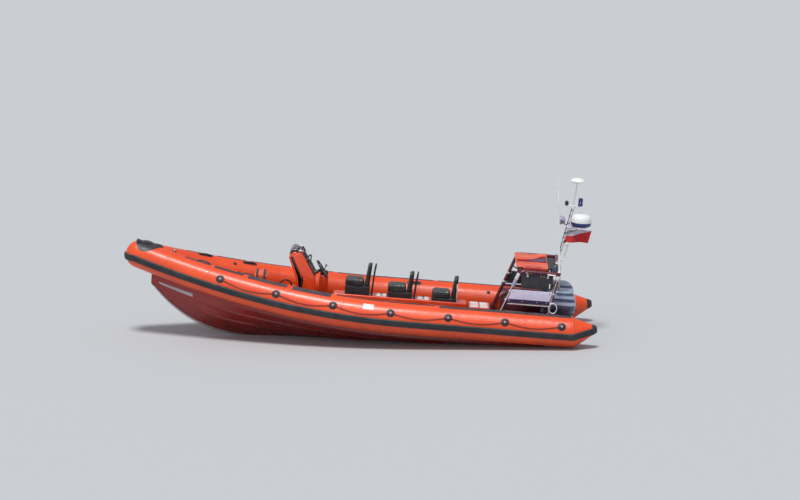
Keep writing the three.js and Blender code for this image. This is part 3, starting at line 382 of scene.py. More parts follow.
# Finishes. One dictionary gives a surface: two colours mixed in patches, scuffs, a darkening in cloudy
# patches that grows towards the bottom, worn edges, bands of colour (on the cowl, painted highlights), a
# range of roughness and layers of bump as (kind, scale, depth in metres)
looks = {
    "tubeFabric": {
        "slot": "orange_fabric", "base": (0.83, 0.082, 0.012), "second": (0.72, 0.06, 0.009),
        "patchScale": 1.3, "rough": (0.3, 0.44), "coat": 0.18, "coatRough": 0.2, "scuffs": 0.2,
        "scuffColour": (0.45, 0.05, 0.015), "darkerBelow": {"top": 0.16, "bottom": -0.06,
                                                      "colour": (0.26, 0.028, 0.012), "amount": 0.6},
        "bumps": [("noise", 3.0, 0.006), ("weave", 240.0, 0.0003)],
    },
    "seamTape": {
        "slot": "orange_fabric", "base": (0.78, 0.088, 0.016), "second": (0.66, 0.065, 0.012),
        "rough": (0.34, 0.48), "coat": 0.15, "scuffs": 0.3, "scuffColour": (0.42, 0.05, 0.02),
        "bumps": [("weave", 260.0, 0.0003)],
    },
    "orangeGelcoat": {
        "slot": "orange_gelcoat", "base": (0.78, 0.07, 0.012), "second": (0.62, 0.046, 0.009),
        "patchScale": 2.2, "rough": (0.2, 0.34), "coat": 0.5, "scuffs": 0.3, "edgeWear": 0.3,
        "edgeColour": (0.9, 0.2, 0.08), "darkerBelow": {"top": 0.45, "bottom": 0.1, "colour": (0.28, 0.03, 0.012),
                                                  "amount": 0.5},
        "bumps": [("peel", 90.0, 0.0006), ("noise", 5.0, 0.002)],
    },
    "redGelcoat": {
        "slot": "red_gelcoat", "base": (0.3, 0.009, 0.006), "second": (0.21, 0.006, 0.004),
        "patchScale": 1.1, "rough": (0.22, 0.36), "coat": 0.35, "scuffs": 0.3, "scuffStretch": (0.08, 1, 1),
        "scuffColour": (0.42, 0.08, 0.06), "darkerBelow": {"top": 0.15, "bottom": -0.35,
                                                     "colour": (0.09, 0.012, 0.008), "amount": 0.7},
        "bumps": [("peel", 60.0, 0.0006), ("noise", 2.0, 0.002)],
    },
    "greyRail": {
        "slot": "grey_plastic", "base": (0.5, 0.47, 0.5), "second": (0.36, 0.34, 0.37), "rough": (0.35, 0.5),
        "scuffs": 0.4, "bumps": [("noise", 60.0, 0.0006)],
    },
    "rubber": {
        "slot": "black_rubber", "base": (0.014, 0.016, 0.02), "second": (0.03, 0.032, 0.036),
        "patchScale": 4.0, "rough": (0.42, 0.62), "scuffs": 0.5, "scuffColour": (0.09, 0.09, 0.095),
        "edgeWear": 0.3, "edgeColour": (0.08, 0.08, 0.085),
        "bumps": [("noise", 70.0, 0.0008), ("noise", 9.0, 0.001)],
    },
    "gripStrip": {
        "slot": "black_rubber", "base": (0.04, 0.036, 0.044), "second": (0.066, 0.056, 0.064),
        "patchScale": 5.0, "rough": (0.55, 0.75), "scuffs": 0.4, "bumps": [("cells", 160.0, 0.0015)],
    },
    "solePaint": {
        "slot": "black_rubber", "base": (0.1, 0.095, 0.095), "second": (0.16, 0.14, 0.13), "patchScale": 2.5,
        "rough": (0.6, 0.8), "scuffs": 0.5, "scuffColour": (0.24, 0.2, 0.18),
        "bumps": [("cells", 110.0, 0.002), ("noise", 20.0, 0.001)],
    },
    "glossBlack": {
        "slot": "black_gloss", "base": (0.006, 0.006, 0.008), "second": (0.012, 0.012, 0.014),
        "rough": (0.06, 0.16), "coat": 0.8, "scuffs": 0.3, "scuffColour": (0.06, 0.06, 0.065),
        "bumps": [("peel", 40.0, 0.0005)],
    },
    "mouldedBlack": {
        "slot": "black_plastic", "base": (0.018, 0.018, 0.022), "second": (0.03, 0.03, 0.036),
        "patchScale": 6.0, "rough": (0.36, 0.52), "scuffs": 0.4, "scuffColour": (0.08, 0.08, 0.085),
        "edgeWear": 0.4, "edgeColour": (0.09, 0.09, 0.095), "bumps": [("cells", 420.0, 0.0004)],
    },
    "tubeBlack": {
        "slot": "black_tube", "base": (0.016, 0.016, 0.02), "second": (0.028, 0.028, 0.032),
        "rough": (0.28, 0.42), "coat": 0.2, "scuffs": 0.35, "scuffColour": (0.1, 0.1, 0.1),
        "bumps": [("peel", 200.0, 0.0003)],
    },
    "maroonPaint": {
        "slot": "maroon_paint", "base": (0.13, 0.012, 0.022), "second": (0.085, 0.01, 0.03),
        "patchScale": 4.0, "rough": (0.2, 0.36), "coat": 0.4, "scuffs": 0.45,
        "scuffColour": (0.32, 0.22, 0.25), "bumps": [("peel", 120.0, 0.0004)],
    },
    "boardFace": {
        "slot": "pale_board", "base": (0.64, 0.61, 0.75), "second": (0.54, 0.51, 0.67), "patchScale": 3.0,
        "rough": (0.35, 0.5), "scuffs": 0.35, "scuffColour": (0.3, 0.28, 0.34),
        "bumps": [("noise", 30.0, 0.0006)], "bandsAndPaintedHighlights": {"bands": [(0.633, 0.688)],
                                                        "colour": (0.028, 0.012, 0.075)},
    },
    "whiteMoulding": {
        "slot": "white_plastic", "base": (0.84, 0.84, 0.81), "second": (0.74, 0.74, 0.7), "patchScale": 3.0,
        "rough": (0.22, 0.36), "coat": 0.3, "scuffs": 0.25, "scuffColour": (0.5, 0.48, 0.42),
        "bumps": [("peel", 80.0, 0.0004)],
    },
    "radomeShell": {
        "slot": "white_plastic", "base": (0.84, 0.84, 0.82), "second": (0.76, 0.77, 0.73), "patchScale": 3.0,
        "rough": (0.2, 0.32), "coat": 0.3, "scuffs": 0.2, "scuffColour": (0.5, 0.48, 0.42),
        "bandsAndPaintedHighlights": {"bands": [(1.90, 2.002)], "colour": (0.01, 0.018, 0.13)},
        "bumps": [("peel", 80.0, 0.0004)],
    },
    "whitePaint": {
        "slot": "white_paint", "base": (0.78, 0.78, 0.8), "second": (0.62, 0.62, 0.66), "patchScale": 5.0,
        "rough": (0.25, 0.4), "coat": 0.3, "scuffs": 0.45, "scuffColour": (0.34, 0.33, 0.35),
        "bumps": [("peel", 140.0, 0.0004)],
    },
    "navyMoulding": {
        "slot": "navy_plastic", "base": (0.012, 0.016, 0.12), "second": (0.02, 0.024, 0.16),
        "rough": (0.15, 0.25), "coat": 0.4, "scuffs": 0.2, "bumps": [("peel", 90.0, 0.0003)],
    },
    "greyMoulding": {
        "slot": "grey_plastic", "base": (0.34, 0.32, 0.43), "second": (0.25, 0.24, 0.33),
        "rough": (0.3, 0.45), "scuffs": 0.3, "bumps": [("noise", 90.0, 0.0005)],
    },
    "vinyl": {
        "slot": "seat_vinyl", "base": (0.016, 0.021, 0.02), "second": (0.04, 0.052, 0.047),
        "patchScale": 7.0, "rough": (0.34, 0.5), "coat": 0.15, "scuffs": 0.3,
        "scuffColour": (0.075, 0.085, 0.08), "edgeWear": 0.3, "edgeColour": (0.09, 0.1, 0.1),
        "bumps": [("cells", 340.0, 0.0006), ("noise", 14.0, 0.002)],
    },
    "bagCloth": {
        "slot": "righting_cloth", "base": (0.84, 0.12, 0.04), "second": (0.66, 0.062, 0.022),
        "patchScale": 5.0, "rough": (0.5, 0.68), "sheen": 0.3, "scuffs": 0.25,
        "scuffColour": (0.5, 0.07, 0.04), "bumps": [("noise", 16.0, 0.006), ("weave", 300.0, 0.0004)],
    },
    "innerCloth": {
        "slot": "righting_cloth", "base": (0.12, 0.03, 0.09), "second": (0.07, 0.02, 0.07),
        "patchScale": 7.0, "rough": (0.6, 0.78), "sheen": 0.2, "scuffs": 0.2,
        "bumps": [("noise", 18.0, 0.004), ("weave", 300.0, 0.0004)],
    },
    "webbing": {
        "slot": "black_rubber", "base": (0.02, 0.02, 0.025), "second": (0.035, 0.035, 0.04),
        "rough": (0.6, 0.75), "sheen": 0.2, "scuffs": 0.2, "bumps": [("weave", 420.0, 0.0006)],
    },
    "rope": {
        "slot": "black_rubber", "base": (0.27, 0.016, 0.01), "second": (0.17, 0.01, 0.008),
        "patchScale": 12.0, "rough": (0.6, 0.8), "sheen": 0.3, "scuffs": 0.3,
        "bumps": [("noise", 260.0, 0.0008)],
    },
    "flagRed": {
        "slot": "flag_cloth", "base": (0.62, 0.012, 0.018), "second": (0.5, 0.01, 0.014), "patchScale": 6.0,
        "rough": (0.7, 0.85), "sheen": 0.4, "scuffs": 0.15, "bumps": [("weave", 380.0, 0.0004)],
    },
    "flagPale": {
        "slot": "flag_cloth", "base": (0.62, 0.58, 0.7), "second": (0.5, 0.46, 0.6), "rough": (0.7, 0.85),
        "sheen": 0.4, "bumps": [("weave", 380.0, 0.0004)],
    },
    "cowlPaint": {
        "slot": "cowl_paint", "base": (0.06, 0.085, 0.15), "second": (0.042, 0.062, 0.12), "patchScale": 3.0,
        "metal": 0.35, "rough": (0.14, 0.26), "coat": 0.9, "coatRough": 0.05, "scuffs": 0.25,
        # The cowl's pale blue bands are painted highlights: the streaks of light on its ridges, laid on as
        # colour
        "scuffColour": (0.18, 0.2, 0.27), "bandsAndPaintedHighlights": {"bands": [(0.8, 0.822), (0.702, 0.744), (0.585, 0.63)],
                                                      "colour": (0.4, 0.47, 0.62), "soft": 0.012},
        "bumps": [("peel", 60.0, 0.0003)],
    },
    "legPaint": {
        "slot": "engine_paint", "base": (0.05, 0.068, 0.12), "second": (0.035, 0.05, 0.095),
        "patchScale": 5.0, "metal": 0.3, "rough": (0.24, 0.38), "coat": 0.4, "scuffs": 0.5,
        "scuffColour": (0.2, 0.2, 0.22), "darkerBelow": {"top": -0.1, "bottom": -0.7,
                                                   "colour": (0.06, 0.065, 0.06), "amount": 0.5},
        "bumps": [("peel", 90.0, 0.0005), ("noise", 25.0, 0.0008)],
    },
    "castMetal": {
        "base": (0.2, 0.2, 0.21), "second": (0.13, 0.13, 0.14), "metal": 0.5, "rough": (0.45, 0.6),
        "scuffs": 0.4, "bumps": [("noise", 50.0, 0.002)],
    },
    "steel": {
        "slot": "steel", "base": (0.58, 0.58, 0.6), "second": (0.46, 0.46, 0.48), "metal": 1.0,
        "rough": (0.16, 0.32), "scuffs": 0.3, "scuffColour": (0.3, 0.3, 0.31),
        "bumps": [("brushed", 300.0, 0.0003)],
    },
    "dialFace": {"slot": "white_plastic", "base": (0.7, 0.7, 0.68), "second": (0.6, 0.6, 0.58),
                 "rough": (0.2, 0.3), "coat": 0.8},
    "screen": {"slot": "black_gloss", "base": (0.008, 0.012, 0.018), "second": (0.014, 0.02, 0.03),
               "rough": (0.04, 0.09), "coat": 1.0},
    "lensRed": {"slot": "black_plastic", "base": (0.5, 0.01, 0.012), "second": (0.4, 0.008, 0.01),
                "rough": (0.08, 0.14), "coat": 0.8},
    "paleVinyl": {
        "slot": "pale_board", "base": (0.74, 0.7, 0.68), "second": (0.62, 0.55, 0.53), "patchScale": 9.0,
        "rough": (0.35, 0.5), "scuffs": 0.45, "scuffColour": (0.5, 0.2, 0.12),
        "bumps": [("noise", 60.0, 0.0005)],
    },
    "brass": {"slot": "steel", "base": (0.5, 0.3, 0.08), "second": (0.38, 0.22, 0.06), "metal": 0.9,
              "rough": (0.3, 0.5)},
}
looks["bagShade"] = dict(looks["bagCloth"], base=(0.4, 0.014, 0.008), second=(0.26, 0.008, 0.008))


# A node with its inputs set to values or joined to other nodes' outputs
def node(tree, kind, inputs=None, **settings):
    made = tree.nodes.new(kind)
    for key, value in settings.items():
        setattr(made, key, value)
    for key, value in (inputs or {}).items():
        if isinstance(value, bpy.types.NodeSocket):
            tree.links.new(value, made.inputs[key])
        else:
            made.inputs[key].default_value = value
    return made


# The outcome of one arithmetic node
def sums(tree, operation, *values, clamp=False):
    return node(tree, "ShaderNodeMath", dict(enumerate(values)), operation=operation,
                use_clamp=clamp).outputs[0]


# Noise above a threshold, spread over a soft edge: clamp((noise - low) / (high - low))
def noiseShare(tree, place, scale, low, high, detail=4.0, stretch=(1, 1, 1)):
    mapping = node(tree, "ShaderNodeMapping", {"Vector": place, "Scale": stretch})
    noise = node(tree, "ShaderNodeTexNoise", {"Vector": mapping.outputs[0], "Scale": scale, "Detail": detail})
    return node(tree, "ShaderNodeMapRange", {"Value": noise.outputs["Fac"], "From Min": low,
                                             "From Max": high}).outputs[0]


# One colour laid over another by a share
def mixColours(tree, share, first, second):
    mix = node(tree, "ShaderNodeMix", {0: share}, data_type="RGBA")
    for socket, value in ((mix.inputs[6], first), (mix.inputs[7], second)):
        if isinstance(value, bpy.types.NodeSocket):
            tree.links.new(value, socket)
        else:
            socket.default_value = (*value, 1)
    return mix.outputs[2]


# A share that is 1 between two heights and 0 outside them, over a soft edge
def heightBand(tree, height, low, high, soft):
    above = node(tree, "ShaderNodeMapRange", {"Value": height, "From Min": low - soft,
                                              "From Max": low}).outputs[0]
    below = node(tree, "ShaderNodeMapRange", {"Value": height, "From Min": high + soft,
                                              "From Max": high}).outputs[0]
    return sums(tree, "MULTIPLY", above, below)


# Heights for bump: an even weave of crossed waves, rounded cells, brushed lines, or plain noise
def bumpHeight(tree, place, kind, scale):
    if kind == "weave":
        waves = [node(tree, "ShaderNodeTexWave", {"Vector": place, "Scale": scale},
                      bands_direction=axis).outputs["Fac"]
                 for axis in ("X", "Y", "Z")]
        return sums(tree, "MULTIPLY_ADD", *waves)
    if kind == "cells":
        return node(tree, "ShaderNodeTexVoronoi", {"Vector": place, "Scale": scale}).outputs["Distance"]
    stretch = (0.06, 1, 1) if kind == "brushed" else (1, 1, 1)
    detail = 2.0 if kind == "peel" else 8.0
    mapping = node(tree, "ShaderNodeMapping", {"Vector": place, "Scale": stretch})
    return node(tree, "ShaderNodeTexNoise", {"Vector": mapping.outputs[0], "Scale": scale,
                                             "Detail": detail}).outputs["Fac"]


# One surface: patches of the second colour, then bands of colour (on the cowl, painted highlights), worn
# edges, a darkening towards the bottom and scuffs are laid over the base; the scuffs also dull it, and each
# layer of bump stands on the one before
def makeFinish(name, look):
    finish = bpy.data.materials.new(name)
    finish.use_nodes = True
    tree = finish.node_tree
    shader = tree.nodes["Principled BSDF"]
    place = node(tree, "ShaderNodeTexCoord").outputs["Object"]
    height = node(tree, "ShaderNodeSeparateXYZ", {0: place}).outputs[2]
    patches = noiseShare(tree, place, look.get("patchScale", 2.0), 0.38, 0.66)
    colour = mixColours(tree, patches, look["base"], look["second"])
    bandsAndPaintedHighlights = look.get("bandsAndPaintedHighlights", {})
    # Bands of colour between heights; on the cowl they are painted highlights
    for low, high in bandsAndPaintedHighlights.get("bands", ()):
        band = heightBand(tree, height, low, high, bandsAndPaintedHighlights.get("soft", 0.002))
        colour = mixColours(tree, band, colour, bandsAndPaintedHighlights["colour"])
    if "edgeWear" in look:                 # where the surface bends outwards sharply
        bend = node(tree, "ShaderNodeNewGeometry").outputs["Pointiness"]
        edge = node(tree, "ShaderNodeMapRange", {"Value": bend, "From Min": 0.53,
                                                 "From Max": 0.62}).outputs[0]
        worn = sums(tree, "MULTIPLY", edge, noiseShare(tree, place, 28.0, 0.35, 0.6, detail=8.0))
        colour = mixColours(tree, sums(tree, "MULTIPLY", worn, look["edgeWear"]), colour, look["edgeColour"])
    # Darker towards the bottom: a dark colour mixed in over cloudy noise, growing from the top height to the
    # bottom one
    if "darkerBelow" in look:
        darkerBelow = look["darkerBelow"]
        depth = node(tree, "ShaderNodeMapRange", {"Value": height, "From Min": darkerBelow["top"],
                                                  "From Max": darkerBelow["bottom"]})
        cloud = noiseShare(tree, place, 6.0, 0.3, 0.65, detail=7.0, stretch=(1, 1, 0.3))
        amount = sums(tree, "MULTIPLY", sums(tree, "MULTIPLY", depth.outputs[0], cloud), darkerBelow["amount"])
        colour = mixColours(tree, amount, colour, darkerBelow["colour"])
    fadedColour = tuple(0.55 * c + 0.12 for c in look["base"])
    scuffs = noiseShare(tree, place, 35.0, 0.62, 0.78, detail=8.0,
                        stretch=look.get("scuffStretch", (0.35, 1, 1)))
    scuffs = sums(tree, "MULTIPLY", scuffs, look.get("scuffs", 0.15))
    colour = mixColours(tree, scuffs, colour, look.get("scuffColour", fadedColour))
    tree.links.new(colour, shader.inputs["Base Color"])
    smooth, dull = look["rough"]
    gloss = noiseShare(tree, place, 14.0, 0.3, 0.7, detail=6.0)
    rough = node(tree, "ShaderNodeMapRange", {"Value": gloss, "To Min": smooth, "To Max": dull}).outputs[0]
    tree.links.new(sums(tree, "MULTIPLY_ADD", scuffs, 0.35, rough, clamp=True), shader.inputs["Roughness"])
    shader.inputs["Metallic"].default_value = look.get("metal", 0.0)
    shader.inputs["Coat Weight"].default_value = look.get("coat", 0.0)
    shader.inputs["Coat Roughness"].default_value = look.get("coatRough", 0.08)
    shader.inputs["Sheen Weight"].default_value = look.get("sheen", 0.0)
    normal = None
    for kind, scale, depth in look.get("bumps", ()):
        inputs = {"Height": bumpHeight(tree, place, kind, scale), "Distance": depth}
        if normal:
            inputs["Normal"] = normal
        normal = node(tree, "ShaderNodeBump", inputs).outputs[0]
    if normal:
        tree.links.new(normal, shader.inputs["Normal"])
    return finish


finishes = {name: makeFinish(name, look) for name, look in looks.items()}
print("finishes made:", len(finishes))


# Sponson. Along x the port tube's centre is y = halfBeam cos(pi/2 closing), z = height + rise rising^2 +
# coneRise cone, where closing, rising and cone each grow from 0 to 1 over their stretch
sponson = {
    "radius": 0.275, "bowRadius": 0.245, "fadeStart": 4.5, "halfBeam": 1.126, "height": 0.235,
    "taperStart": 2.2, "riseStart": 2.6, "closeX": 7.3, "noseX": 7.28, "rise": 0.565,
    "coneStart": -0.45, "coneEnd": -0.88, "coneRadius": 0.055, "coneRise": 0.085,
    "sides": 96, "seams": (-0.42, 0.35, 1.55, 2.75, 3.6, 4.85, 6.0, 6.75), "pinch": 0.0025,
    "pinchWidth": 0.03,
}


# 0 before the start, then even growth that is 1 at the end and goes on beyond it
def ramp(x, start, end):
    return np.maximum(0, (np.asarray(x, float) - start) / (end - start))


# The centre line given above
def tubeCentre(x):
    s = sponson
    x = np.asarray(x, float)
    z = s["height"] + s["rise"] * ramp(x, s["riseStart"], s["closeX"]) ** 2
    z = z + s["coneRise"] * ramp(x, s["coneStart"], s["coneEnd"])
    return np.stack([x, s["halfBeam"] * np.cos(np.pi / 2 * ramp(x, s["taperStart"], s["closeX"])), z], -1)


# The radius eases from the full to the bow's, and on the cone to the tip's; seams pinch it a little
def tubeRadius(x):
    s = sponson
    r = s["radius"] + (s["bowRadius"] - s["radius"]) * ramp(x, s["fadeStart"], s["noseX"])
    r = r + (s["coneRadius"] - r) * np.minimum(1, ramp(x, s["coneStart"], s["coneEnd"]))
    near = np.asarray(x, float)[..., None] - np.array(s["seams"])
    return r - s["pinch"] * np.exp(-(near / s["pinchWidth"]) ** 2).sum(-1)


# The tube's frame: its centre, the way ahead, the way out from the boat and the way up
def tubeFrame(x):
    centre = tubeCentre(x)
    ahead = unit(tubeCentre(np.asarray(x) + 0.001) - tubeCentre(np.asarray(x) - 0.001))
    out = unit(np.stack([-ahead[..., 1], ahead[..., 0], 0 * ahead[..., 0]], -1))
    return centre, ahead, out, np.cross(ahead, out)


# A point on the tube: centre + (radius + lift) (out cos a + up sin a), the angle a in degrees from outboard
def onTube(x, angle, lift=0.0):
    x, angle, lift = np.broadcast_arrays(*(np.asarray(v, float) for v in (x, angle, lift)))
    centre, _, out, up = tubeFrame(x)
    a = np.radians(angle)[..., None]
    return centre + (tubeRadius(x) + lift)[..., None] * (out * np.cos(a) + up * np.sin(a))


# The port tube to the stem as rings, then a hemisphere; the part beyond the centreline is cut off and
# the half is joined to its mirror image
def sponsonPart():
    s = sponson
    cone = np.linspace(s["coneEnd"], s["coneStart"], 16)[:-1]
    straight = np.arange(s["coneStart"], s["taperStart"], 0.045)
    bow = np.linspace(s["taperStart"], s["noseX"], 125)
    x = np.concatenate([cone, straight, bow])[:, None]
    turn = np.linspace(0, 360, s["sides"], endpoint=False)
    grid = onTube(x, turn)
    centre, ahead, out, up = tubeFrame(s["noseX"])
    dome = np.radians(np.linspace(0, 89, 18))[1:, None, None]
    a = np.radians(turn)[None, :, None]
    away = out * np.cos(a) + up * np.sin(a)
    nose = centre + s["bowRadius"] * (np.cos(dome) * away + np.sin(dome) * ahead)
    return wholeFromHalf(ringPart(np.concatenate([grid, nose])))


# A grid of ones with a smaller share along its edges
def thinRim(shape, share):
    rim = np.ones(shape)
    rim[0], rim[-1], rim[:, 0], rim[:, -1] = share, share, share, share
    return rim


# A patch on the tube between two stations and two angles, its corners round: each line across runs
# over the width that the corner arcs leave it. The top stands by its lift and thins at the edge
def tubePatch(x0, x1, a0, a1, lift, corner, fine=0.05):
    middle = (x0 + x1) / 2
    r = float(tubeRadius(middle))
    halfL, halfW = (x1 - x0) / 2, np.radians(a1 - a0) * r / 2
    corner = min(corner, halfL * 0.99, halfW * 0.99)
    arc = corner * (1 - np.cos(np.linspace(0, np.pi / 2, 6)))
    lines = np.linspace(-halfW + corner, halfW - corner, max(3, int(2 * (halfW - corner) / fine) + 2))
    across = np.concatenate([-halfW + arc, lines[1:-1], halfW - arc[::-1]])
    over = np.maximum(0, np.abs(across) - (halfW - corner))
    length = halfL - corner + np.sqrt(np.maximum(corner ** 2 - over ** 2, 1e-9))
    inner = np.linspace(-1, 1, max(8, int(2 * halfL / fine)))[1:-1]
    share = np.concatenate([[-1, -0.998], inner * 0.99, [0.998, 1]])
    x = middle + share[None, :] * length[:, None]
    angle = (a0 + a1) / 2 + np.degrees(across / r)[:, None] + 0 * x
    return platePart(onTube(x, angle, lift * thinRim(x.shape, 0.3)), onTube(x, angle, -0.004))


# A round patch on the tube: at distance d and direction t from its middle, the station moves by d cos t
# and the angle by d sin t / radius, and the lift follows the profile
def tubeDisc(x, angle, profile, sides=40):
    profile = np.asarray(profile, float)
    turn = fullTurn(sides)
    d, lift = profile[:, :1], profile[:, 1:]
    station = x + d * np.cos(turn)
    return ringPart(onTube(station, angle + np.degrees(d * np.sin(turn) / float(tubeRadius(x))), lift))


tubeNodes = ["port_aft_tube", "starboard_aft_tube", "port_fore_tube", "starboard_fore_tube", "bow_tube"]
makePiece("sponson_tubes", [sponsonPart()], "tubeFabric", replaces=tubeNodes, sharp=50)

tapes = {"halfWidth": 0.022, "lift": 0.0012, "from": -150.0, "to": 172.0, "lengthwise": (-62.0, 148.0),
         "halfAngle": 4.5, "run": (-0.4, 6.55), "thinner": 0.8}


# Tape over the seams: a band round the tube at each seam and two lengthwise ones along it
def seamTapes():
    t = tapes
    rounds = [tubePatch(x - t["halfWidth"], x + t["halfWidth"], t["from"], t["to"], t["lift"], corner=0.004)
              for x in sponson["seams"]]
    lengths = [tubePatch(*t["run"], a - t["halfAngle"], a + t["halfAngle"], t["lift"] * t["thinner"],
                         corner=0.01)
               for a in t["lengthwise"]]
    return bothSides(rounds + lengths)


makePiece("seam_tapes", seamTapes(), "seamTape")

# Rubbing strake. Its section is a D: the stand at height b is (1 - (b / h)^6)^0.5 of the whole, less two
# grooves, and its back lies inside the tube
strake = {"angle": -9.0, "halfHeight": 0.06, "stand": 0.029, "groove": 0.006, "grooveAt": 0.36,
          "grooveWidth": 0.09, "back": -0.014, "backHalf": 0.9, "aftX": -0.83, "noseSteps": 24}


# Frames along the port tube, round the nose as an arc, and back along the starboard tube
def strakeFrames():
    s = strake
    x = np.concatenate([np.linspace(s["aftX"], sponson["coneStart"], 14)[:-1],
                        np.linspace(sponson["coneStart"], sponson["taperStart"], 40)[:-1],
                        np.linspace(sponson["taperStart"], sponson["noseX"], 130)])
    centre, _, out, up = tubeFrame(x)
    radius = tubeRadius(x)
    lead = math.atan2(out[-1, 1], out[-1, 0])
    turn = np.linspace(lead, -lead, s["noseSteps"])[1:-1]
    noseOut = np.stack([np.cos(turn), np.sin(turn), 0 * turn], -1)
    noseCentre = np.repeat([[sponson["noseX"], 0, centre[-1, 2]]], len(turn), 0)
    noseUp = np.repeat([[0.0, 0.0, 1.0]], len(turn), 0)
    flip = np.array([1, -1, 1])
    pairs = ((centre, noseCentre), (out, noseOut), (up, noseUp))
    whole = [np.concatenate([port, nose, port[::-1] * flip]) for port, nose in pairs]
    return (*whole, np.concatenate([radius, np.full(len(turn), sponson["bowRadius"]), radius[::-1]]))


# The section carried along the frames: centre + (radius + a) away + b along, both ways turned by the angle
def strakePart():
    s = strake
    centre, out, up, radius = strakeFrames()
    angle = math.radians(s["angle"])
    away = out * math.cos(angle) + up * math.sin(angle)
    along = up * math.cos(angle) - out * math.sin(angle)
    b = np.sin(np.linspace(-np.pi / 2, np.pi / 2, 33))
    grooves = np.exp(-((np.abs(b) - s["grooveAt"]) / s["grooveWidth"]) ** 2)
    a = s["stand"] * np.sqrt(1 - b ** 6) - s["groove"] * grooves * (1 - b ** 6)
    a = np.concatenate([a, [s["back"], s["back"]]])
    b = np.concatenate([b, [s["backHalf"], -s["backHalf"]]]) * s["halfHeight"]
    outer = centre[:, None] + (radius[:, None] + a)[..., None] * away[:, None]
    return ringPart(outer + b[None, :, None] * along[:, None])


makePiece("rubbing_strake_ribbed", [strakePart()], "rubber", replaces=["rubbing_strake"])

# Black caps on the aft cones: a rounded cup over each tip
coneCaps = {"length": 0.075, "grow": 0.004, "dome": 0.012}


# Rings a little outside the cone, then a dome over the tip: radius cos t, back by its depth sin t
def coneCapPart():
    c = coneCaps
    x = np.linspace(sponson["coneEnd"] + c["length"], sponson["coneEnd"] + 0.004, 10)
    centre, ahead, out, up = tubeFrame(x)
    radius = tubeRadius(x) + c["grow"]
    turn = fullTurn(48)[None, :, None]
    way = np.cos(turn) * out[:, None] + np.sin(turn) * up[:, None]
    rings = centre[:, None] + radius[:, None, None] * way
    dome = np.radians([30, 60, 85])[:, None, None]
    tip = centre[-1] - c["dome"] * np.sin(dome) * ahead[-1]
    return ringPart(np.concatenate([rings, tip + radius[-1] * np.cos(dome) * way[-1]]))


makePiece("cone_caps", bothSides([coneCapPart()]), "rubber")

# Anti-slip strips along the tops of the tubes, with small orange tabs at their ends
grip = {
    "strips": [(6.5, 6.02, 80, 94), (5.95, 5.42, 74, 96), (5.33, 4.62, 66, 92), (4.52, 3.83, 62, 92),
               (3.75, 2.0, 84, 96), (1.92, -0.42, 72, 94)],
    "lift": 0.004, "corner": 0.025, "tabHalf": 0.035, "tabLift": 0.007, "tabCorner": 0.012,
    "tabs": [(4.57, 46, 66), (2.86, 56, 84), (0.55, 46, 68), (-0.1, 46, 68)],
}
strips = [tubePatch(x1, x0, a0, a1, grip["lift"], grip["corner"]) for x0, x1, a0, a1 in grip["strips"]]
makePiece("grip_strips", bothSides(strips), "gripStrip")
tabs = [tubePatch(x - grip["tabHalf"], x + grip["tabHalf"], a0, a1, grip["tabLift"], grip["tabCorner"], 0.02)
        for x, a0, a1 in grip["tabs"]]
makePiece("strip_tabs", bothSides(tabs), "seamTape")

# Dark maroon panels on the inner sides of the tubes beside the engine well: painted shade, a sheet laid where
# the well lies in shadow
wellShadePanel = {"x": (-0.3, 0.78), "angles": (104, 206), "lift": 0.004, "corner": 0.04}
panel = tubePatch(*wellShadePanel["x"], *wellShadePanel["angles"], wellShadePanel["lift"], wellShadePanel["corner"])
makePiece("well_painted_shade_panels", bothSides([panel]), "maroonPaint")

# Carrying handles: a moulded base patch with a raised grip that arches over it
handles = {"places": [(6.18, 106), (5.38, 112), (2.35, 122), (0.2, 124)], "half": 0.13, "halfAngle": 9.0,
           "baseLift": 0.006, "corner": 0.04, "foot": 0.002, "arch": 0.024, "reach": 1.5, "gripRadius": 0.013}


# The grip's path: along the tube with the lift arch sin(pi s)^0.6 between its two feet
def handleParts(x, angle):
    h = handles
    sides = (x - h["half"], x + h["half"], angle - h["halfAngle"], angle + h["halfAngle"])
    base = tubePatch(*sides, h["baseLift"], h["corner"])
    share = np.linspace(0, 1, 30)
    lift = h["foot"] + h["arch"] * np.sin(np.pi * share) ** 0.6
    path = onTube(x + (share - 0.5) * h["half"] * h["reach"], angle, lift)
    return [base, tubePart(path, h["gripRadius"], 16, flat=0.7)]


handleSet = [part for x, angle in handles["places"] for part in handleParts(x, angle)]
makePiece("carry_handles", bothSides(handleSet), "rubber")

# Lifelines: a rope that sags along the tube from patch to patch, each patch with a pale eyelet
lifeline = {"angle": 28.0, "sag": 15.0, "first": -0.25, "pitch": 1.0, "count": 7, "ropeRadius": 0.008,
            "patchLift": 0.009, "patchShare": 0.25, "strands": 3, "lay": 0.12,
            "patch": [(0.002, 0.017), (0.022, 0.017), (0.034, 0.014), (0.046, 0.007), (0.054, 0.0045),
                      (0.072, 0.0035), (0.075, 0.001), (0.075, -0.003), (0.002, -0.004)],
            "eyelet": [(0.001, 0.0245), (0.012, 0.0235), (0.017, 0.0205), (0.0185, 0.016), (0.001, 0.012)]}
patchX = lifeline["first"] + lifeline["pitch"] * np.arange(lifeline["count"])
patches = [tubeDisc(x, lifeline["angle"], lifeline["patch"]) for x in patchX]
makePair("lifeline_patches", patches, "rubber", "lifeline")
eyelets = [tubeDisc(x, lifeline["angle"], lifeline["eyelet"], 24) for x in patchX]
makePiece("lifeline_eyelets", bothSides(eyelets), "greyRail")


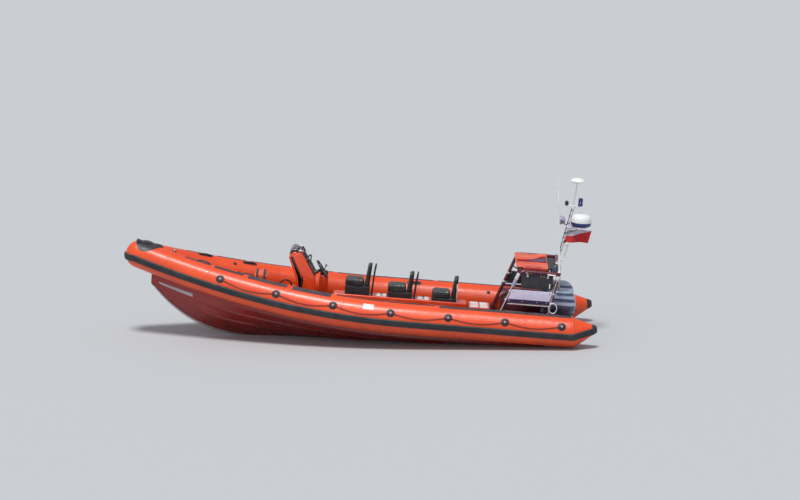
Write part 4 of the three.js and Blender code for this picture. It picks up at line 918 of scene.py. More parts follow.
# The rope's line: angle - sag sin(pi s) over each stretch, lifted by its radius, and a little more over
# each patch; its strands turn once in each lay
def lifelineRope():
    r = lifeline
    share = np.linspace(0, r["count"] - 1, 80 * (r["count"] - 1))
    sway = np.abs(np.sin(np.pi * share))
    lift = r["ropeRadius"] + r["patchLift"] * np.exp(-(sway / r["patchShare"]) ** 2)
    path = onTube(r["first"] + r["pitch"] * share, r["angle"] - r["sag"] * sway, lift)
    return tubePart(path, r["ropeRadius"], 12, lobes=r["strands"], twist=2 * np.pi * r["strands"] / r["lay"])


makePiece("lifeline_ropes", bothSides([lifelineRope()]), "rope")

# Air valves, and a blank pale panel on each side
valve = {
    "profile": [(0.001, 0.009), (0.012, 0.009), (0.016, 0.006), (0.03, 0.005), (0.034, 0.001),
                (0.034, -0.003), (0.001, -0.004)],
    "places": [(5.66, 128), (3.3, 140), (1.0, 140), (-0.2, 142)],
}
makePiece("air_valves", bothSides([tubeDisc(x, a, valve["profile"]) for x, a in valve["places"]]), "rubber")
blank = {"x": (3.05, 3.24), "angles": (32, 56), "lift": 0.0015, "corner": 0.012}
panel = tubePatch(*blank["x"], *blank["angles"], blank["lift"], blank["corner"], 0.02)
makePiece("blank_panels", bothSides([panel]), "paleVinyl")
print("tubes, strake, strips, handles and lifelines made")


# Hull. At a station the half section runs from the keel to the chine with two spray rails that hang
# below it: drop(s) grows from 0 at the rail's inner edge to its depth near the outer one, then ends sharply
hull = {
    "keelDepth": -0.53, "keelRiseStart": 5.0, "stemX": 7.04, "stemRise": 0.82, "keelPower": 2.8,
    "chineHalf": 0.98, "chineCloseX": 7.08, "chineDrop": 0.37, "deck": 0.12, "deckDrop": 0.31,
    "rails": [(0.42, 0.485, 0.5), (0.72, 0.785, 0.8)], "railDepth": 0.026, "flange": 0.025, "lift": 0.0003,
    "headDrop": 0.1, "head": 0.97,
    "foot": 0.88,     # the bulwark inside the tube: shares of the chine's width
    "bilge": 0.012, "bow": (4.9, 7.04),              # the bow's stations lie closer
}
floorZ, transomZ = 0.1203, 0.2303        # the floor and the transom's top, each with the seat of 0.3 mm


# The floor is level, and forward it keeps a fixed drop below the tube's centre
def deckHeight(x):
    return np.maximum(hull["deck"], tubeCentre(x)[..., 2] - hull["deckDrop"])


# A point on the bottom: y = chineY s, z = keelZ + (chineZ - keelZ) s - drop(s)
def onBottom(x, s):
    h = hull
    x, s = np.broadcast_arrays(np.asarray(x, float), np.asarray(s, float))
    keelZ = h["keelDepth"] + h["stemRise"] * ramp(x, h["keelRiseStart"], h["stemX"]) ** h["keelPower"]
    chineY = h["chineHalf"] * np.cos(np.pi / 2 * ramp(x, sponson["taperStart"], h["chineCloseX"]))
    chineZ = tubeCentre(x)[..., 2] - h["chineDrop"]
    drop = sum(np.interp(s, rail, (0, 1, 0), left=0, right=0) for rail in h["rails"])
    z = keelZ + (chineZ - keelZ) * s - h["railDepth"] * drop * np.minimum(1, chineY / 0.5)
    return np.stack([x, np.maximum(chineY * s, 0.006), z], -1)


# Sections from the keel out to the chine, up the flange, over the bulwark and in along the floor. The
# shares beside each rail's ends keep its edges sharp
def hullPart():
    h = hull
    x = np.concatenate([np.linspace(0, h["bow"][0], 50)[:-1], np.linspace(*h["bow"], 90)])[:, None]
    edges = [0.42, 0.4205, 0.485, 0.4995, 0.5, 0.72, 0.7205, 0.785, 0.7995]
    s = np.unique(np.concatenate([np.linspace(0, 1, 41), edges]))[None, :]
    bottom = onBottom(x, s)
    chineY = bottom[:, -1:, 1]
    tubeZ = tubeCentre(x)[..., 2]
    side = [np.stack([x, chineY + h["bilge"], bottom[:, -1:, 2] + h["bilge"]], -1),
            np.stack([x, chineY + h["flange"], tubeZ - h["headDrop"]], -1),
            np.stack([x, chineY * h["head"], tubeZ - h["headDrop"]], -1),
            np.stack([x, chineY * h["foot"], deckHeight(x)], -1),
            np.stack([x, chineY * h["foot"] * 0.5, deckHeight(x)], -1)]
    half = np.concatenate([bottom, *side], 1)
    return ringPart(np.concatenate([half, half[:, ::-1] * (1, -1, 1)], 1))


# The lifting pads: low discs on the floor, as thick as they stand above it
liftingPads = [(1.2, 0.56), (4.2, 0.45)]
padProfile = capped([(0.07, 0.01), (0.074, 0.008), (0.075, 0.004), (0.075, -0.01)])
pads = [turnedPart(padProfile, (x, y, hull["deck"])) for x, y in liftingPads]
makePiece("hull_moulding", [hullPart()] + bothSides(pads), "redGelcoat", replaces=["hull"], sharp=25)


# A strip that follows the bottom between two shares of its width: it stands off by sin(pi s)^0.5 of its
# thickness across, and fades out over the last three stations at each end
def bottomStrip(x0, x1, s0, s1, stand):
    steps = 60
    x = np.linspace(x0, x1, steps)[:, None]
    s = np.linspace(s0, s1, 7)[None, :]
    inner = onBottom(x, s)
    rise = np.sin(np.pi * np.linspace(0, 1, 7))[None, :, None] ** 0.5
    end = np.minimum(1, np.minimum(np.arange(steps), np.arange(steps)[::-1]) / 3)[:, None, None]
    away = np.array([0, 0.35, -0.94])        # about the bottom's normal at the bow
    return platePart(inner + away * stand * rise * end, inner - away * 0.003)


# Pale grey strips on the bow's chines: a painted glint, where the chines catch the light
bowGlintStrips = {"x": (6.28, 6.9), "shares": (0.86, 0.985), "stand": 0.014}
bowGlintStrip = bottomStrip(*bowGlintStrips["x"], *bowGlintStrips["shares"], bowGlintStrips["stand"])
makePiece("bow_chine_glint_strips", bothSides([bowGlintStrip]), "greyRail")
keelBand = {"from": 4.6, "to": 6.98, "half": 0.02, "stand": 0.006, "steepest": 1.2}


# The band along the stem: z = the keel line + |y| slope - stand (1 - (y / half)^4)
def keelBandPart():
    k = keelBand
    x = np.linspace(k["from"], k["to"], 90)[:, None]
    line = onBottom(x, 0.0) * (1, 0, 1)
    y = np.array([-1, -0.8, 0, 0.8, 1])[None, :] * k["half"]
    zero = 0 * x + 0 * y
    slope = onBottom(x, 0.3) - onBottom(x, 0.0)
    rise = np.minimum(slope[..., 2] / np.maximum(slope[..., 1], 0.01), k["steepest"])
    sag = np.abs(y) * rise - k["stand"] * (1 - (y / k["half"]) ** 4)
    top = np.stack([x + zero, y + zero, line[..., 2] + sag], -1)
    return platePart(top, top + (0, 0, 0.004))


makePiece("keel_band", [keelBandPart()], "steel")

# Cockpit sole: grip panels on the floor, cut back from the tubes and split down the middle
sole = {"panels": [(0.14, 0.96), (1.0, 1.9), (1.94, 2.84), (2.88, 3.78), (3.82, 4.62), (4.66, 5.24)],
        "inner": 0.035, "edge": 0.02, "thick": 0.004}


# The tube's inner edge at floor height: y = centre - sqrt(r^2 - (z - floor)^2)
def floorReach(x):
    centre, r = tubeCentre(x), tubeRadius(x)
    return centre[..., 1] - np.sqrt(np.maximum(r ** 2 - (centre[..., 2] - hull["deck"]) ** 2, 0))


# A panel's outline: out along the tube's inner edge less a margin, and back beside the middle
def solePart(x0, x1):
    x = np.linspace(x0, x1, 24)
    outer = np.stack([x, floorReach(x) - sole["edge"]], -1)
    inner = np.stack([x[::-1], np.full(len(x), sole["inner"])], -1)
    return slabPart(np.concatenate([outer, inner]), hull["deck"] - 0.0005, hull["deck"] + sole["thick"],
                    0.002, "xy")


makePiece("cockpit_sole", bothSides([solePart(*panel) for panel in sole["panels"]]), "solePaint")

# Foredeck: z = tube height + 0.06 at the tubes, rising to a crown along the middle as cos, over a low rim
foredeck = {"from": 5.3, "to": 7.04, "inset": 0.06, "edgeRise": 0.06, "crown": 0.12, "rimDrop": 0.015,
            "footInset": 0.03}


# Height at a share s of the width: rim + (crown - rim) cos(pi/2 |s|)^0.7
def foredeckTop(x, s):
    f = foredeck
    centre = tubeCentre(x)
    rise = f["edgeRise"] + (f["crown"] - f["edgeRise"]) * np.cos(np.pi / 2 * np.abs(s)) ** 0.7
    return np.stack([x + 0 * s, (centre[..., 1] - f["inset"]) * s, centre[..., 2] + rise], -1)


# The top over a bottom at the floor's height; the first station is lower, for a rounded aft edge
def foredeckPart():
    x = np.concatenate([[foredeck["from"], 5.3005], np.linspace(5.32, foredeck["to"], 60)])[:, None]
    s = np.linspace(-1, 1, 49)[None, :]
    top = foredeckTop(x, s)
    top[0] -= (0, 0, foredeck["rimDrop"])
    chineY = onBottom(x, 1.0)[..., 1]
    low = deckHeight(x) + hull["lift"]
    bottom = np.stack([x + 0 * s, chineY * (hull["foot"] - foredeck["footInset"]) * s, low + 0 * s], -1)
    return platePart(top, bottom)


makePiece("foredeck_cover", [foredeckPart()], "orangeGelcoat", replaces=["foredeck"])


# A panel on the foredeck between two stations and two shares of its width, standing off by its lift
def foredeckPanel(x0, x1, s0, s1, lift, steps=14):
    x = np.linspace(x0, x1, steps)[:, None]
    s = np.linspace(s0, s1, steps)[None, :]
    top = foredeckTop(x, s)
    return platePart(top + thinRim((steps, steps), 0.2)[..., None] * (0, 0, lift), top - (0, 0, 0.004))


hatch = {"from": 5.5, "to": 6.02, "half": 0.5, "lift": 0.022, "rim": 0.03, "gap": 0.004, "rimLift": 0.012,
         "aftHalf": 0.56, "foreHalf": 0.58, "sides": (0.51, 0.57)}
makePiece("foredeck_hatch", [foredeckPanel(hatch["from"], hatch["to"], -hatch["half"], hatch["half"],
                                           hatch["lift"])],
          "orangeGelcoat")
aftRim, foreRim = hatch["from"] - hatch["rim"], hatch["to"] + hatch["rim"]
hatchRim = [foredeckPanel(aftRim, hatch["from"] - hatch["gap"], -hatch["aftHalf"], hatch["aftHalf"],
                          hatch["rimLift"]),
            foredeckPanel(hatch["to"] + hatch["gap"], foreRim, -hatch["foreHalf"], hatch["foreHalf"],
                          hatch["rimLift"])]
for side in (-1, 1):
    hatchRim.append(foredeckPanel(aftRim, foreRim, *(side * share for share in hatch["sides"]),
                                  hatch["rimLift"]))
makePiece("hatch_gasket", hatchRim, "rubber")
deckStraps = {"at": [5.36, 6.2, 6.42], "width": 0.05, "half": 0.93, "lift": 0.005}
strapParts = [foredeckPanel(x, x + deckStraps["width"], -deckStraps["half"], deckStraps["half"],
                            deckStraps["lift"], 24)
              for x in deckStraps["at"]]
makePiece("foredeck_straps", strapParts, "webbing")

# Towing post with a cross pin, and a ring on the stem
post = {"x": 6.66, "radius": 0.032, "height": 0.15, "pinHalf": 0.085, "pinUp": 0.085, "pinRadius": 0.011}
postFoot = tubeCentre(post["x"])[2] + foredeck["crown"]
postProfile = [(0.001, -0.01), (0.07, -0.01), (0.072, 0.004), (0.066, 0.012), (post["radius"], 0.016),
               (post["radius"], 0.12),
               (0.04, 0.128), (0.042, 0.142), (0.034, post["height"]), (0.001, post["height"])]
postParts = [turnedPart(postProfile, (post["x"], 0, postFoot))]
pinZ = postFoot + post["pinUp"]
postParts.append(barPart((post["x"], -post["pinHalf"], pinZ), (post["x"], post["pinHalf"], pinZ),
                         post["pinRadius"]))
makePiece("towing_post", postParts, "steel")
turn = fullTurn(48)
stemEye = {"at": (6.93, 0, 0.22), "radius": 0.034, "wire": 0.008}
ringPath = stemEye["at"] + stemEye["radius"] * np.stack([np.cos(turn), 0 * turn, np.sin(turn)], -1)
makePiece("stem_ring", [tubePart(ringPath, stemEye["wire"], 16, closed=True, guide=(0, 1, 0))], "steel")

# Bow cap: a dome over the nose, x = a sin t, z = h cos t down from its top
bowCap = {"centre": (7.185, 0.0, 0.905), "radii": (0.215, 0.19, 0.15), "foot": 0.88}


# Rings of an ellipsoid from its top down to where it meets the tube: each point keeps its direction and
# is stopped at the height where it would sink into the tube's top
def bowCapPart():
    c = bowCap
    angle = fullTurn(72)[None, :]
    tilt = np.linspace(0.02, np.pi / 2 + 0.16, 30)[:, None]
    a, b, h = c["radii"]
    points = np.stack([c["centre"][0] + a * np.sin(tilt) * np.cos(angle), b * np.sin(tilt) * np.sin(angle),
                       c["centre"][2] + h * np.cos(tilt) + 0 * angle], -1)
    points[..., 2] = np.maximum(points[..., 2], c["foot"])
    return ringPart(points)


makePiece("bow_cap_dome", [bowCapPart()], "glossBlack", replaces=["bow_cap"])


# The cap's skirt over each tube's top: angles from a(x) to the inner side, where a(x) follows an ellipse
# along the tube and climbs towards its aft end, so that the skirt's edge lies level
bowSkirt = {"x": (6.95, 7.4), "inner": 118.0, "outer": 20.0, "climb": 26.0, "lift": 0.006}


# The grid runs along the ellipse and from its edge a(x) to the inner angle
def bowSkirtPart():
    s = bowSkirt
    along, share = np.meshgrid(np.sin(np.linspace(-1.49, 1.49, 25)), np.linspace(0, 1, 20), indexing="ij")
    x = (s["x"][0] + s["x"][1]) / 2 + along * (s["x"][1] - s["x"][0]) / 2
    outer = s["outer"] + s["climb"] * (1 - along) / 2
    low = s["inner"] - (s["inner"] - outer) * np.sqrt(1 - along ** 2)
    angle = low + (s["inner"] - low) * share
    return platePart(onTube(x, angle, s["lift"]), onTube(x, angle, -0.003))


makePiece("bow_cap_skirt", bothSides([bowSkirtPart()]), "mouldedBlack")

# Transom: the board with a rubber edge and drain sleeves
transom = {"top": 0.23, "half": 0.84, "thick": 0.06, "edging": [(-0.78, -0.52), (-0.18, 0.18), (0.52, 0.78)],
           "edgingX": (-0.004, 0.064), "edgingZ": (0.2225, 0.2298), "drainY": (-0.66, -0.1, 0.1, 0.66),
           "drainZ": 0.16}
outline = rectangle(0.0, floorZ, transom["thick"], transom["top"])
makePiece("transom_board", [slabPart(roundOutline(outline, 0.006, 3), -transom["half"], transom["half"],
                                     0.004)], "redGelcoat", replaces=["transom"])
(x0, x1), (z0, z1) = transom["edgingX"], transom["edgingZ"]
capBars = [roundBoxPart((x0, y0, z0), (x1, y1, z1), 0.0035) for y0, y1 in transom["edging"]]
makePiece("transom_edging", capBars, "rubber")
sleeves = [turnedPart(capped([(0.022, 0.004), (0.026, 0.006), (0.034, 0.006), (0.036, 0.003),
                              (0.036, -0.002)]),
                      (0.0, y, transom["drainZ"]), (-1, 0, 0)) for y in transom["drainY"]]
makePiece("drain_sleeves", sleeves, "mouldedBlack")
print("hull, sole, foredeck and transom made")


# Console: its side profile is carried across with rounded corners; panels, dash and rail sit on it
console = {
    "profile": [(4.11, floorZ), (4.45, floorZ), (4.46, 0.6), (4.63, 1.01), (4.56, 1.105), (4.4, 1.118),
                (4.13, 0.68)],
    "corners": [0.004, 0.004, 0.3, 0.05, 0.045, 0.05, 0.2], "half": 0.29, "edge": 0.022,
    "dashFoot": (4.13, 0.68), "dashHead": (4.4, 1.118),
    "trim": [(4.135, 0, 0.7), (4.26, 0, 0.905), (4.37, 0, 1.085), (4.42, 0, 1.118), (4.5, 0, 1.113)],
    "trimY": 0.281, "trimRadius": 0.009,
}
consoleOutline = roundOutline(console["profile"], console["corners"], 8)
body = slabPart(consoleOutline, -console["half"], console["half"], console["edge"], "xz", 6)
makePiece("console_moulding", [body], "orangeGelcoat", replaces=["console"])


# A frame on the dash: its origin, the way up it and the way out of it, for things that lie on the face
def dashFrame():
    foot, head = np.array(console["dashFoot"]), np.array(console["dashHead"])
    up = (head - foot) / np.linalg.norm(head - foot)
    return np.array([foot[0], 0, foot[1]]), np.array([up[0], 0, up[1]]), np.array([-up[1], 0, up[0]])


dashOrigin, dashUp, dashOut = dashFrame()


# A point on the dash: origin + up a + out b, at y across
def onDash(y, a, b=0.0):
    return dashOrigin + dashUp * a + dashOut * b + np.array([0, y, 0])


# A rounded panel on the dash: an outline in (y, a), from one height off the face to another
def dashPanel(corners, radius, low, high, edge=0.004):
    points, faceSets = slabPart(roundOutline(corners, radius, 6), low, high, edge, "xy")
    across = points[:, :1] * np.array([0, 1, 0])
    return outward(dashOrigin + points[:, 1:2] * dashUp + points[:, 2:3] * dashOut + across, faceSets)


dash = {
    "panel": (-0.25, 0.06, 0.25, 0.47), "screen": (-0.205, 0.27, 0.035, 0.43), "bezel": 0.015,
    "radio": (0.07, 0.29, 0.225, 0.36), "knobs": [(0.095, 0.325), (0.2, 0.325)],
    "switches": [(0.085 + 0.035 * i, 0.4) for i in range(4)], "switchHalf": (0.011, 0.017),
    "gauges": [(-0.18, 0.19), (-0.075, 0.19), (-0.18, 0.095), (-0.075, 0.095)],
    "needle": (0.02, 0.017, 0.0145),         # its tip across and up, and the lift off the face
    "ticks": (0.025, 0.031, 0.0128),         # from one radius to the other, and the lift
    "tickAngles": (-40, 221, 26),
}
makePiece("dash_panel", [dashPanel(rectangle(*dash["panel"]), 0.03, -0.006, 0.006)], "mouldedBlack")
y0, a0, y1, a1 = dash["screen"]
edge = dash["bezel"]
bezels = [dashPanel(rectangle(y0 - edge, a0 - edge, y1 + edge, a1 + edge), 0.018, 0.0, 0.028, 0.006)]
bezels.append(dashPanel(rectangle(*dash["radio"]), 0.01, 0.0, 0.022, 0.004))
bezelRing = [(0.031, 0.002), (0.031, 0.012), (0.036, 0.017), (0.043, 0.015), (0.045, 0.002)]
for y, a in dash["gauges"]:
    bezels.append(turnedPart([(0.001, 0.002)] + bezelRing[::-1] + [(0.001, 0.002)], onDash(y, a), dashOut))
makePiece("dash_bezels", bezels, "glossBlack")
faces = [turnedPart(capped([(0.034, 0.0), (0.034, 0.0125)]), onDash(y, a), dashOut, 40)
         for y, a in dash["gauges"]]
makePiece("gauge_faces", faces, "dialFace")
toSide, toTop, lift = dash["needle"]
needles = [barPart(onDash(y, a, lift), onDash(y + toSide, a + toTop, lift), 0.0014, 0.0007, 8)
           for y, a in dash["gauges"]]
needles += [turnedPart(capped([(0.005, 0.012), (0.005, 0.017)]), onDash(y, a), dashOut, 16)
            for y, a in dash["gauges"]]
makePiece("gauge_needles", needles, "lensRed")
ticks = []
*reaches, lift = dash["ticks"]
for y, a in dash["gauges"]:
    for angle in np.radians(np.arange(*dash["tickAngles"])):
        ends = [onDash(y + reach * np.cos(angle), a + reach * np.sin(angle), lift) for reach in reaches]
        ticks.append(barPart(*ends, 0.0012, sides=6))
makePiece("gauge_ticks", ticks, "glossBlack")
makePiece("display_glass", [dashPanel(rectangle(*dash["screen"]), 0.006, 0.02, 0.0295, 0.002)], "screen")
halfWide, halfHigh = dash["switchHalf"]
switchCaps = [dashPanel(rectangle(y - halfWide, a - halfHigh, y + halfWide, a + halfHigh), 0.004, 0.004,
                        0.016, 0.003)
              for y, a in dash["switches"]]
makePiece("dash_switches", switchCaps, "rubber")
knobs = [turnedPart(capped([(0.013, 0.02), (0.012, 0.038), (0.010, 0.04)]), onDash(y, a), dashOut, 24)
         for y, a in dash["knobs"]]
makePiece("radio_knobs", knobs, "mouldedBlack")

# Side panels: a raised cover on each side that leans with the front, a dark gasket before it and below
sidePanel = {"cover": [(4.175, 0.33), (4.36, 0.33), (4.345, 0.62), (4.56, 1.03), (4.5, 1.075), (4.415, 1.08),
                       (4.165, 0.67)],
             "gasket": [(4.36, 0.33), (4.395, 0.33), (4.38, 0.62), (4.6, 1.02), (4.56, 1.03), (4.345, 0.62)],
             "corners": [0.02, 0.02, 0.1, 0.02, 0.02, 0.03, 0.12], "inner": 0.285, "stand": 0.007,
             "screwY": 0.297, "screws": [(4.2, 0.36), (4.33, 0.36), (4.19, 0.66), (4.325, 0.62),
                                         (4.415, 1.05), (4.52, 1.04), (4.3, 0.87)]}
cover = slabPart(roundOutline(sidePanel["cover"], sidePanel["corners"], 6), sidePanel["inner"],
                 console["half"] + sidePanel["stand"], 0.005, "xz")
makePiece("console_side_covers", bothSides([cover]), "orangeGelcoat")
gasket = slabPart(roundOutline(sidePanel["gasket"], 0.006, 4), sidePanel["inner"],
                  console["half"] + sidePanel["stand"] * 0.7, 0.003, "xz")
makePiece("console_gaskets", bothSides([gasket]), "rubber")
screw = capped([(0.009, 0.0), (0.009, 0.003), (0.006, 0.005)])
fasteners = [turnedPart(screw, (x, sidePanel["screwY"], z), (0, 1, 0), 20) for x, z in sidePanel["screws"]]
makePiece("console_fasteners", bothSides(fasteners), "steel")
trimPath = smoothLine(console["trim"], 10)
trim = [tubePart(trimPath + (0, y, 0), console["trimRadius"], 12)
        for y in (-console["trimY"], console["trimY"])]
makePiece("console_edge_trim", trim, "rubber")

# The hood over the console's top, the compass on it and a small pale lamp beside
hoodHalf = 0.268
hoodOutline = [(4.462, 1.1145), (4.556, 1.1065), (4.603, 1.045), (4.611, 1.095), (4.56, 1.149),
               (4.482, 1.155)]
hood = slabPart(roundOutline(hoodOutline, [0.002, 0.02, 0.004, 0.02, 0.03, 0.02], 6), -hoodHalf, hoodHalf,
                0.016, "xz", 5)
makePiece("console_hood", [hood], "glossBlack", replaces=["windscreen"])
compassAt = (4.425, 0.0, 1.115)
compassBowl = [(0.001, 0.0), (0.05, 0.0), (0.052, 0.008), (0.045, 0.02), (0.038, 0.024), (0.034, 0.036),
               (0.022, 0.048), (0.001, 0.053)]
makePiece("compass", [turnedPart(compassBowl, compassAt)], "screen")
consoleLamps = {"x": (4.4, 4.452), "y": (-0.22, 0.22), "half": 0.03, "z": (1.113, 1.14)}
(x0, x1), (z0, z1), half = consoleLamps["x"], consoleLamps["z"], consoleLamps["half"]
lampBodies = [roundBoxPart((x0, y - half, z0), (x1, y + half, z1), 0.008) for y in consoleLamps["y"]]
makePiece("console_lamps", lampBodies, "whiteMoulding")

# Grab rail: the same route as its solid, smoothed, with a flange at each foot
consoleRail = {
    "half": [(4.3, 0.248, 0.928), (4.27, 0.249, 0.955), (4.246, 0.243, 0.972), (4.233, 0.2, 0.98),
             (4.232, 0.0, 0.98)],
    "radius": 0.0135, "foot": (4.29, 0, 0.94), "footY": 0.248,
    "flange": capped([(0.026, 0.0), (0.026, 0.004), (0.02, 0.008)]),
}
railHalf, footY = consoleRail["half"], consoleRail["footY"]
railRoute = smoothLine(railHalf + [(x, -y, z) for x, y, z in railHalf[-2::-1]], 10)
railFoot = dashOrigin + dashUp * float(np.dot(np.array(consoleRail["foot"]) - dashOrigin, dashUp))
railParts = [tubePart(railRoute, consoleRail["radius"], 18)]
railParts += [turnedPart(consoleRail["flange"], railFoot + (0, y, 0), dashOut, 32) for y in (-footY, footY)]
makePiece("console_rail", railParts, "tubeBlack", replaces=["console_grab_rail"])

# Steering wheel: a padded rim with finger bumps, r (1 + 0.05 cos 24 t), three spokes and a domed boss
wheel = {"hub": (4.02, 0.0, 0.79), "rake": 35.0, "radius": 0.165, "rim": 0.0135, "bumps": 24,
         "bumpDepth": 0.05, "spokes": (90, 210, 330), "spokeFrom": 0.02, "spokeTo": 0.16, "spokeSag": 0.006}


# The rim's circle lies in the plane across the column; a spoke sags towards it by sin(pi s)
def wheelParts():
    w = wheel
    axis = np.array([-math.cos(math.radians(w["rake"])), 0, math.sin(math.radians(w["rake"]))])
    first, second = np.array([0.0, 1.0, 0.0]), np.cross(axis, (0, 1, 0))
    turn = fullTurn(192)[:, None]
    path = np.array(w["hub"]) + w["radius"] * (np.cos(turn) * first + np.sin(turn) * second)
    radius = w["rim"] * (1 + w["bumpDepth"] * np.cos(w["bumps"] * turn[:, 0]))
    rim = tubePart(path, radius, 20, closed=True, guide=axis)
    spokes = []
    share = np.linspace(0, 1, 12)[:, None]
    for angle in np.radians(w["spokes"]):
        way = math.cos(angle) * first + math.sin(angle) * second
        start, end = np.array(w["hub"]) + w["spokeFrom"] * way, np.array(w["hub"]) + w["spokeTo"] * way
        line = start + (end - start) * share - axis * w["spokeSag"] * np.sin(np.pi * share)
        spokes.append(tubePart(line, np.linspace(0.017, 0.011, 12), 16, guide=axis, flat=0.5))
    boss = turnedPart(capped([(0.034, -0.0168), (0.038, -0.012), (0.038, 0.006), (0.03, 0.015),
                              (0.012, 0.0168)]),
                      w["hub"], axis, 40)
    return rim, spokes, boss, axis


rim, spokes, boss, wheelAxis = wheelParts()
makePiece("wheel_rim", [rim, boss], "rubber", body="helm_wheel", replaces=["steering_wheel"])
makePiece("wheel_spokes", spokes, "steel", body="helm_wheel")
hubPoint = np.array(wheel["hub"])
columnProfile = capped([(0.024, -0.0175), (0.0265, -0.022), (0.031, -0.18), (0.036, -0.196), (0.05, -0.2),
                        (0.052, -0.24)])
makePiece("steering_column_cover", [turnedPart(columnProfile, hubPoint, wheelAxis, 40)], "mouldedBlack")

# Throttle pod with its lever box
throttle = {
    "pod": (3.9, floorZ, 4.06, 0.64), "podY": (-0.285, -0.185), "box": (3.91, 0.6403, 4.05, 0.72),
    "boxY": (-0.28, -0.19), "drum": capped([(0.024, -0.051), (0.03, -0.046), (0.03, 0.046), (0.024, 0.051)]),
    "pivot": (3.98, -0.235, 0.703), "levers": (-0.215, -0.255),
}
pod = slabPart(roundRectangle(*throttle["pod"], [0.004, 0.004, 0.035, 0.035], 6), *throttle["podY"], 0.014,
               "xz", 5)
makePiece("throttle_stand", [pod], "orangeGelcoat", replaces=["throttle_pod"])
leverBox = [slabPart(roundRectangle(*throttle["box"], [0.003, 0.003, 0.028, 0.028], 6), *throttle["boxY"],
                     0.008, "xz", 5)]
leverBox.append(turnedPart(throttle["drum"], throttle["pivot"], (0, 1, 0), 40))
makePiece("lever_box", leverBox, "glossBlack", replaces=["throttle_box"])
levers = []
for y in throttle["levers"]:
    lever = smoothLine([(3.98, y, 0.705), (3.972, y, 0.76), (3.955, y, 0.81)], 8)
    levers += [tubePart(lever, 0.007, 14, guide=(0, 1, 0)),
               roundBoxPart((3.938, y - 0.016, 0.795), (3.966, y + 0.016, 0.829), 0.011)]
makePiece("throttle_levers", levers, "mouldedBlack")

# Forward pod with its hatch, and the hoop over it
forePod = {
    "profile": [(4.4545, floorZ), (4.96, floorZ), (4.9, 0.33), (4.7, 0.42), (4.4605, 0.44)],
    "corners": [0.003, 0.004, 0.05, 0.06, 0.012], "half": 0.2, "edge": 0.022,
    "lid": (-0.085, -0.15, 0.085, 0.15), "lidThick": 0.014, "lidAt": (4.8, 0, 0.3755), "slope": (0.09, 0.2),
    "hoop": [(4.82, 0, 0.365), (4.795, 0, 0.43), (4.76, 0, 0.47), (4.66, 0, 0.54), (4.56, 0, 0.5),
             (4.542, 0, 0.43)],
    "hoopRadius": 0.0155, "hoopFeet": [(4.545, 0, 0.433), (4.818, 0, 0.367)],
}
podBody = slabPart(roundOutline(forePod["profile"], forePod["corners"], 6), -forePod["half"], forePod["half"],
                   forePod["edge"], "xz", 6)
makePiece("forward_stowage", [podBody], "orangeGelcoat", replaces=["forward_pod"])
podLid = placed(slabPart(roundRectangle(*forePod["lid"], 0.025, 6), 0.0, forePod["lidThick"], 0.005, "xy"),
                forePod["lidAt"], (0, 1, 0), math.degrees(math.atan2(*forePod["slope"])))
makePiece("forward_hatch", [podLid], "orangeGelcoat")
hoopParts = [tubePart(smoothLine(forePod["hoop"], 10), forePod["hoopRadius"], 20, guide=(0, 1, 0))]
hoopParts += [turnedPart(capped([(0.034, 0.0), (0.034, 0.005), (0.024, 0.009)]), p, (0, 0, 1), 32)
              for p in forePod["hoopFeet"]]
makePiece("forward_rail_hoop", hoopParts, "tubeBlack", replaces=["forward_hoop"])
print("console, helm and forward pod made")


# Padding. A stuffed cover starts a little small, is remeshed and swelled as cloth under pressure
padding = {"voxel": 0.0114, "pressure": 4.0, "frames": 20, "stiffness": 15.0, "bending": 0.6, "mass": 0.3,
           "quality": 5}


# Points and four-sided faces of an object as its modifiers leave it
def finished(holder):
    mesh = bpy.data.meshes.new_from_object(holder.evaluated_get(bpy.context.evaluated_depsgraph_get()))
    points = np.empty(len(mesh.vertices) * 3, np.float32)
    mesh.vertices.foreach_get("co", points)
    faces = np.empty(len(mesh.loops), np.int32)
    mesh.loops.foreach_get("vertex_index", faces)
    bpy.data.meshes.remove(mesh)
    return points.reshape(-1, 3).astype(float), faces.reshape(-1, 4)


# An object in the scene to carry modifiers
def holderOf(part):
    holder = bpy.data.objects.new("stuffing", meshFrom("stuffing", [part]))
    bpy.context.scene.collection.objects.link(holder)
    return holder


# Each point's move d under the cloth is shortened to d min(1, cap / |d|); then one subdivision
def stuffed(part, cap, voxel=padding["voxel"]):
    holder = holderOf(part)
    remesh = holder.modifiers.new("remesh", "REMESH")
    remesh.mode = "VOXEL"
    remesh.voxel_size = voxel
    points, faces = finished(holder)
    bpy.data.objects.remove(holder)
    holder = holderOf((points, [faces]))
    cloth = holder.modifiers.new("cloth", "CLOTH").settings
    cloth.quality = padding["quality"]
    cloth.mass = padding["mass"]
    cloth.tension_stiffness = cloth.compression_stiffness = cloth.shear_stiffness = padding["stiffness"]
    cloth.bending_stiffness = padding["bending"]
    cloth.use_pressure = True
    cloth.uniform_pressure_force = padding["pressure"]
    cloth.effector_weights.gravity = 0.0
    for frameNumber in range(1, padding["frames"] + 1):
        bpy.context.scene.frame_set(frameNumber)
    swelled, faces = finished(holder)
    bpy.data.objects.remove(holder)
    bpy.context.scene.frame_set(1)
    move = swelled - points
    length = np.linalg.norm(move, axis=1, keepdims=True)
    points = points + move * np.minimum(1.0, cap / np.maximum(length, 1e-9))
    holder = holderOf((points, [faces]))
    smoother = holder.modifiers.new("smooth", "SUBSURF")
    smoother.levels = smoother.render_levels = 1
    points, faces = finished(holder)
    bpy.data.objects.remove(holder)
    return points, faces


# Normals at the points: the mean of the crossed diagonals of the faces round each
def pointNormals(points, faces):
    crossed = np.cross(points[faces[:, 2]] - points[faces[:, 0]], points[faces[:, 3]] - points[faces[:, 1]])
    total = np.zeros_like(points)
    for corner in range(4):
        np.add.at(total, faces[:, corner], crossed)
    return unit(total)


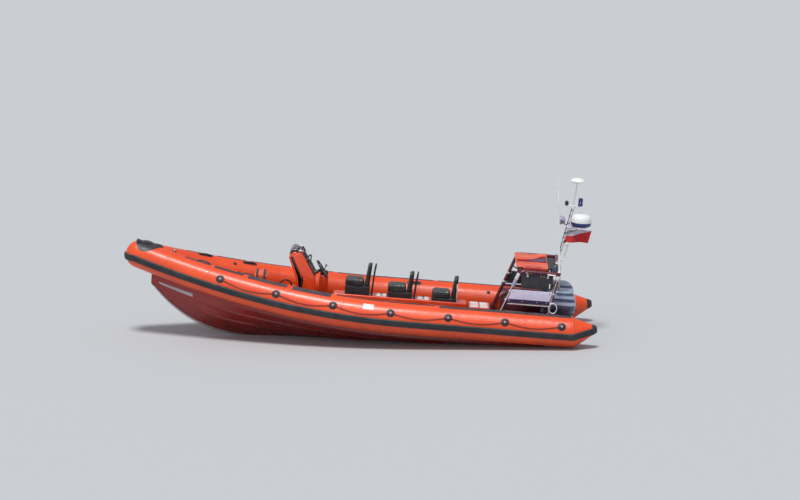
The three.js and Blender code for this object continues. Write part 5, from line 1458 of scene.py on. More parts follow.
# A sewn channel: points sink along their normals by depth exp(-(distance to the line / width)^2)
def sewn(points, faces, distance, depth, width):
    return points - pointNormals(points, faces) * (depth * np.exp(-(distance / width) ** 2))[:, None]


# A cord laid on a pad: each point of a closed path goes to the nearest point of the pad, then each is
# the mean of its neighbours, so that the line runs smoothly
def pipedEdge(points, path, radius):
    nearest = np.concatenate([points[((points[None] - part[:, None]) ** 2).sum(-1).argmin(1)]
                              for part in np.array_split(path, 12)])
    line = np.mean([np.roll(nearest, shift, 0) for shift in range(-7, 8)], axis=0)
    return tubePart(line, radius, 10, closed=True)


# A closed path round a rectangle in X and Y at one height, its corners cut round
def rimPath(x0, y0, x1, y1, z, radius):
    count = 160
    corners = roundRectangle(x0, y0, x1, y1, radius, 8)
    ring = np.concatenate([corners, corners[:1]])
    run = np.concatenate([[0], np.cumsum(np.linalg.norm(np.diff(ring, axis=0), axis=1))])
    at = np.linspace(0, run[-1], count, endpoint=False)
    return np.stack([np.interp(at, run, ring[:, 0]), np.interp(at, run, ring[:, 1]), np.full(count, z)], -1)


# Centre pod: one moulding under three seats in line, with hatches, kick strips and pads on its top
pod = {
    "x": (1.4, 3.8), "half": 0.17, "top": 0.4, "edge": 0.024,
    "hatches": [(1.72, 2.08), (2.5, 2.86), (3.24, 3.6)], "hatchZ": (0.175, 0.335), "hatchStand": 0.009,
    "sealZ": (0.167, 0.343), "seal": 0.008, "catchIn": 0.03, "catchZ": 0.255, "kickZ": (0.124, 0.15),
    "topPads": [(2.09, 2.29), (2.85, 3.02)], "padHalf": 0.125, "ringY": 0.07, "ringRadius": 0.02,
}
seats = {
    "rows": [("helm", 3.15, 0.69, 0.96), ("middle", 2.39, 0.64, 0.87), ("aft", 1.6, 0.59, 0.845)],
    "thick": 0.13, "rake": 0.12, "boxHalf": 0.15, "boxLength": 0.44, "inset": 0.008, "swell": 0.009,
    "backSwell": 0.008, "channel": 0.0045, "channelWidth": 0.007, "piping": 0.0042, "shell": 0.007,
    "cushionX": (0.112, 0.441), "cushionHalf": 0.166, "channelsAt": (0.205, 0.31), "rim": (0.1, 0.455, 0.18),
    "seam": (0.11, 0.45, 0.175), "backHalf": 0.156, "shellHalf": 0.158, "clipY": (-0.1, 0.1),
    "clipHalf": 0.022,
}


# A box with a long radius on its upper ends, carried across
def podPart():
    p = pod
    outline = roundRectangle(p["x"][0], floorZ, p["x"][1], p["top"], [0.004, 0.004, 0.05, 0.05], 8)
    return slabPart(outline, -p["half"], p["half"], p["edge"], "xz", 6)


# The black box under one cushion, from inside the pod's top to the cushion's underside
def seatBoxPart(x, top):
    p, s = pod, seats
    outline = roundRectangle(x, p["top"] - 0.02, x + s["boxLength"], top - s["thick"],
                             [0.01, 0.01, 0.018, 0.018], 5)
    return slabPart(outline, -s["boxHalf"], s["boxHalf"], 0.012, "xz", 4)


makePiece("pod_moulding", [podPart()], "orangeGelcoat", replaces=["centre_pod"])
seatBoxes = [seatBoxPart(x, top) for name, x, top, back in seats["rows"]]
makePiece("seat_boxes", seatBoxes, "mouldedBlack", replaces=["centre_pod"])
hatchParts, hatchSeals, hatchCatches, kickStrips = [], [], [], []
(coverLow, coverHigh), (sealLow, sealHigh), (kickLow, kickHigh) = pod["hatchZ"], pod["sealZ"], pod["kickZ"]
side = pod["half"]
catch = capped([(0.012, 0.0), (0.012, 0.003), (0.008, 0.006)])
for x0, x1 in pod["hatches"]:
    cover = roundRectangle(x0, coverLow, x1, coverHigh, 0.03, 6)
    seal = roundRectangle(x0 - pod["seal"], sealLow, x1 + pod["seal"], sealHigh, 0.036, 6)
    hatchParts.append(slabPart(cover, side - 0.004, side + pod["hatchStand"], 0.004, "xz"))
    hatchSeals.append(slabPart(seal, side - 0.004, side + 0.004, 0.002, "xz"))
    for x in (x0 + pod["catchIn"], x1 - pod["catchIn"]):
        hatchCatches.append(turnedPart(catch, (x, side + pod["hatchStand"], pod["catchZ"]), (0, 1, 0), 24))
kickStrips.append(roundBoxPart((pod["x"][0] + 0.03, side - 0.003, kickLow),
                               (pod["x"][1] - 0.03, side + 0.005, kickHigh), 0.003))
makePiece("pod_hatches", bothSides(hatchParts), "orangeGelcoat")
makePiece("pod_seals", bothSides(hatchSeals + kickStrips), "rubber")
makePiece("pod_catches", bothSides(hatchCatches), "steel")
topPads = [roundBoxPart((x0, -pod["padHalf"], pod["top"] - 0.002), (x1, pod["padHalf"], pod["top"] + 0.007),
                        0.005)
           for x0, x1 in pod["topPads"]]
makePiece("pod_top_pads", topPads, "paleVinyl")
ringPulls = []
turnPath = fullTurn(40)
for x0, x1 in pod["topPads"]:
    for y in (-pod["ringY"], pod["ringY"]):
        centre = np.array([(x0 + x1) / 2, y, pod["top"] + 0.011])
        loop = centre + pod["ringRadius"] * np.stack([np.cos(turnPath), np.sin(turnPath), 0 * turnPath], -1)
        ringPulls += [tubePart(loop, 0.0035, 10, closed=True),
                      roundBoxPart(centre - (0.03, 0.012, 0.006), centre - (0.016, -0.012, -0.004), 0.002)]
makePiece("pod_ring_pulls", ringPulls, "tubeBlack")


# A cushion: a slab with a soft front edge, swelled, kept flat underneath, with two sewn channels across
def cushionParts(x, top):
    s = seats
    base = top - s["thick"]
    low, high = base + 0.0012, top - s["inset"]
    (aft, fore), half = s["cushionX"], s["cushionHalf"]
    outline = roundRectangle(x + aft, low, x + fore, high, [0.012, 0.02, 0.062, 0.03], 10)
    points, faces = stuffed(slabPart(outline, -half, half, 0.03, "xz", 6), s["swell"])
    points[:, 2] = np.maximum(points[:, 2], base + 0.0006)
    for at in s["channelsAt"]:
        above = points[:, 2] > base + 0.04
        points = sewn(points, faces, np.where(above, points[:, 0] - (x + at), 1.0), s["channel"],
                      s["channelWidth"])
    cords = []
    for (x0, x1, y), z, corner in ((s["rim"], base + 0.018, 0.04), (s["seam"], top - 0.034, 0.05)):
        cords.append(pipedEdge(points, rimPath(x + x0, -y, x + x1, y, z, corner), s["piping"]))
    return (points, [faces]), cords


# A backrest: an upright slab sheared aft by its rake, swelled, with two channels across and a shell
# behind
def backrestParts(x, top, back):
    s = seats
    base = top - s["thick"]
    rake = (back - base) * s["rake"]
    corners = [(x + 0.027, base + 0.006), (x + 0.091, base + 0.006), (x + 0.091 - rake, back - 0.009),
               (x + 0.043 - rake, back - 0.009)]
    outline = roundOutline(corners, [0.018, 0.025, 0.03, 0.022], 8)
    points, faces = stuffed(slabPart(outline, -s["backHalf"], s["backHalf"], 0.026, "xz", 6), s["backSwell"])
    for at in (top + 0.035, back - 0.075):
        ahead = points[:, 0] > x + 0.06 - rake
        points = sewn(points, faces, np.where(ahead, points[:, 2] - at, 1.0), s["channel"], s["channelWidth"])
    plate = roundRectangle(-s["shellHalf"], base + 0.002, s["shellHalf"], back - 0.004,
                           [0.02, 0.02, 0.045, 0.045], 8)
    shellPoints, shellFaces = slabPart(plate, x + 0.0145, x + 0.0145 + s["shell"] * 2, 0.004, "yz")
    lean = (shellPoints[:, 2] - base) * (s["rake"] - 0.015 / (back - base))
    shell = (shellPoints - lean[:, None] * (1, 0, 0), shellFaces)
    ringPoints = rimPath(base + 0.01, -0.17, back, 0.17, 0.0, 0.05)
    edge = np.stack([x + 0.082 - (ringPoints[:, 0] - base) * s["rake"], ringPoints[:, 1], ringPoints[:, 0]],
                    -1)
    return (points, [faces]), shell, [pipedEdge(points, edge, s["piping"])]


shells, pipings, clips = [], [], []
for name, x, top, back in seats["rows"]:
    cushion, cushionPiping = cushionParts(x, top)
    backrest, shell, backPiping = backrestParts(x, top, back)
    piece = makePiece(name + "_cushion", [cushion], "vinyl", replaces=[name + "_seat_cushion"], sharp=60)
    piece = makePiece(name + "_back_pad", [backrest], "vinyl", replaces=[name + "_backrest"], sharp=60)
    shells.append(shell)
    pipings += cushionPiping + backPiping
    base = top - seats["thick"]
    for y in seats["clipY"]:
        low, high = (x, y - seats["clipHalf"], base - 0.05), (x + 0.013, y + seats["clipHalf"], base + 0.075)
        clips.append(roundBoxPart(low, high, 0.004))
makePiece("seat_shells", shells, "mouldedBlack")
makePiece("seat_piping", pipings, "rubber")
makePiece("seat_clips", clips, "steel")
print("pod and seats made")

# Grab rails behind the two forward seats: their solids' route, smoothed, with a foam grip and flanges
rails = {"radius": 0.013, "grip": 0.0125, "half": 0.11, "footX": 0.04, "gripX": 0.0855, "gripHalf": 0.06,
         "headDrop": 0.0135, "flange": capped([(0.03, 0.0), (0.03, 0.004), (0.02, 0.008)])}
for name, x, top, back in seats["rows"][:2]:
    y, foot, head = rails["half"], x - rails["footX"], back - rails["headDrop"]
    half = [(foot, y, pod["top"] + 0.001), (x - 0.055, y, (back + pod["top"]) / 2 - 0.04),
            (x - 0.07, y, back - 0.12),
            (x - 0.082, 0.096, back - 0.04), (x - 0.085, 0.055, head)]
    route = smoothLine(half + [(px, -py, pz) for px, py, pz in half[::-1]], 10)
    parts = [tubePart(route, rails["radius"], 20)]
    parts += [turnedPart(rails["flange"], (foot, side, pod["top"]), (0, 0, 1), 32) for side in (-y, y)]
    makePiece(name + "_rail", parts, "tubeBlack", replaces=[name + "_grab_rail"])
    gripX, reach = x - rails["gripX"], rails["gripHalf"]
    grip = barPart((gripX, -reach, head), (gripX, reach, head), rails["grip"], edge=0.3)
    makePiece(name + "_rail_grip", [grip], "rubber")

# White clip and lanyard tube on the aft backrest's port edge
clipX, clipY, clipFoot, clipLow, clipHigh = 1.598, 0.172, 0.47, 0.64, 0.73
clip = [roundBoxPart((clipX - 0.013, clipY - 0.008, clipLow), (clipX + 0.013, clipY + 0.012, clipHigh),
                     0.006),
        barPart((clipX, clipY + 0.002, clipFoot), (clipX, clipY + 0.002, clipLow), 0.005)]
makePiece("aft_seat_clip", clip, "whiteMoulding")

# Stowage box: a walled tub with a rubber lip, and a lid on hinges along its aft edge
stowage = {
    "x": (1.0, 1.37), "half": 0.26, "rim": 0.32, "wall": 0.015, "corner": 0.022, "chamfer": 0.003,
    "lid": (0.994, 1.376, 0.266, 0.3203, 0.3603), "padX": [(1.03, 1.17), (1.2, 1.34)],
    "padY": [(-0.235, -0.015), (0.015, 0.235)], "latchY": (-0.15, 0.15), "hingeY": (-0.16, 0.16),
    "hingeHalf": 0.035, "hingeRadius": 0.006,
}
tubOutline = roundRectangle(stowage["x"][0], -stowage["half"], stowage["x"][1], stowage["half"],
                            stowage["corner"], 8)


# Rings of one outline at an inset and a height: up the outside, over the rim and down inside to the floor
def tubPart():
    s = stowage
    edge, rim, wall = s["chamfer"], s["rim"], s["wall"]
    rings = [(edge, floorZ), (0.0, floorZ + edge), (0.0, rim - edge), (edge, rim), (wall - 0.002, rim),
             (wall, rim - edge), (wall, floorZ + wall)]
    grid = [np.column_stack([insetOutline(tubOutline, inset), np.full(len(tubOutline), z)])
            for inset, z in rings]
    return ringPart(np.stack(grid))


makePiece("stowage_tub", [tubPart()], "orangeGelcoat", replaces=["stowage_box"])
x0, x1, lidHalf, lidLow, lidHigh = stowage["lid"]
lidOutline = roundRectangle(x0, -lidHalf, x1, lidHalf, stowage["corner"] + 0.006, 8)
makePiece("stowage_cover", [slabPart(lidOutline, lidLow, lidHigh, 0.01, "xy", 5)], "orangeGelcoat",
          body="box_lid", replaces=["stowage_lid"])
lidPads = [roundBoxPart((a, y0, lidHigh - 0.002), (b, y1, lidHigh + 0.004), 0.003)
           for a, b in stowage["padX"] for y0, y1 in stowage["padY"]]
makePiece("lid_grip_pads", lidPads, "paleVinyl", body="box_lid")
catches = [roundBoxPart((x1 - 0.002, y - 0.018, lidLow + 0.008), (x1 + 0.009, y + 0.018, lidHigh - 0.008),
                        0.003) for y in stowage["latchY"]]
makePiece("lid_catches", catches, "tubeBlack", body="box_lid")
foreX = stowage["x"][1]
latches = [roundBoxPart((foreX - 0.002, y - 0.015, lidLow - 0.055),
                        (foreX + 0.008, y + 0.015, lidLow - 0.007), 0.003)
           for y in stowage["latchY"]]
makePiece("tub_latches", latches, "tubeBlack")
reach = stowage["hingeHalf"]
hinges = [barPart((x0, y - reach, lidLow), (x0, y + reach, lidLow), stowage["hingeRadius"], edge=0.3)
          for y in stowage["hingeY"]]
makePiece("lid_hinges", hinges, "steel", body="box_lid")
lip = insetOutline(tubOutline, 0.008)
makePiece("tub_gasket", [tubePart(np.column_stack([lip, np.full(len(lip), lidLow - 0.0008)]), 0.0035, 8,
                                  closed=True)], "rubber")

# Gear bag strapped in the fore well: a soft stuffed bag with two webbing straps and buckles
gearBag = {"x": (4.985, 5.215), "half": 0.24, "top": 0.69, "inset": 0.012, "straps": [5.035, 5.165],
           "width": 0.038,
           "swell": 0.011, "voxel": 0.01, "slump": 0.014, "wrinkle": 0.0035, "strapSink": 0.006,
           "buckleHalf": 0.024, "buckleY": (0.222, 0.247), "buckleZ": (0.46, 0.52)}


# A stuffed slab: its top slumps by height cos(pi y / half)^2, crossed sines wrinkle it, and each strap
# sinks in
def gearBagParts():
    g = gearBag
    i = g["inset"]
    outline = roundRectangle(g["x"][0] + i, floorZ + 0.002, g["x"][1] - i, g["top"] - i,
                             [0.03, 0.03, 0.075, 0.075], 10)
    body = slabPart(outline, -g["half"] + i, g["half"] - i, 0.05, "xz", 8)
    points, faces = stuffed(body, g["swell"], g["voxel"])
    height = (points[:, 2] - floorZ) / (g["top"] - floorZ)
    slump = g["slump"] * height * np.cos(np.pi * points[:, 1] / g["half"]) ** 2
    points[:, 2] = np.maximum(points[:, 2] - slump, floorZ)
    waves = np.sin(38 * points[:, 2] + 9 * np.sin(14 * points[:, 1]))
    wrinkle = g["wrinkle"] * waves * np.sin(np.pi * np.clip(height, 0, 1))
    points = points + pointNormals(points, faces) * (wrinkle - 0.002)[:, None]
    for x in g["straps"]:
        points = sewn(points, faces, points[:, 0] - x, g["strapSink"], g["width"] * 0.6)
    return points, faces


# A flat strap round a section: the convex outline of the points near its plane, out by its thickness
def strapRound(points, at, width, stand):
    near = points[np.abs(points[:, 0] - at) < width]
    angle = np.arctan2(near[:, 2] - near[:, 2].mean(), near[:, 1])
    ring = np.linspace(-np.pi, np.pi, 73)[:-1]
    centre = np.array([0.0, near[:, 2].mean()])
    reach = np.linalg.norm(near[:, 1:] - centre, axis=1)
    gap = np.abs((angle[None] - ring[:, None] + np.pi) % (2 * np.pi) - np.pi)
    radius = np.where(gap < 0.09, reach[None], 0).max(1) + stand
    radius = np.maximum(radius, (np.roll(radius, 1) + np.roll(radius, -1)) / 2)
    line = centre + radius[:, None] * np.stack([np.cos(ring), np.sin(ring)], -1)
    line[:, 1] = np.maximum(line[:, 1], floorZ + 0.0005)
    inner = line - (line - centre) * 0.012
    across = np.array([-0.5, -0.5, 0.5, 0.5])[None] * width
    yz = np.stack([inner, line, line, inner], 1)
    grid = np.stack([at + across + 0 * yz[..., 0], yz[..., 0], yz[..., 1]], -1)
    return ringPart(grid, wrapRows=True)


bagPoints, bagFaces = gearBagParts()
gearPiece = makePiece("gear_bag_soft", [(bagPoints, [bagFaces])], "bagCloth",
                      replaces=["gear_bag"], sharp=60)
bagStraps = [strapRound(bagPoints, x, gearBag["width"], 0.001) for x in gearBag["straps"]]
makePiece("gear_bag_straps", bagStraps, "webbing")
half, (y0, y1), (z0, z1) = gearBag["buckleHalf"], gearBag["buckleY"], gearBag["buckleZ"]
buckles = [roundBoxPart((x - half, y0, z0), (x + half, y1, z1), 0.006) for x in gearBag["straps"]]
makePiece("gear_bag_buckles", buckles, "mouldedBlack")
print("stowage and gear bag made")

# Gantry: bent legs on each side of the engine well, joined by a top frame
gantry = {
    "y": 0.815, "tube": 0.03, "top": 1.185, "frontFoot": (0.94, floorZ), "frontTop": 0.54,
    "rearFoot": (0.028, transomZ), "rearTop": -0.15, "midBar": 0.6, "midRadius": 0.021, "bend": 0.075,
    "plates": [(0.94, floorZ, 0.08), (0.03, transomZ, 0.029)], "plateThick": 0.012,     # x, z and half length
    "footBolts": [(x, y, 0.1323) for x in (0.885, 0.995) for y in (0.795, 0.834)],
    "bearerY": 0.3, "step": (-0.2, -0.062, -0.108, 0.062), "seatZ": 1.2155,
    "tray": (-0.092, -0.5, 0.515, 0.5), "trayZ": (1.2085, 1.215), "trayRails": (0.06, 0.21, 0.36),
}


# An open line with each inner corner swapped for a parabola from the leg before to the leg after
def bentRoute(points, radius):
    points = np.asarray(points, float)
    back, ahead = unit(points[:-2] - points[1:-1]), unit(points[2:] - points[1:-1])
    start, end = points[1:-1] + back * radius, points[1:-1] + ahead * radius
    t = np.linspace(0, 1, 10)[None, :, None]
    curves = (1 - t) ** 2 * start[:, None] + 2 * t * (1 - t) * points[1:-1, None] + t ** 2 * end[:, None]
    return np.concatenate([points[:1], curves.reshape(-1, 3), points[-1:]])


# Where the front or rear leg's centreline is at a height
def legX(z, rear):
    g = gantry
    foot, topX = (g["rearFoot"], g["rearTop"]) if rear else (g["frontFoot"], g["frontTop"])
    return foot[0] + (topX - foot[0]) * (z - foot[1]) / (g["top"] - foot[1])


# A point on that centreline at a height, moved outboard and forward
def legPoint(z, rear=False, out=0.0, fore=0.0):
    return np.array([legX(z, rear) + fore, gantry["y"] + out, z])


# A raised weld round a bar where it meets another
def weldPart(at, axis, radius, bead=0.0045):
    turn = fullTurn(40)[:, None]
    first = unit(np.cross(axis, (0.3, 0.2, 0.93)))
    second = np.cross(unit(np.asarray(axis, float)), first)
    wobble = radius * (1 + 0.02 * np.sin(9 * turn))
    return tubePart(np.asarray(at) + wobble * (np.cos(turn) * first + np.sin(turn) * second), bead, 10,
                    closed=True)


# A hexagon head with a washer under it
def boltPart(at, axis, radius):
    profile = [(0.0005, 0.0), (radius * 1.5, 0.0), (radius * 1.5, 0.002), (radius * 0.6, 0.002)]
    washer = turnedPart(profile, at, axis, 28)
    head = turnedPart([(0.0005, 0.0), (radius, 0.0), (radius, 0.006), (radius * 0.8, 0.0078),
                       (0.0005, 0.0078)],
                      np.asarray(at, float) + np.asarray(axis, float) * 0.0015, axis, 6)
    return [washer, head]


# A band clamped round a leg between two heights
def sleevePart(low, high, grow, rear=False):
    share = np.array([0.0, 0.004, 0.02, 0.98, 0.996, 1.0])[:, None]
    start, end = legPoint(low, rear), legPoint(high, rear)
    radius = gantry["tube"] + grow * np.array([0.05, 0.7, 1, 1, 0.7, 0.05])
    return tubePart(start + (end - start) * share, radius, 32)


# One bent tube from foot to foot with a bar across it, welds, and a plate with gussets under each foot
def legFrameParts():
    g = gantry
    y, r = g["y"], g["tube"]
    rearTop = (g["rearTop"], y, g["top"])
    route = bentRoute([legPoint(g["frontFoot"][1] + 0.004), (g["frontTop"], y, g["top"]), rearTop,
                       legPoint(g["rearFoot"][1] + 0.004, True)], g["bend"])
    bar = (legPoint(g["midBar"]), legPoint(g["midBar"], True))
    parts = [tubePart(route, r, 32, guide=(0, 1, 0)), barPart(*bar, g["midRadius"], sides=24, edge=0.0)]
    for end, other in (bar, bar[::-1]):
        toBar = unit((other - end)[None])[0]
        parts.append(weldPart(end + toBar * (r + 0.001), toBar, g["midRadius"] + 0.001))
    for x, z, length in g["plates"]:
        outline = roundRectangle(x - length, y - 0.034, x + length, y + 0.03, 0.012, 5)
        parts.append(slabPart(outline, z, z + g["plateThick"], 0.002, "xy"))
        leg = legPoint(z + 0.014, x < 0.5)
        parts.append(weldPart(leg, (0, 0, 1), r + 0.002))
        for side in (-1, 1) if length > 0.05 else ():
            low = z + g["plateThick"]
            gusset = [(leg[0] + side * 0.026, low), (x + side * (length - 0.012), low),
                      (leg[0] + side * 0.024, z + 0.075)]
            parts.append(slabPart(roundOutline(gusset, 0.004, 3), y - 0.004, y + 0.004, 0.001, "xz"))
    parts.append(roundBoxPart((g["rearTop"] - 0.029, y - 0.029, g["top"] + 0.01),
                              (g["rearTop"] + 0.029, y + 0.029, g["top"] + r), 0.004))
    return parts


makePair("leg_frame", legFrameParts(), "maroonPaint", "gantry_leg_frame")
footBolts = [part for at in gantry["footBolts"] for part in boltPart(at, (0, 0, 1), 0.0065)]
makePiece("leg_foot_bolts", bothSides(footBolts), "steel")

# The loop a crew member holds, on the port rear leg
grabLoop = {"at": (-0.09, 0.85, 0.57), "radii": (0.07, 0.0, 0.09), "wire": 0.0095}
loopTurn = fullTurn(72)[:, None]
loopPath = np.array(grabLoop["at"]) + np.concatenate([np.cos(loopTurn), loopTurn, np.sin(loopTurn)],
                                                     1) * grabLoop["radii"]
makePiece("grab_loop", [tubePart(loopPath, grabLoop["wire"], 16, closed=True, guide=(0, 1, 0))], "whitePaint")

# Sleeves and ties on the legs, and pale cords along them that are painted highlights
sleeves = {"white": [(1.035, 1.15, 0.0035, False), (1.06, 1.15, 0.0035, True)],
           "grey": (0.9, 1.03, 0.0028, False),
           "boxZ": (1.055, 1.098), "boxY": (0.843, 0.868), "boxX": (0.03, 0.02)}
makePiece("white_sleeves", [sleevePart(*row) for row in sleeves["white"]], "whitePaint")
boxAt, (z0, z1), (y0, y1) = legX(1.08, True), sleeves["boxZ"], sleeves["boxY"]
legBox = roundBoxPart((boxAt - sleeves["boxX"][0], y0, z0), (boxAt + sleeves["boxX"][1], y1, z1), 0.006)
makePiece("grey_sleeves", [sleevePart(*sleeves["grey"]), legBox], "greyMoulding")
# The pale cords on the front and rear legs are painted highlights: lines of light along each leg, made as
# cords
frontLegHighlight = [legPoint(z, out=0.037, fore=0.012) for z in np.linspace(0.17, 0.92, 12)]
rearLegHighlight = [legPoint(z, True, out=0.034, fore=0.008 + 0.006 * math.sin(9 * z))
              for z in np.linspace(0.26, 1.1, 24)]
makePiece("leg_highlight_cords", [tubePart(frontLegHighlight, 0.0085, 16), tubePart(rearLegHighlight, 0.005, 12)], "paleVinyl")
tieHeights = {False: (0.25, 0.42, 0.585, 0.75), True: (0.35, 0.52, 0.76, 0.94)}      # front and rear leg
cableTies = [weldPart(legPoint(z, rear, out=0.004), legPoint(z + 0.01, rear) - legPoint(z, rear),
                      gantry["tube"] + 0.0085, 0.0022)
             for rear, heights in tieHeights.items() for z in heights]
makePiece("cable_ties", cableTies, "tubeBlack")


# Top frame: two crossbars, two bearers, the tray that the bag lies on and the mast's step
def topFrameParts():
    g = gantry
    reach, r = g["y"] - g["tube"] - 0.0003, g["tube"]
    parts, welds = [], []
    for x in (g["frontTop"], g["rearTop"]):
        parts.append(barPart((x, -reach, g["top"]), (x, reach, g["top"]), r, sides=32, edge=0.02))
        for side in (-1, 1):
            welds.append(weldPart((x, side * (reach - 0.004), g["top"]), (0, 1, 0), r + 0.001))
    for y in (-g["bearerY"], g["bearerY"]):
        parts.append(barPart((g["rearTop"], y, g["top"]), (g["frontTop"], y, g["top"]), r * 0.8, edge=0.0))
        for x, way in ((g["rearTop"], 1), (g["frontTop"], -1)):
            welds.append(weldPart((x + way * (r + 0.001), y, g["top"]), (1, 0, 0), r * 0.8 + 0.001))
    step = roundRectangle(*g["step"], 0.008, 4)
    parts.append(slabPart(step, g["top"] + 0.004, g["top"] + r, 0.002, "xy"))
    return parts + welds


makePiece("top_frame_tubes", topFrameParts(), "maroonPaint", replaces=["gantry_top_frame"])
x0, y0, x1, y1 = gantry["tray"]
trayParts = [slabPart(roundRectangle(x0, y0, x1, y1, 0.03, 6), *gantry["trayZ"], 0.002, "xy")]
for y in (y0 + 0.01, y1 - 0.01):
    trayParts.append(roundBoxPart((x0 + 0.02, y - 0.006, 1.186), (x1 - 0.02, y + 0.006, 1.212), 0.003))
for x in gantry["trayRails"]:
    trayParts.append(roundBoxPart((x - 0.015, y0 + 0.02, 1.2), (x + 0.015, y1 - 0.02, 1.21), 0.005))
makePiece("bag_tray", trayParts, "mouldedBlack")

# The thick white brace that comes down from the mast's step to the transom
brace = {
    "line": [(-0.2, 0.03, 1.17), (-0.206, 0.02, 1.0), (-0.205, 0.0, 0.72), (-0.19, 0.0, 0.42),
             (-0.1, 0.0, 0.3), (-0.03, 0.0, 0.262), (0.03, 0.0, 0.25)],
    "radius": 0.017,
    "blocks": [((0.004, -0.04, transomZ), (0.056, 0.04, 0.25)),
               ((-0.212, 0.005, 1.14), (-0.178, 0.055, 1.178))],
}
braceParts = [tubePart(smoothLine(brace["line"], 10), brace["radius"], 24)]
braceParts += [roundBoxPart(low, high, 0.006) for low, high in brace["blocks"]]
makePiece("mast_brace", braceParts, "whitePaint")

# Side boards, blank, each held off the legs by clips at its corners
boards = {"corners": [(-0.015, 0.63), (0.738, 0.63), (0.65, 0.86), (-0.06, 0.86)], "inner": 0.8453,
          "outer": 0.857, "clips": [(0.03, 0.664), (0.692, 0.664), (0.628, 0.826), (-0.016, 0.826)],
          "clipHalf": (0.012, 0.014), "clipY": (0.839, 0.8462),
          "bolts": [(x, z) for x in (0.2, 0.46) for z in (0.66, 0.835)],
          "rail": ((-0.03, 0.838, 0.589), (0.72, 0.8465, 0.612))}
boardOutline = roundOutline(boards["corners"], 0.012, 5)
makePair("blank_board", [slabPart(boardOutline, boards["inner"], boards["outer"], 0.002)], "boardFace",
         "side_board")
boardBack = slabPart(insetOutline(boardOutline, 0.004), boards["inner"] - 0.001, boards["inner"] + 0.001,
                     0.0004, "xz")
makePiece("board_backs", bothSides([boardBack]), "mouldedBlack")
boardBolts, boardClips = [], []
for x, z in boards["clips"]:
    boardBolts += boltPart((x, boards["outer"] - 0.0005, z), (0, 1, 0), 0.007)
    rear = x < 0.3
    leg = legPoint(z, rear)
    (long, tall), (y0, y1) = boards["clipHalf"], boards["clipY"]
    low, high = (min(leg[0], x) - long, y0, z - tall), (max(leg[0], x) + long, y1, z + tall)
    boardClips += [roundBoxPart(low, high, 0.002), sleevePart(z - tall, z + tall, 0.0022, rear)]
for x, z in boards["bolts"]:
    boardBolts += boltPart((x, boards["outer"] - 0.0005, z), (0, 1, 0), 0.006)
midRail = roundBoxPart(*boards["rail"], 0.003)
makePiece("board_bolts", bothSides(boardBolts), "steel")
makePiece("board_clips", bothSides(boardClips), "whitePaint")
makePiece("board_foot_rails", bothSides([midRail]), "paleVinyl")

# Equipment boxes hung under the top rails: ribbed shells with lids, latches and brass unions
gearCase = {
    "low": (-0.055, 0.75, 0.885), "high": (0.5, 0.835, 1.1547), "latchX": (0.04, 0.4),
    "hangerX": (0.02, 0.42), "hangerY": (0.778, 0.846),
    "unions": [(0.345, 1.165), (0.395, 1.158), (0.11, 1.118), (0.165, 1.12)],
    "union": [(0.0005, 0), (0.011, 0), (0.011, 0.006), (0.0085, 0.008), (0.0085, 0.02), (0.0005, 0.021)],
}
(bx0, by0, bz0), (bx1, by1, bz1) = gearCase["low"], gearCase["high"]
boxBody = slabPart(roundRectangle(bx0, bz0, bx1, bz1 - 0.034, 0.02, 6), by0 + 0.004, by1 - 0.006, 0.012,
                   "xz", 5)
boxLid = slabPart(roundRectangle(bx0 - 0.001, bz1 - 0.032, bx1 + 0.001, bz1, 0.01, 4), by0, by1 - 0.001,
                  0.008, "xz", 5)
boxRibs = [roundBoxPart((x - 0.006, by1 - 0.012, bz0 + 0.02), (x + 0.006, by1 - 0.001, bz1 - 0.036), 0.004)
           for x in np.linspace(bx0 + 0.05, bx1 - 0.05, 6)]
boxRibs.append(roundBoxPart((bx0 + 0.01, by1 - 0.012, bz0 + 0.1), (bx1 - 0.01, by1 - 0.003, bz0 + 0.112),
                            0.004))
makePair("gear_case", [boxBody, boxLid] + boxRibs, "mouldedBlack", "equipment_box")
caseLatches = [roundBoxPart((x - 0.017, by1 - 0.006, bz1 - 0.06), (x + 0.017, by1 + 0.007, bz1 - 0.012),
                            0.004)
               for x in gearCase["latchX"]]
y0, y1 = gearCase["hangerY"]
caseHangers = [roundBoxPart((x - 0.012, y0, bz1 - 0.003), (x + 0.012, y1, bz1 + 0.03), 0.004)
               for x in gearCase["hangerX"]]
makePiece("case_latches", bothSides(caseLatches + caseHangers), "steel")
unions = [turnedPart(gearCase["union"], (x, by1 - 0.002, z), (0, 1, 0), 6) for x, z in gearCase["unions"]]
makePiece("brass_unions", unions, "brass")
whiteTag = roundBoxPart((-0.012, by1 - 0.003, 0.915), (0.006, by1 + 0.0035, 1.0), 0.003)
lampBar = barPart((-0.094, 0.853, 1.163), (0.052, 0.853, 1.167), 0.0115, sides=20)
lampFeet = [roundBoxPart((x - 0.008, 0.834, 1.152), (x + 0.008, 0.853, 1.176), 0.003) for x in (-0.06, 0.02)]
makePiece("side_lamp_bar", [lampBar, whiteTag] + lampFeet, "whiteMoulding")

# The black bracket ahead of the bag, on the front crossbar
bracket = [roundBoxPart((0.562, 0.62, 1.15), (0.583, 0.7, 1.212), 0.006),
           roundBoxPart((0.566, 0.63, 1.2), (0.6, 0.69, 1.222), 0.006)]
bracketArm = smoothLine([(0.6, 0.66, 1.205), (0.66, 0.665, 1.25), (0.672, 0.665, 1.33),
                         (0.652, 0.66, 1.375)], 10)
makePiece("bag_bracket", bracket + [tubePart(bracketArm, 0.011, 16)], "tubeBlack")

# The dark bracket at the aerial's foot
bracketLine = roundOutline([(-0.15, gantry["seatZ"]), (-0.02, gantry["seatZ"]), (-0.03, 1.29), (-0.09, 1.33),
                            (-0.12, 1.34)], 0.02, 6)
makePiece("aerial_bracket", [slabPart(bracketLine, 0.807, 0.823, 0.004)], "legPaint")
print("gantry, boards and boxes made")

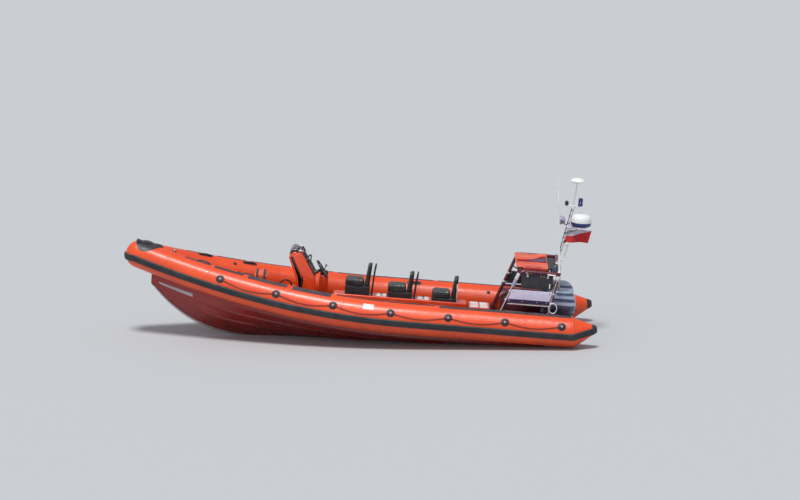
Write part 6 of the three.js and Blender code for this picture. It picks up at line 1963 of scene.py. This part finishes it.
# Righting bag, folded flat: layers laid on each other, the upper one cut back where its mouth lies open, and
# a fold that hangs beyond each edge of the tray
rightingBag = {
    "x": (0.042, 0.61), "half": 0.264, "wing": 0.645, "voxel": 0.0152, "cap": 0.01,
    "thick": (1.224, 1.262), "inner": (1.252, 1.279), "upper": (1.277, 1.315), "ledge": (1.2168, 1.239),
    "mouth": [(0.4, 0.262), (0.13, -0.045), (0.042, -0.07)],
    "hang": (0.51, 0.648), "hangX": (0.034, 0.497), "hangZ": (1.159, 1.236),
    "dip": (0.3, 0.08, 0.018), "peak": (0.1, 0.07, 0.016), "seat": 1.2156,
    "fills": {"thick": 0.7, "upper": 0.6, "ledge": 0.4, "inner": 0.4, "fold": 0.5},
    "seams": [((0.042, -0.15), (0.61, -0.15)), ((0.52, -0.264), (0.52, 0.264)),
              ((0.42, 0.235), (0.15, -0.075))],
    "seamDepth": 0.005, "seamWidth": 0.008, "grommetX": (0.09, 0.56), "grommetY": 0.618, "grommetZ": 1.2415,
}


# A stuffed layer with wrinkles: each point moves along its normal by a product of crossed sines
def bagLayer(outline, low, high, cap, edge, wrinkle, plane="xy"):
    points, faces = stuffed(slabPart(roundOutline(outline, 0.04, 8), low, high, edge, plane, 6), cap,
                            rightingBag["voxel"])
    x, y, z = points.T
    ridges = np.sin(21 * x + 7 * np.sin(6 * y) + 4 * z) * np.sin(9 * y + 5 * np.sin(8 * x) + 30 * z)
    ridges = ridges + 0.6 * np.sin(46 * x - 13 * y + 6 * np.sin(11 * y))
    return points + pointNormals(points, faces) * (wrinkle * ridges)[:, None], [faces]


# How far a point is from a line between two points in X and Y
def fromSeam(points, start, end):
    start, ahead = np.asarray(start, float), np.subtract(end, start)
    share = np.clip(((points[:, :2] - start) @ ahead) / (ahead @ ahead), 0, 1)
    return np.linalg.norm(points[:, :2] - start - share[:, None] * ahead, axis=1)


# Thick, inner and upper layer and the ledge under them. The upper one dips by exp(-((x - at) / width)^2)
# and peaks the same way; nothing sinks below its seat on the tray
def rightingBagLayers():
    b = rightingBag
    (x0, x1), half, wing = b["x"], b["half"], b["wing"]
    whole = rectangle(x0, -half, x1, half)
    thick = bagLayer(whole, *b["thick"], b["cap"], 0.015, 0.0028)
    inner = bagLayer(rectangle(x0 + 0.008, 0.012 - half, x1 - 0.012, half - 0.012), *b["inner"], 0.004,
                     0.008, 0.0035)
    points, faceSets = bagLayer([(x0, -half), (x1, -half), (x1, half)] + b["mouth"], *b["upper"], b["cap"],
                                0.015, 0.0026)
    share = np.clip((points[:, 2] - b["upper"][0]) / 0.035, 0, 1)
    for (at, width, height), sign in ((b["dip"], -1), (b["peak"], 1)):
        points[:, 2] += sign * height * share * np.exp(-((points[:, 0] - at) / width) ** 2)
    for start, end in b["seams"]:
        points = sewn(points, faceSets[0], fromSeam(points, start, end), b["seamDepth"], b["seamWidth"])
    ledge = bagLayer(rectangle(x0 - 0.012, -wing, x1 + 0.006, wing), *b["ledge"], 0.005, 0.009, 0.0022)
    for layer, _ in (thick, inner, ledge):
        layer[:, 2] = np.maximum(layer[:, 2], b["seat"])
    return {"thick": thick, "upper": (points, faceSets), "ledge": ledge, "inner": inner}


# The fold that hangs beside the tray, and its mirror image
def sideFolds():
    b = rightingBag
    (x0, x1), (z0, z1) = b["hangX"], b["hangZ"]
    return bothSides([bagLayer(rectangle(x0, z0, x1, z1), *b["hang"], 0.007, 0.02, 0.003, "xz")])


for name, layer in rightingBagLayers().items():
    piece = makePiece(f"bag_{name}_layer", [layer], "innerCloth" if name == "inner" else "bagCloth",
                      replaces=["righting_bag"] if name == "thick" else (), sharp=70)
piece = makePiece("bag_side_folds", sideFolds(), "bagShade", sharp=70)
grommet = [(0.0062, -0.004), (0.0115, 0.0005), (0.0125, 0.0018), (0.011, 0.0032), (0.0065, 0.003),
           (0.0062, 0.003)]
grommets = [turnedPart(grommet, (x, rightingBag["grommetY"], rightingBag["grommetZ"]), (0, 0, 1), 28)
            for x in np.linspace(*rightingBag["grommetX"], 5)]
makePiece("bag_grommets", bothSides(grommets), "brass")
print("righting bag made")

# Mast: a raked spar on a foot plate with shelves and arms for the lights, radar and aerials
mast = {
    "foot": (-0.128, 1.215), "top": (-0.34, 2.29), "radius": 0.023, "radarZ": 1.915, "radarX": -0.5,
    "armZ": 2.278, "stemTop": (-0.375, 2.682), "lampZ": 2.01, "strobeX": -0.46, "headX": -0.215,
    "lightZ": 2.29, "domeZ": 2.69, "bands": (1.345, 1.86, 1.995, 2.245),
    "ties": (1.31, 1.47, 1.7, 1.79, 1.96, 2.1, 2.2),
    "footBolts": [(x, y, 1.2288) for x in (-0.186, -0.122) for y in (-0.047, 0.047)],
}
mastLean = (mast["top"][0] - mast["foot"][0]) / (mast["top"][1] - mast["foot"][1])


# The mast's centreline at a height
def mastX(z):
    return mast["foot"][0] + mastLean * (z - mast["foot"][1])


# A point at a height on the mast's raked line, moved aft and across
def mastPoint(z, aft=0.0, y=0.0):
    return np.array([mastX(z) - aft, y, z])


# A band clamped round the mast between two heights
def mastBand(low, high, grow):
    share = np.array([0.0, 0.03, 0.12, 0.88, 0.97, 1.0])[:, None]
    radius = mast["radius"] + grow * np.array([0.05, 0.75, 1, 1, 0.75, 0.05])
    return tubePart(mastPoint(low) + (mastPoint(high) - mastPoint(low)) * share, radius, 28)


# The spar, the radar's shelf with its strut and gussets, the foot plate, the stern light's shelf, the arms,
# the dome's stem and the feet of both lights on the long arm
def mastParts():
    m = mast
    shelfX = mastX(m["radarZ"])
    shelf = roundRectangle(shelfX - 0.33, -0.07, shelfX + 0.02, 0.07, 0.03, 6)
    plate = roundRectangle(m["foot"][0] - 0.07, -0.06, m["foot"][0] + 0.018, 0.06, 0.012, 5)
    sternShelf = roundOutline(rectangle(-0.315, -0.03, mastX(1.355) + 0.01, 0.03), 0.012, 5)
    parts = [barPart(mastPoint(1.223), mastPoint(m["top"][1]), m["radius"], sides=32),
             slabPart(shelf, m["radarZ"] - 0.014, m["radarZ"] - 0.001, 0.003, "xy"),
             slabPart(plate, gantry["seatZ"], 1.2293, 0.003, "xy"),
             slabPart(sternShelf, 1.348, 1.3598, 0.002, "xy"),
             barPart(mastPoint(1.868), (-0.4, 0, 1.903), 0.009),
             barPart((-0.2, 0, m["armZ"]), (-0.48, 0, m["armZ"]), 0.012),
             barPart((mastX(2.27), 0, 2.27), (m["stemTop"][0], 0, m["stemTop"][1]), 0.011, 0.009),
             turnedPart(capped([(0.016, -0.01), (0.016, 0.006), (0.012, 0.0078)], 0.0005),
                        (m["stemTop"][0], 0, m["stemTop"][1])),
             barPart(mastPoint(m["lampZ"]), (-0.225, 0, m["lampZ"]), 0.012),
             weldPart(mastPoint(1.232), (0, 0, 1), m["radius"] + 0.002)]
    for y in (-0.04, 0.04):
        gusset = [(mastX(1.83) - 0.004, 1.83), (mastX(1.83) - 0.004, 1.9), (mastX(1.9) - 0.2, 1.902)]
        parts.append(slabPart(roundOutline(gusset, 0.006, 4), y - 0.003, y + 0.003, 0.0008, "xz"))
    parts.append(slabPart(roundOutline([(mastX(2.2) - 0.01, 2.2), (-0.31, 2.272), (-0.4, 2.272)], 0.008, 4),
                          -0.004, 0.004, 0.001, "xz"))
    parts += [mastBand(z, z + 0.03, 0.004) for z in m["bands"]]
    lightFoot = capped([(0.03, 0.0), (0.03, 0.01)], 0.0005)
    return parts + [turnedPart(lightFoot, (x, 0, m["armZ"] + 0.002)) for x in (m["strobeX"], m["headX"])]


makePiece("mast_spar", mastParts(), "whitePaint", replaces=["mast"])

# Stern light: a leaning white drum, wide at its head, on the low shelf
drumZ = np.array([1.3602, 1.362, 1.375, 1.4, 1.45, 1.5, 1.54, 1.56, 1.572, 1.578, 1.6, 1.606, 1.608])
drumR = np.array([0.012, 0.022, 0.026, 0.029, 0.032, 0.034, 0.036, 0.037, 0.0415, 0.0425, 0.042, 0.036,
                  0.004])
drumPath = np.stack([-0.247 - 0.14 * (drumZ - 1.36), 0 * drumZ, drumZ], -1)
footLamp = turnedPart([(0.0005, -0.02), (0.018, -0.02), (0.026, -0.008), (0.026, 0.012), (0.018, 0.022),
                       (0.0005, 0.024)],
                      mastPoint(1.285, 0.075), (0.2, 0, 1))
footLampArm = barPart(mastPoint(1.28), mastPoint(1.28, 0.07), 0.008)
upperLampBody = roundBoxPart(mastPoint(1.255, 0.09, -0.016), mastPoint(1.262, 0.045, 0.016) + (0, 0, 0.012),
                             0.004)
makePiece("stern_light", [tubePart(drumPath, drumR, 32), footLamp, footLampArm, upperLampBody],
          "whiteMoulding")

# Black fittings: U bolts round the mast, the cable with its ties, the block for the halyard
fittings = [roundBoxPart(mastPoint(1.603, 0.052, -0.022), mastPoint(1.603, 0.012, 0.022) + (0, 0, 0.056),
                         0.007)]
cable = [mastPoint(z, -0.02 * math.cos(0.4), 0.025) for z in np.linspace(1.26, 2.24, 30)]
fittings += [tubePart(cable, 0.005, 12)] + [mastBand(z, z + 0.008, 0.008) for z in mast["ties"]]
radarCable = smoothLine([(-0.43, 0.02, 1.9), (-0.42, 0.03, 1.86), (-0.36, 0.035, 1.83), (-0.27, 0.03, 1.8),
                         mastPoint(1.75, -0.02, 0.022)], 8)
fittings.append(tubePart(radarCable, 0.0055, 12))
makePiece("mast_cables", fittings, "tubeBlack")
halyard = [mastPoint(z, 0.0275) for z in np.linspace(1.32, 2.22, 20)]
makePiece("halyard", [tubePart(halyard, 0.0018, 10, lobes=3, twist=700.0)], "paleVinyl")
footBolts = [part for at in mast["footBolts"] for part in boltPart(at, (0, 0, 1), 0.006)]
makePiece("mast_foot_bolts", footBolts, "steel")

# Radome: a drum with a soft shoulder, a joint line and a dark foot
radomeProfile = [(0.001, 0.0003), (0.11, 0.0003), (0.122, 0.002), (0.15, 0.012), (0.172, 0.026),
                 (0.179, 0.036), (0.182, 0.06),
                 (0.1832, 0.088), (0.1815, 0.0905), (0.1815, 0.0935), (0.1838, 0.096), (0.184, 0.12),
                 (0.1825, 0.14), (0.178, 0.163), (0.17, 0.184), (0.156, 0.202), (0.138, 0.216),
                 (0.116, 0.227), (0.088, 0.2345), (0.05, 0.239), (0.001, 0.24)]
radomeAt = (mast["radarX"], 0, mast["radarZ"])
makePiece("radar_drum", [turnedPart(radomeProfile, radomeAt, sides=96)], "radomeShell", replaces=["radome"])

# Dome for the satellite aerial: a shallow lens on a short collar
domeProfile = [(0.001, 0.0003), (0.04, 0.0003), (0.06, 0.004), (0.1, 0.022), (0.122, 0.036), (0.1295, 0.044),
               (0.1285, 0.052),
               (0.12, 0.062), (0.104, 0.075), (0.08, 0.0875), (0.05, 0.096), (0.02, 0.0995), (0.001, 0.1)]
makePiece("gps_dome", [turnedPart(domeProfile, (mast["stemTop"][0], 0, mast["domeZ"]), sides=72)],
          "whiteMoulding", replaces=["satellite_dome"])

# Strobe: a ribbed navy lens under a cap
ribZ = np.linspace(0.03, 0.108, 60)
strobeProfile = [(0.001, 0.0003), (0.043, 0.0003), (0.044, 0.003), (0.044, 0.02), (0.041, 0.024)]
strobeProfile += [(0.0395 + 0.0012 * math.sin(z * 780), z) for z in ribZ]
strobeProfile += [(0.0405, 0.112), (0.041, 0.118), (0.037, 0.13), (0.026, 0.14), (0.012, 0.1445),
                  (0.001, 0.145)]
makePiece("strobe_lens", [turnedPart(strobeProfile, (mast["strobeX"], 0, mast["lightZ"]), sides=56)],
          "navyMoulding", replaces=["strobe_light"])
lightProfile = [(0.001, 0.0003), (0.031, 0.0003), (0.032, 0.002), (0.032, 0.016), (0.029, 0.018),
                (0.029, 0.046), (0.032, 0.048),
                (0.032, 0.058), (0.026, 0.069), (0.014, 0.0765), (0.001, 0.078)]
lightHood = [roundBoxPart((-0.25, -0.014, 2.3), (-0.238, 0.014, 2.345), 0.004)]
makePiece("masthead_lamp", [turnedPart(lightProfile, (mast["headX"], 0, mast["lightZ"]),
                                       sides=48)] + lightHood, "mouldedBlack",
          replaces=["masthead_light"])

# Searchlight: a spun bowl in a yoke, its glass set back in a bezel
lampAxis = (1, 0, 0)
lampAt = (-0.2147, 0, mast["lampZ"])
bowl = capped([(0.03, 0.0), (0.045, 0.004), (0.058, 0.016), (0.066, 0.032), (0.073, 0.05), (0.078, 0.07),
               (0.078, 0.108), (0.0765, 0.11), (0.071, 0.11), (0.07, 0.104)])
makePiece("searchlight_bowl", [turnedPart(bowl, lampAt, lampAxis, 64)], "greyMoulding",
          replaces=["searchlight"])
glass = [(0.001, 0.1035), (0.069, 0.1035), (0.069, 0.106), (0.04, 0.1085), (0.001, 0.1095)]
makePiece("searchlight_glass", [turnedPart(glass, lampAt, lampAxis, 56)], "dialFace")
yokeHalf = [(-0.15, 0.084, 2.01), (-0.19, 0.083, 1.975), (-0.212, 0.05, 1.945), (-0.216, 0.0, 1.934)]
yokePath = smoothLine(yokeHalf + [(x, -y, z) for x, y, z in yokeHalf[-2::-1]], 8)
yokeParts = [tubePart(yokePath, 0.006, 14, guide=(1, 0, 0)),
             barPart((-0.216, 0, 1.934), mastPoint(1.94), 0.008)]
yokeParts += [turnedPart([(0.0005, 0), (0.014, 0), (0.014, 0.008), (0.0005, 0.01)],
                         (-0.15, side * 0.077, 2.01), (0, side, 0), 20) for side in (-1, 1)]
makePiece("searchlight_yoke", yokeParts, "tubeBlack")

# Flag: a thin cloth from its hoist, y = fold(s) growing to the fly, with its two colours as two cloths
flagCloth = {"length": 0.42, "height": 0.23, "foot": 1.618, "lift": 0.02, "wave": 0.034, "turns": 2.6,
             "thick": 0.0011,
             "sag": 0.014, "ripple": 0.006, "middle": 0.115, "taper": 1.8, "cantonHeight": 0.114,
             "field": ((0.0, 0.0), (0.115, 0.229)), "canton": ((0.116, 0.2295), (0.23, 0.23))}


# A point at a share s of the fly and a height h: y is a wave of sin(turns pi (s + h / 2)) that grows from
# the hoist, with a finer ripple, and z lifts evenly less a sag s (1 - s)
def flagPoint(s, h):
    f = flagCloth
    z = f["foot"] + f["lift"] * s + h - f["sag"] * s * (1 - s) * np.sin(5 * s + 9 * h)
    phase = f["turns"] * np.pi * (s + 0.5 * (h - f["middle"]))
    wave = f["wave"] * np.sin(phase) * np.minimum(1, 3 * s + 0.02)
    ripple = f["ripple"] * np.sin(11 * np.pi * s + 20 * h) * s
    return np.stack([mastX(f["foot"] + h) - mast["radius"] - 0.004 - f["length"] * s, wave + ripple, z], -1)


# Edge heights run from hoist to fly as h0 + (h1 - h0) s^taper
def flagEdge(heights, s):
    return heights[0] + (heights[1] - heights[0]) * s ** flagCloth["taper"]


# One cloth between two edges, half its thickness to each side of its middle along the normal
def flagSheet(lowEdge, highEdge):
    s, share = np.meshgrid(np.linspace(0, 1, 90), np.linspace(0, 1, 30), indexing="ij")
    low, high = flagEdge(lowEdge, s), flagEdge(highEdge, s)
    middle = flagPoint(s, low + (high - low) * share)
    across = unit(np.cross(np.gradient(middle, axis=0), np.gradient(middle, axis=1)))
    return platePart(middle + across * flagCloth["thick"] / 2, middle - across * flagCloth["thick"] / 2)


redCloth = makePiece("flag_field", [flagSheet(*flagCloth["field"])], "flagRed", replaces=["flag"], sharp=80.0)
paleCloth = makePiece("flag_canton", [flagSheet(*flagCloth["canton"])], "flagPale", sharp=80.0)
toggles = [turnedPart([(0.0005, -0.012), (0.005, -0.011), (0.006, 0), (0.005, 0.011), (0.0005, 0.012)],
                      mastPoint(z, 0.028), (0, 0, 1), 20)
           for z in (1.622, 1.84)]
makePiece("flag_toggles", toggles, "brass")

# Whip aerial: a ferrule, a tapered rod, a thick sleeve near its head and a thinner tip
foot, elbow, tip = (np.array([x, 0.815, z]) for x, z in ((-0.15, 1.2153), (-0.025, 2.56), (0.0, 2.885)))
ferrule = turnedPart(capped([(0.028, 0.0002), (0.028, 0.012), (0.024, 0.016), (0.024, 0.034), (0.021, 0.04)],
                            0.0005), foot)
lower = tubePart(foot + (elbow - foot) * np.array([0.012, 0.3, 0.6, 0.875])[:, None],
                 [0.017, 0.0155, 0.0145, 0.0135], 20)
sleeveStart, sleeveEnd = foot + (elbow - foot) * 0.875, elbow + (tip - elbow) * 0.395
upperSleeve = tubePart(smoothLine([sleeveStart, elbow, sleeveEnd], 4),
                       [0.0135, 0.0178, 0.0182, 0.0182, 0.018, 0.018, 0.018, 0.0175, 0.012], 20)
tipRod = barPart(elbow + (tip - elbow) * 0.36, tip, 0.0105, 0.0085)
makePiece("aerial_rod", [ferrule, lower, upperSleeve, tipRod], "whiteMoulding", replaces=["whip_aerial"])
print("mast, lights, flag and aerial made")

# Outboards: the port one is made, and the starboard one is the same moved across
engines = {
    "y": 0.35, "shaftZ": -0.6, "propX": -0.61, "hubX": -0.5503, "plateZ": -0.39, "pivot": (-0.01, 0.285),
    "columnX": -0.2, "cowlFoot": 0.4203, "cowlHead": 0.835, "jointZ": 0.56, "crownRise": 0.006,
    "bladeTurns": (0, 120, 240), "apron": [(0.36, -0.445, 0.02, 0.13), (0.372, -0.462, 0.045, 0.158),
                                           (0.395, -0.48, 0.07, 0.18),
                                           (0.41, -0.488, 0.082, 0.2), (0.4198, -0.49, 0.085, 0.205)],
    "cowl": [(0.4203, -0.49, 0.085, 0.205), (0.52, -0.51, 0.095, 0.218), (0.64, -0.505, 0.09, 0.214),
             (0.75, -0.475, 0.055, 0.195), (0.81, -0.42, 0.0, 0.16), (0.835, -0.365, -0.07, 0.105)],
    "grooves": [(0.65, 0.69), (0.758, 0.796)], "grooveDepth": 0.012, "wall": 0.02,
}


# Rings of a rounded rectangle whose size follows height: each value is interpolated between levels as a
# smooth line, and each corner is a quarter circle about its centre
def levelRings(levels, heights, inset, y, corner=0.13):
    quarter = 12
    table = smoothLine(levels, 12)
    x0, x1, half = (np.interp(heights, table[:, 0], table[:, column])[:, None] for column in (1, 2, 3))
    inset = np.broadcast_to(np.asarray(inset, float), heights.shape)[:, None]
    radius = np.minimum(corner, half - 0.01) - inset
    start = np.repeat([0, 90, 180, 270], quarter)
    turn = np.radians(start + np.tile(np.linspace(0, 90, quarter), 4))[None]
    signX = np.repeat([1, -1, -1, 1], quarter)[None]
    signY = np.repeat([1, 1, -1, -1], quarter)[None]
    centreX = np.where(signX > 0, x1 - inset - radius, x0 + inset + radius)
    centreY = signY * (half - inset - radius)
    z = np.broadcast_to(heights[:, None], (len(heights), turn.shape[1]))
    return np.stack([centreX + radius * np.cos(turn), y + centreY + radius * np.sin(turn), z], -1)


# The cowl's skin with grooves pressed in as 1 - cos and a joint line, a crown that rises as 1 - s^2, and
# the wall inside it
def cowlParts(y):
    e = engines
    heights = np.concatenate([np.linspace(e["cowlFoot"], 0.8, 90), np.linspace(0.803, e["cowlHead"], 10)])
    inset = 0 * heights
    for low, high in e["grooves"]:
        share = np.clip((heights - low) / (high - low), 0, 1)
        inset = inset + e["grooveDepth"] * 0.5 * (1 - np.cos(2 * np.pi * share)) ** 0.6
    joint = 0.004 * np.exp(-((heights - e["jointZ"]) / 0.0035) ** 2)
    outer = levelRings(e["cowl"], heights, inset + joint, y)
    crown = levelRings(e["cowl"], np.array([e["cowlHead"]]), 0.0, y)[0]
    middle = crown.mean(0)
    shares = np.array([0.85, 0.6, 0.3, 0.05])[:, None, None]
    rise = np.array([0, 0, 1]) * e["crownRise"] * (1 - shares ** 2)
    dome = middle + (crown[None] - middle) * shares + rise - (0, 0, e["crownRise"])
    innerHeights = np.array([0.812, 0.75, 0.64, 0.5, e["cowlFoot"]])
    inner = levelRings(e["cowl"], innerHeights, e["wall"], y)
    return [ringPart(np.concatenate([inner, outer, dome]))]


# The pan under the cowl, by the same rings
def apronPart(y):
    table = np.array(engines["apron"])
    heights = np.linspace(table[0, 0], table[-1, 0], 24)
    return ringPart(levelRings(engines["apron"], heights, 0.0, y, corner=0.09))


# A leaf-shaped section across the leg: half width sin(t)^0.8, blunt forward and fine aft
def shankPart(levels, y):
    levels = smoothLine(levels, 6)
    turn = fullTurn(40)[None]
    middle, reach = (levels[:, 1] + levels[:, 2])[:, None] / 2, (levels[:, 2] - levels[:, 1])[:, None] / 2
    x = middle + reach * (np.cos(turn) + 0.1 * (1 - np.cos(2 * turn)))
    across = levels[:, 3][:, None] * np.sign(np.sin(turn)) * np.abs(np.sin(turn)) ** 0.85
    z = np.broadcast_to(levels[:, 0][:, None], x.shape)
    return ringPart(np.stack([x, y + across, z], -1))


# A blade: a cambered section, chord / 2 cos t along and thick sin t across, turned through the pitch at
# each reach
def bladePart(y, turn):
    e = engines
    stations = smoothLine([(0.03, 0.07, 62, 0.006), (0.06, 0.092, 57, 0.0055), (0.09, 0.105, 52, 0.0048),
                           (0.125, 0.1, 42, 0.0038),
                           (0.155, 0.078, 33, 0.003), (0.172, 0.05, 28, 0.0022), (0.178, 0.018, 26, 0.0014)],
                          5)
    t = fullTurn(24)[None]
    reach, chord, pitch, thick = (stations[:, column][:, None] for column in range(4))
    along = chord / 2 * np.cos(t)
    off = thick * np.sin(t) * (1 - 0.35 * np.cos(t)) + 0.06 * chord * (np.cos(t) ** 2 - 0.5)
    pitch = np.radians(pitch)
    x = along * np.sin(pitch) + off * np.cos(pitch)
    across = along * np.cos(pitch) - off * np.sin(pitch)
    grid = np.stack([x, across, np.broadcast_to(reach, x.shape)], -1)
    return placed(ringPart(grid), (e["propX"], y, e["shaftZ"]), (1, 0, 0), turn)


# Two cheeks over the transom with a bar between them, the tilt tube's bosses and the slots
def clampParts(y):
    cheek = roundOutline([(-0.0003, -0.06), (-0.0003, transomZ), (0.062, transomZ), (0.062, 0.262),
                          (0.036, 0.318), (-0.04, 0.322), (-0.095, 0.23), (-0.07, 0.0), (-0.04, -0.06)],
                         [0.001, 0.001, 0.004, 0.012, 0.02, 0.03, 0.04, 0.04, 0.02], 6)
    tiltX, tiltZ = engines["pivot"]
    parts = [slabPart(cheek, y + side, y + side + 0.032, 0.005, "xz") for side in (-0.15, 0.118)]
    parts.append(roundBoxPart((0.034, y - 0.149, transomZ), (0.06, y + 0.149, 0.242), 0.004))
    for side in (-1, 1):
        parts.append(turnedPart(capped([(0.034, 0), (0.034, 0.003), (0.03, 0.005)], 0.0005),
                                (tiltX, y + side * 0.1495, tiltZ), (0, side, 0), 40))
        slots = roundRectangle(-0.052, -0.02, -0.028, 0.16, 0.01, 4)
        parts.append(slabPart(slots, y + side * 0.1495 - 0.002, y + side * 0.1495 + 0.002, 0.001, "xz"))
    return parts


# Bolts down each cheek, at the tilt tube's ends and through the bar
def clampBolts(y):
    parts = []
    for side in (-1, 1):
        for z in (0.0, 0.06, 0.12):
            parts += boltPart((-0.04, y + side * 0.151, z), (0, side, 0), 0.009)
        parts += boltPart((engines["pivot"][0], y + side * 0.154, engines["pivot"][1]), (0, side, 0), 0.015)
        parts += boltPart((0.047, y + side * 0.08, 0.241), (0, 0, 1), 0.007)
    return parts


# The arm round the tilt tube, the steering column and its webs
def swivelParts(y):
    arm = roundOutline([(0.004, 0.263), (0.01, 0.299), (-0.02, 0.309), (-0.11, 0.262), (-0.2, 0.258),
                        (-0.22, 0.15), (-0.1, 0.17)], 0.012, 5)
    tiltX, tiltZ = engines["pivot"]
    parts = [slabPart(arm, y - 0.105, y + 0.105, 0.008, "xz"),
             barPart((tiltX, y - 0.158, tiltZ), (tiltX, y + 0.158, tiltZ), 0.022, sides=36, edge=0.06)]
    tube = capped([(0.05, -0.1), (0.055, -0.096), (0.055, -0.06), (0.051, -0.055), (0.051, 0.13),
                   (0.055, 0.14), (0.055, 0.258), (0.05, 0.262)])
    parts.append(turnedPart(tube, (engines["columnX"], y, 0), sides=48))
    for side in (-1, 1):
        parts.append(roundBoxPart((-0.17, y + side * 0.07 - 0.006, 0.1),
                                  (-0.09, y + side * 0.07 + 0.006, 0.2), 0.004))
    return parts


# The shank and its apron, the cavitation plate, the gearcase and skeg, the upper and lower mounts, the water
# inlets, the side covers and the trim tab. The mounts end at a straight face off the round column
def legParts(y):
    e = engines
    shank = [(0.37, -0.43, -0.262, 0.074), (0.0, -0.455, -0.264, 0.061), (-0.2, -0.452, -0.262, 0.053),
             (-0.33, -0.45, -0.258, 0.047),
             (-0.42, -0.45, -0.225, 0.04), (-0.48, -0.45, -0.2, 0.034), (-0.6, -0.45, -0.19, 0.03)]
    plateHalf = [(-0.18, 0.0), (-0.23, 0.07), (-0.4, 0.105), (-0.6, 0.095), (-0.64, 0.04)]
    plate = np.array(plateHalf + [(x, -half) for x, half in plateHalf[:0:-1]]) + (0, y)
    casing = smoothLine([(0.001, 0.0), (0.018, 0.006), (0.032, 0.02), (0.05, 0.07), (0.0575, 0.14),
                         (0.058, 0.2), (0.058, 0.33), (0.052, 0.385), (0.046, 0.4148)], 5)
    casing = np.concatenate([casing, [(0.001, 0.4148)]])
    skeg = roundOutline([(-0.3, -0.64), (-0.54, -0.64), (-0.52, -0.7), (-0.5, -0.812), (-0.44, -0.812),
                         (-0.38, -0.72)], [0.005, 0.005, 0.02, 0.02, 0.02, 0.06], 6)
    upper = roundOutline([(-0.265, 0.2626), (-0.265, 0.33), (-0.3, 0.375), (-0.4, 0.375), (-0.4, 0.2626)],
                         0.01, 4)
    parts = [shankPart(shank, y), apronPart(y), slabPart(roundOutline(plate, 0.03, 5), e["plateZ"] - 0.008,
                                                         e["plateZ"] + 0.008, 0.005, "xy"),
             turnedPart(casing, (-0.135, y, e["shaftZ"]), (-1, 0, 0), 56),
             slabPart(skeg, y - 0.009, y + 0.009, 0.006, "xz"),
             slabPart(upper, y - 0.06, y + 0.06, 0.006, "xz"),
             roundBoxPart((-0.33, y - 0.055, -0.17), (-0.268, y + 0.055, -0.101), 0.008)]
    parts.append(roundBoxPart((-0.268, y - 0.05, -0.168), (-0.155, y + 0.05, -0.104), 0.01))
    foreMount = roundOutline([(-0.14, 0.2626), (-0.14, 0.33), (-0.27, 0.372), (-0.27, 0.2626)], 0.008, 4)
    parts.append(slabPart(foreMount, y - 0.058, y + 0.058, 0.006, "xz"))
    for side in (-1, 1):
        for row in range(4):
            slot = (-0.3 - 0.012 * row, y + side * 0.033, -0.5 - 0.014 * row)
            parts.append(placed(roundBoxPart((-0.028, -0.003, -0.0035), (0.028, 0.003, 0.0035), 0.003), slot))
        parts.append(roundBoxPart((-0.44, y + side * 0.058 - 0.006, -0.05),
                                  (-0.29, y + side * 0.058 + 0.004, 0.2), 0.006))
    tab = roundOutline([(-0.56, -0.4), (-0.62, -0.4), (-0.632, -0.425), (-0.57, -0.425)], 0.006, 4)
    parts.append(slabPart(tab, y - 0.005, y + 0.005, 0.002, "xz"))
    return parts


# The rubber seal under the cowl, its latches and the grommet for the cables
def cowlTrim(y):
    parts = [ringPart(levelRings(engines["cowl"], np.array([0.4204, 0.422, 0.43, 0.4315]),
                                 np.array([0.0, -0.0032, -0.0032, 0.0]), y))]
    parts.append(roundBoxPart((-0.525, y - 0.035, 0.455), (-0.495, y + 0.035, 0.5), 0.01))
    for side in (-1, 1):
        parts.append(roundBoxPart((-0.06, y + side * 0.2 - 0.013, 0.44),
                                  (0.02, y + side * 0.2 + 0.014, 0.47), 0.008))
    grommet = capped([(0.035, 0), (0.033, 0.01), (0.026, 0.014), (0.024, 0.03)], 0.0005)
    parts.append(turnedPart(grommet, (0.086, y - 0.08, 0.47), (1, 0, 0.0), 32))
    return parts


# The hub, three blades and the nut
def propellerParts(y):
    hub = capped([(0.044, 0.0), (0.046, 0.003), (0.0455, 0.04), (0.043, 0.1), (0.044, 0.125),
                  (0.042, 0.1297), (0.034, 0.1297), (0.03, 0.11)])
    hubAt = (engines["hubX"], y, engines["shaftZ"])
    parts = [turnedPart(hub, hubAt, (-1, 0, 0), 56)]
    parts += [bladePart(y, turn) for turn in engines["bladeTurns"]]
    nut = [(0.0005, 0.1), (0.018, 0.1), (0.018, 0.118), (0.012, 0.124), (0.0005, 0.126)]
    return parts + [turnedPart(nut, hubAt, (-1, 0, 0), 6)]


enginePieces = [
    ("clamp_casting", clampParts, "legPaint", "root", "clamp_bracket"),
    ("clamp_bolts", clampBolts, "steel", "root", None),
    ("swivel_casting", swivelParts, "legPaint", "swivel", "swivel_bracket"),
    ("leg_casting", legParts, "legPaint", "motor", "motor_leg"),
    ("cowl_shell", cowlParts, "cowlPaint", "motor", "cowl"),
    ("cowl_trim", cowlTrim, "rubber", "motor", None),
    ("screw_propeller", propellerParts, "steel", "screw", "propeller"),
]
for pieceName, makeParts, finishName, bodyName, replaced in enginePieces:
    portParts = makeParts(engines["y"])
    for sideName, shift in (("port", 0.0), ("starboard", -2 * engines["y"])):
        parts = [placed(part, (0, shift, 0)) for part in portParts]
        body = bodyName if bodyName == "root" else f"{sideName}_{bodyName}"
        nodes = [f"{sideName}_{replaced}"] if replaced else []
        makePiece(f"{sideName}_{pieceName}", parts, finishName, body=body, replaces=nodes)
for sideName in ("port", "starboard"):
    block = bpy.data.objects[f"{sideName}_engine_block"]
    for holder in block.material_slots:
        holder.material = finishes["castMetal"]
print("engines made")
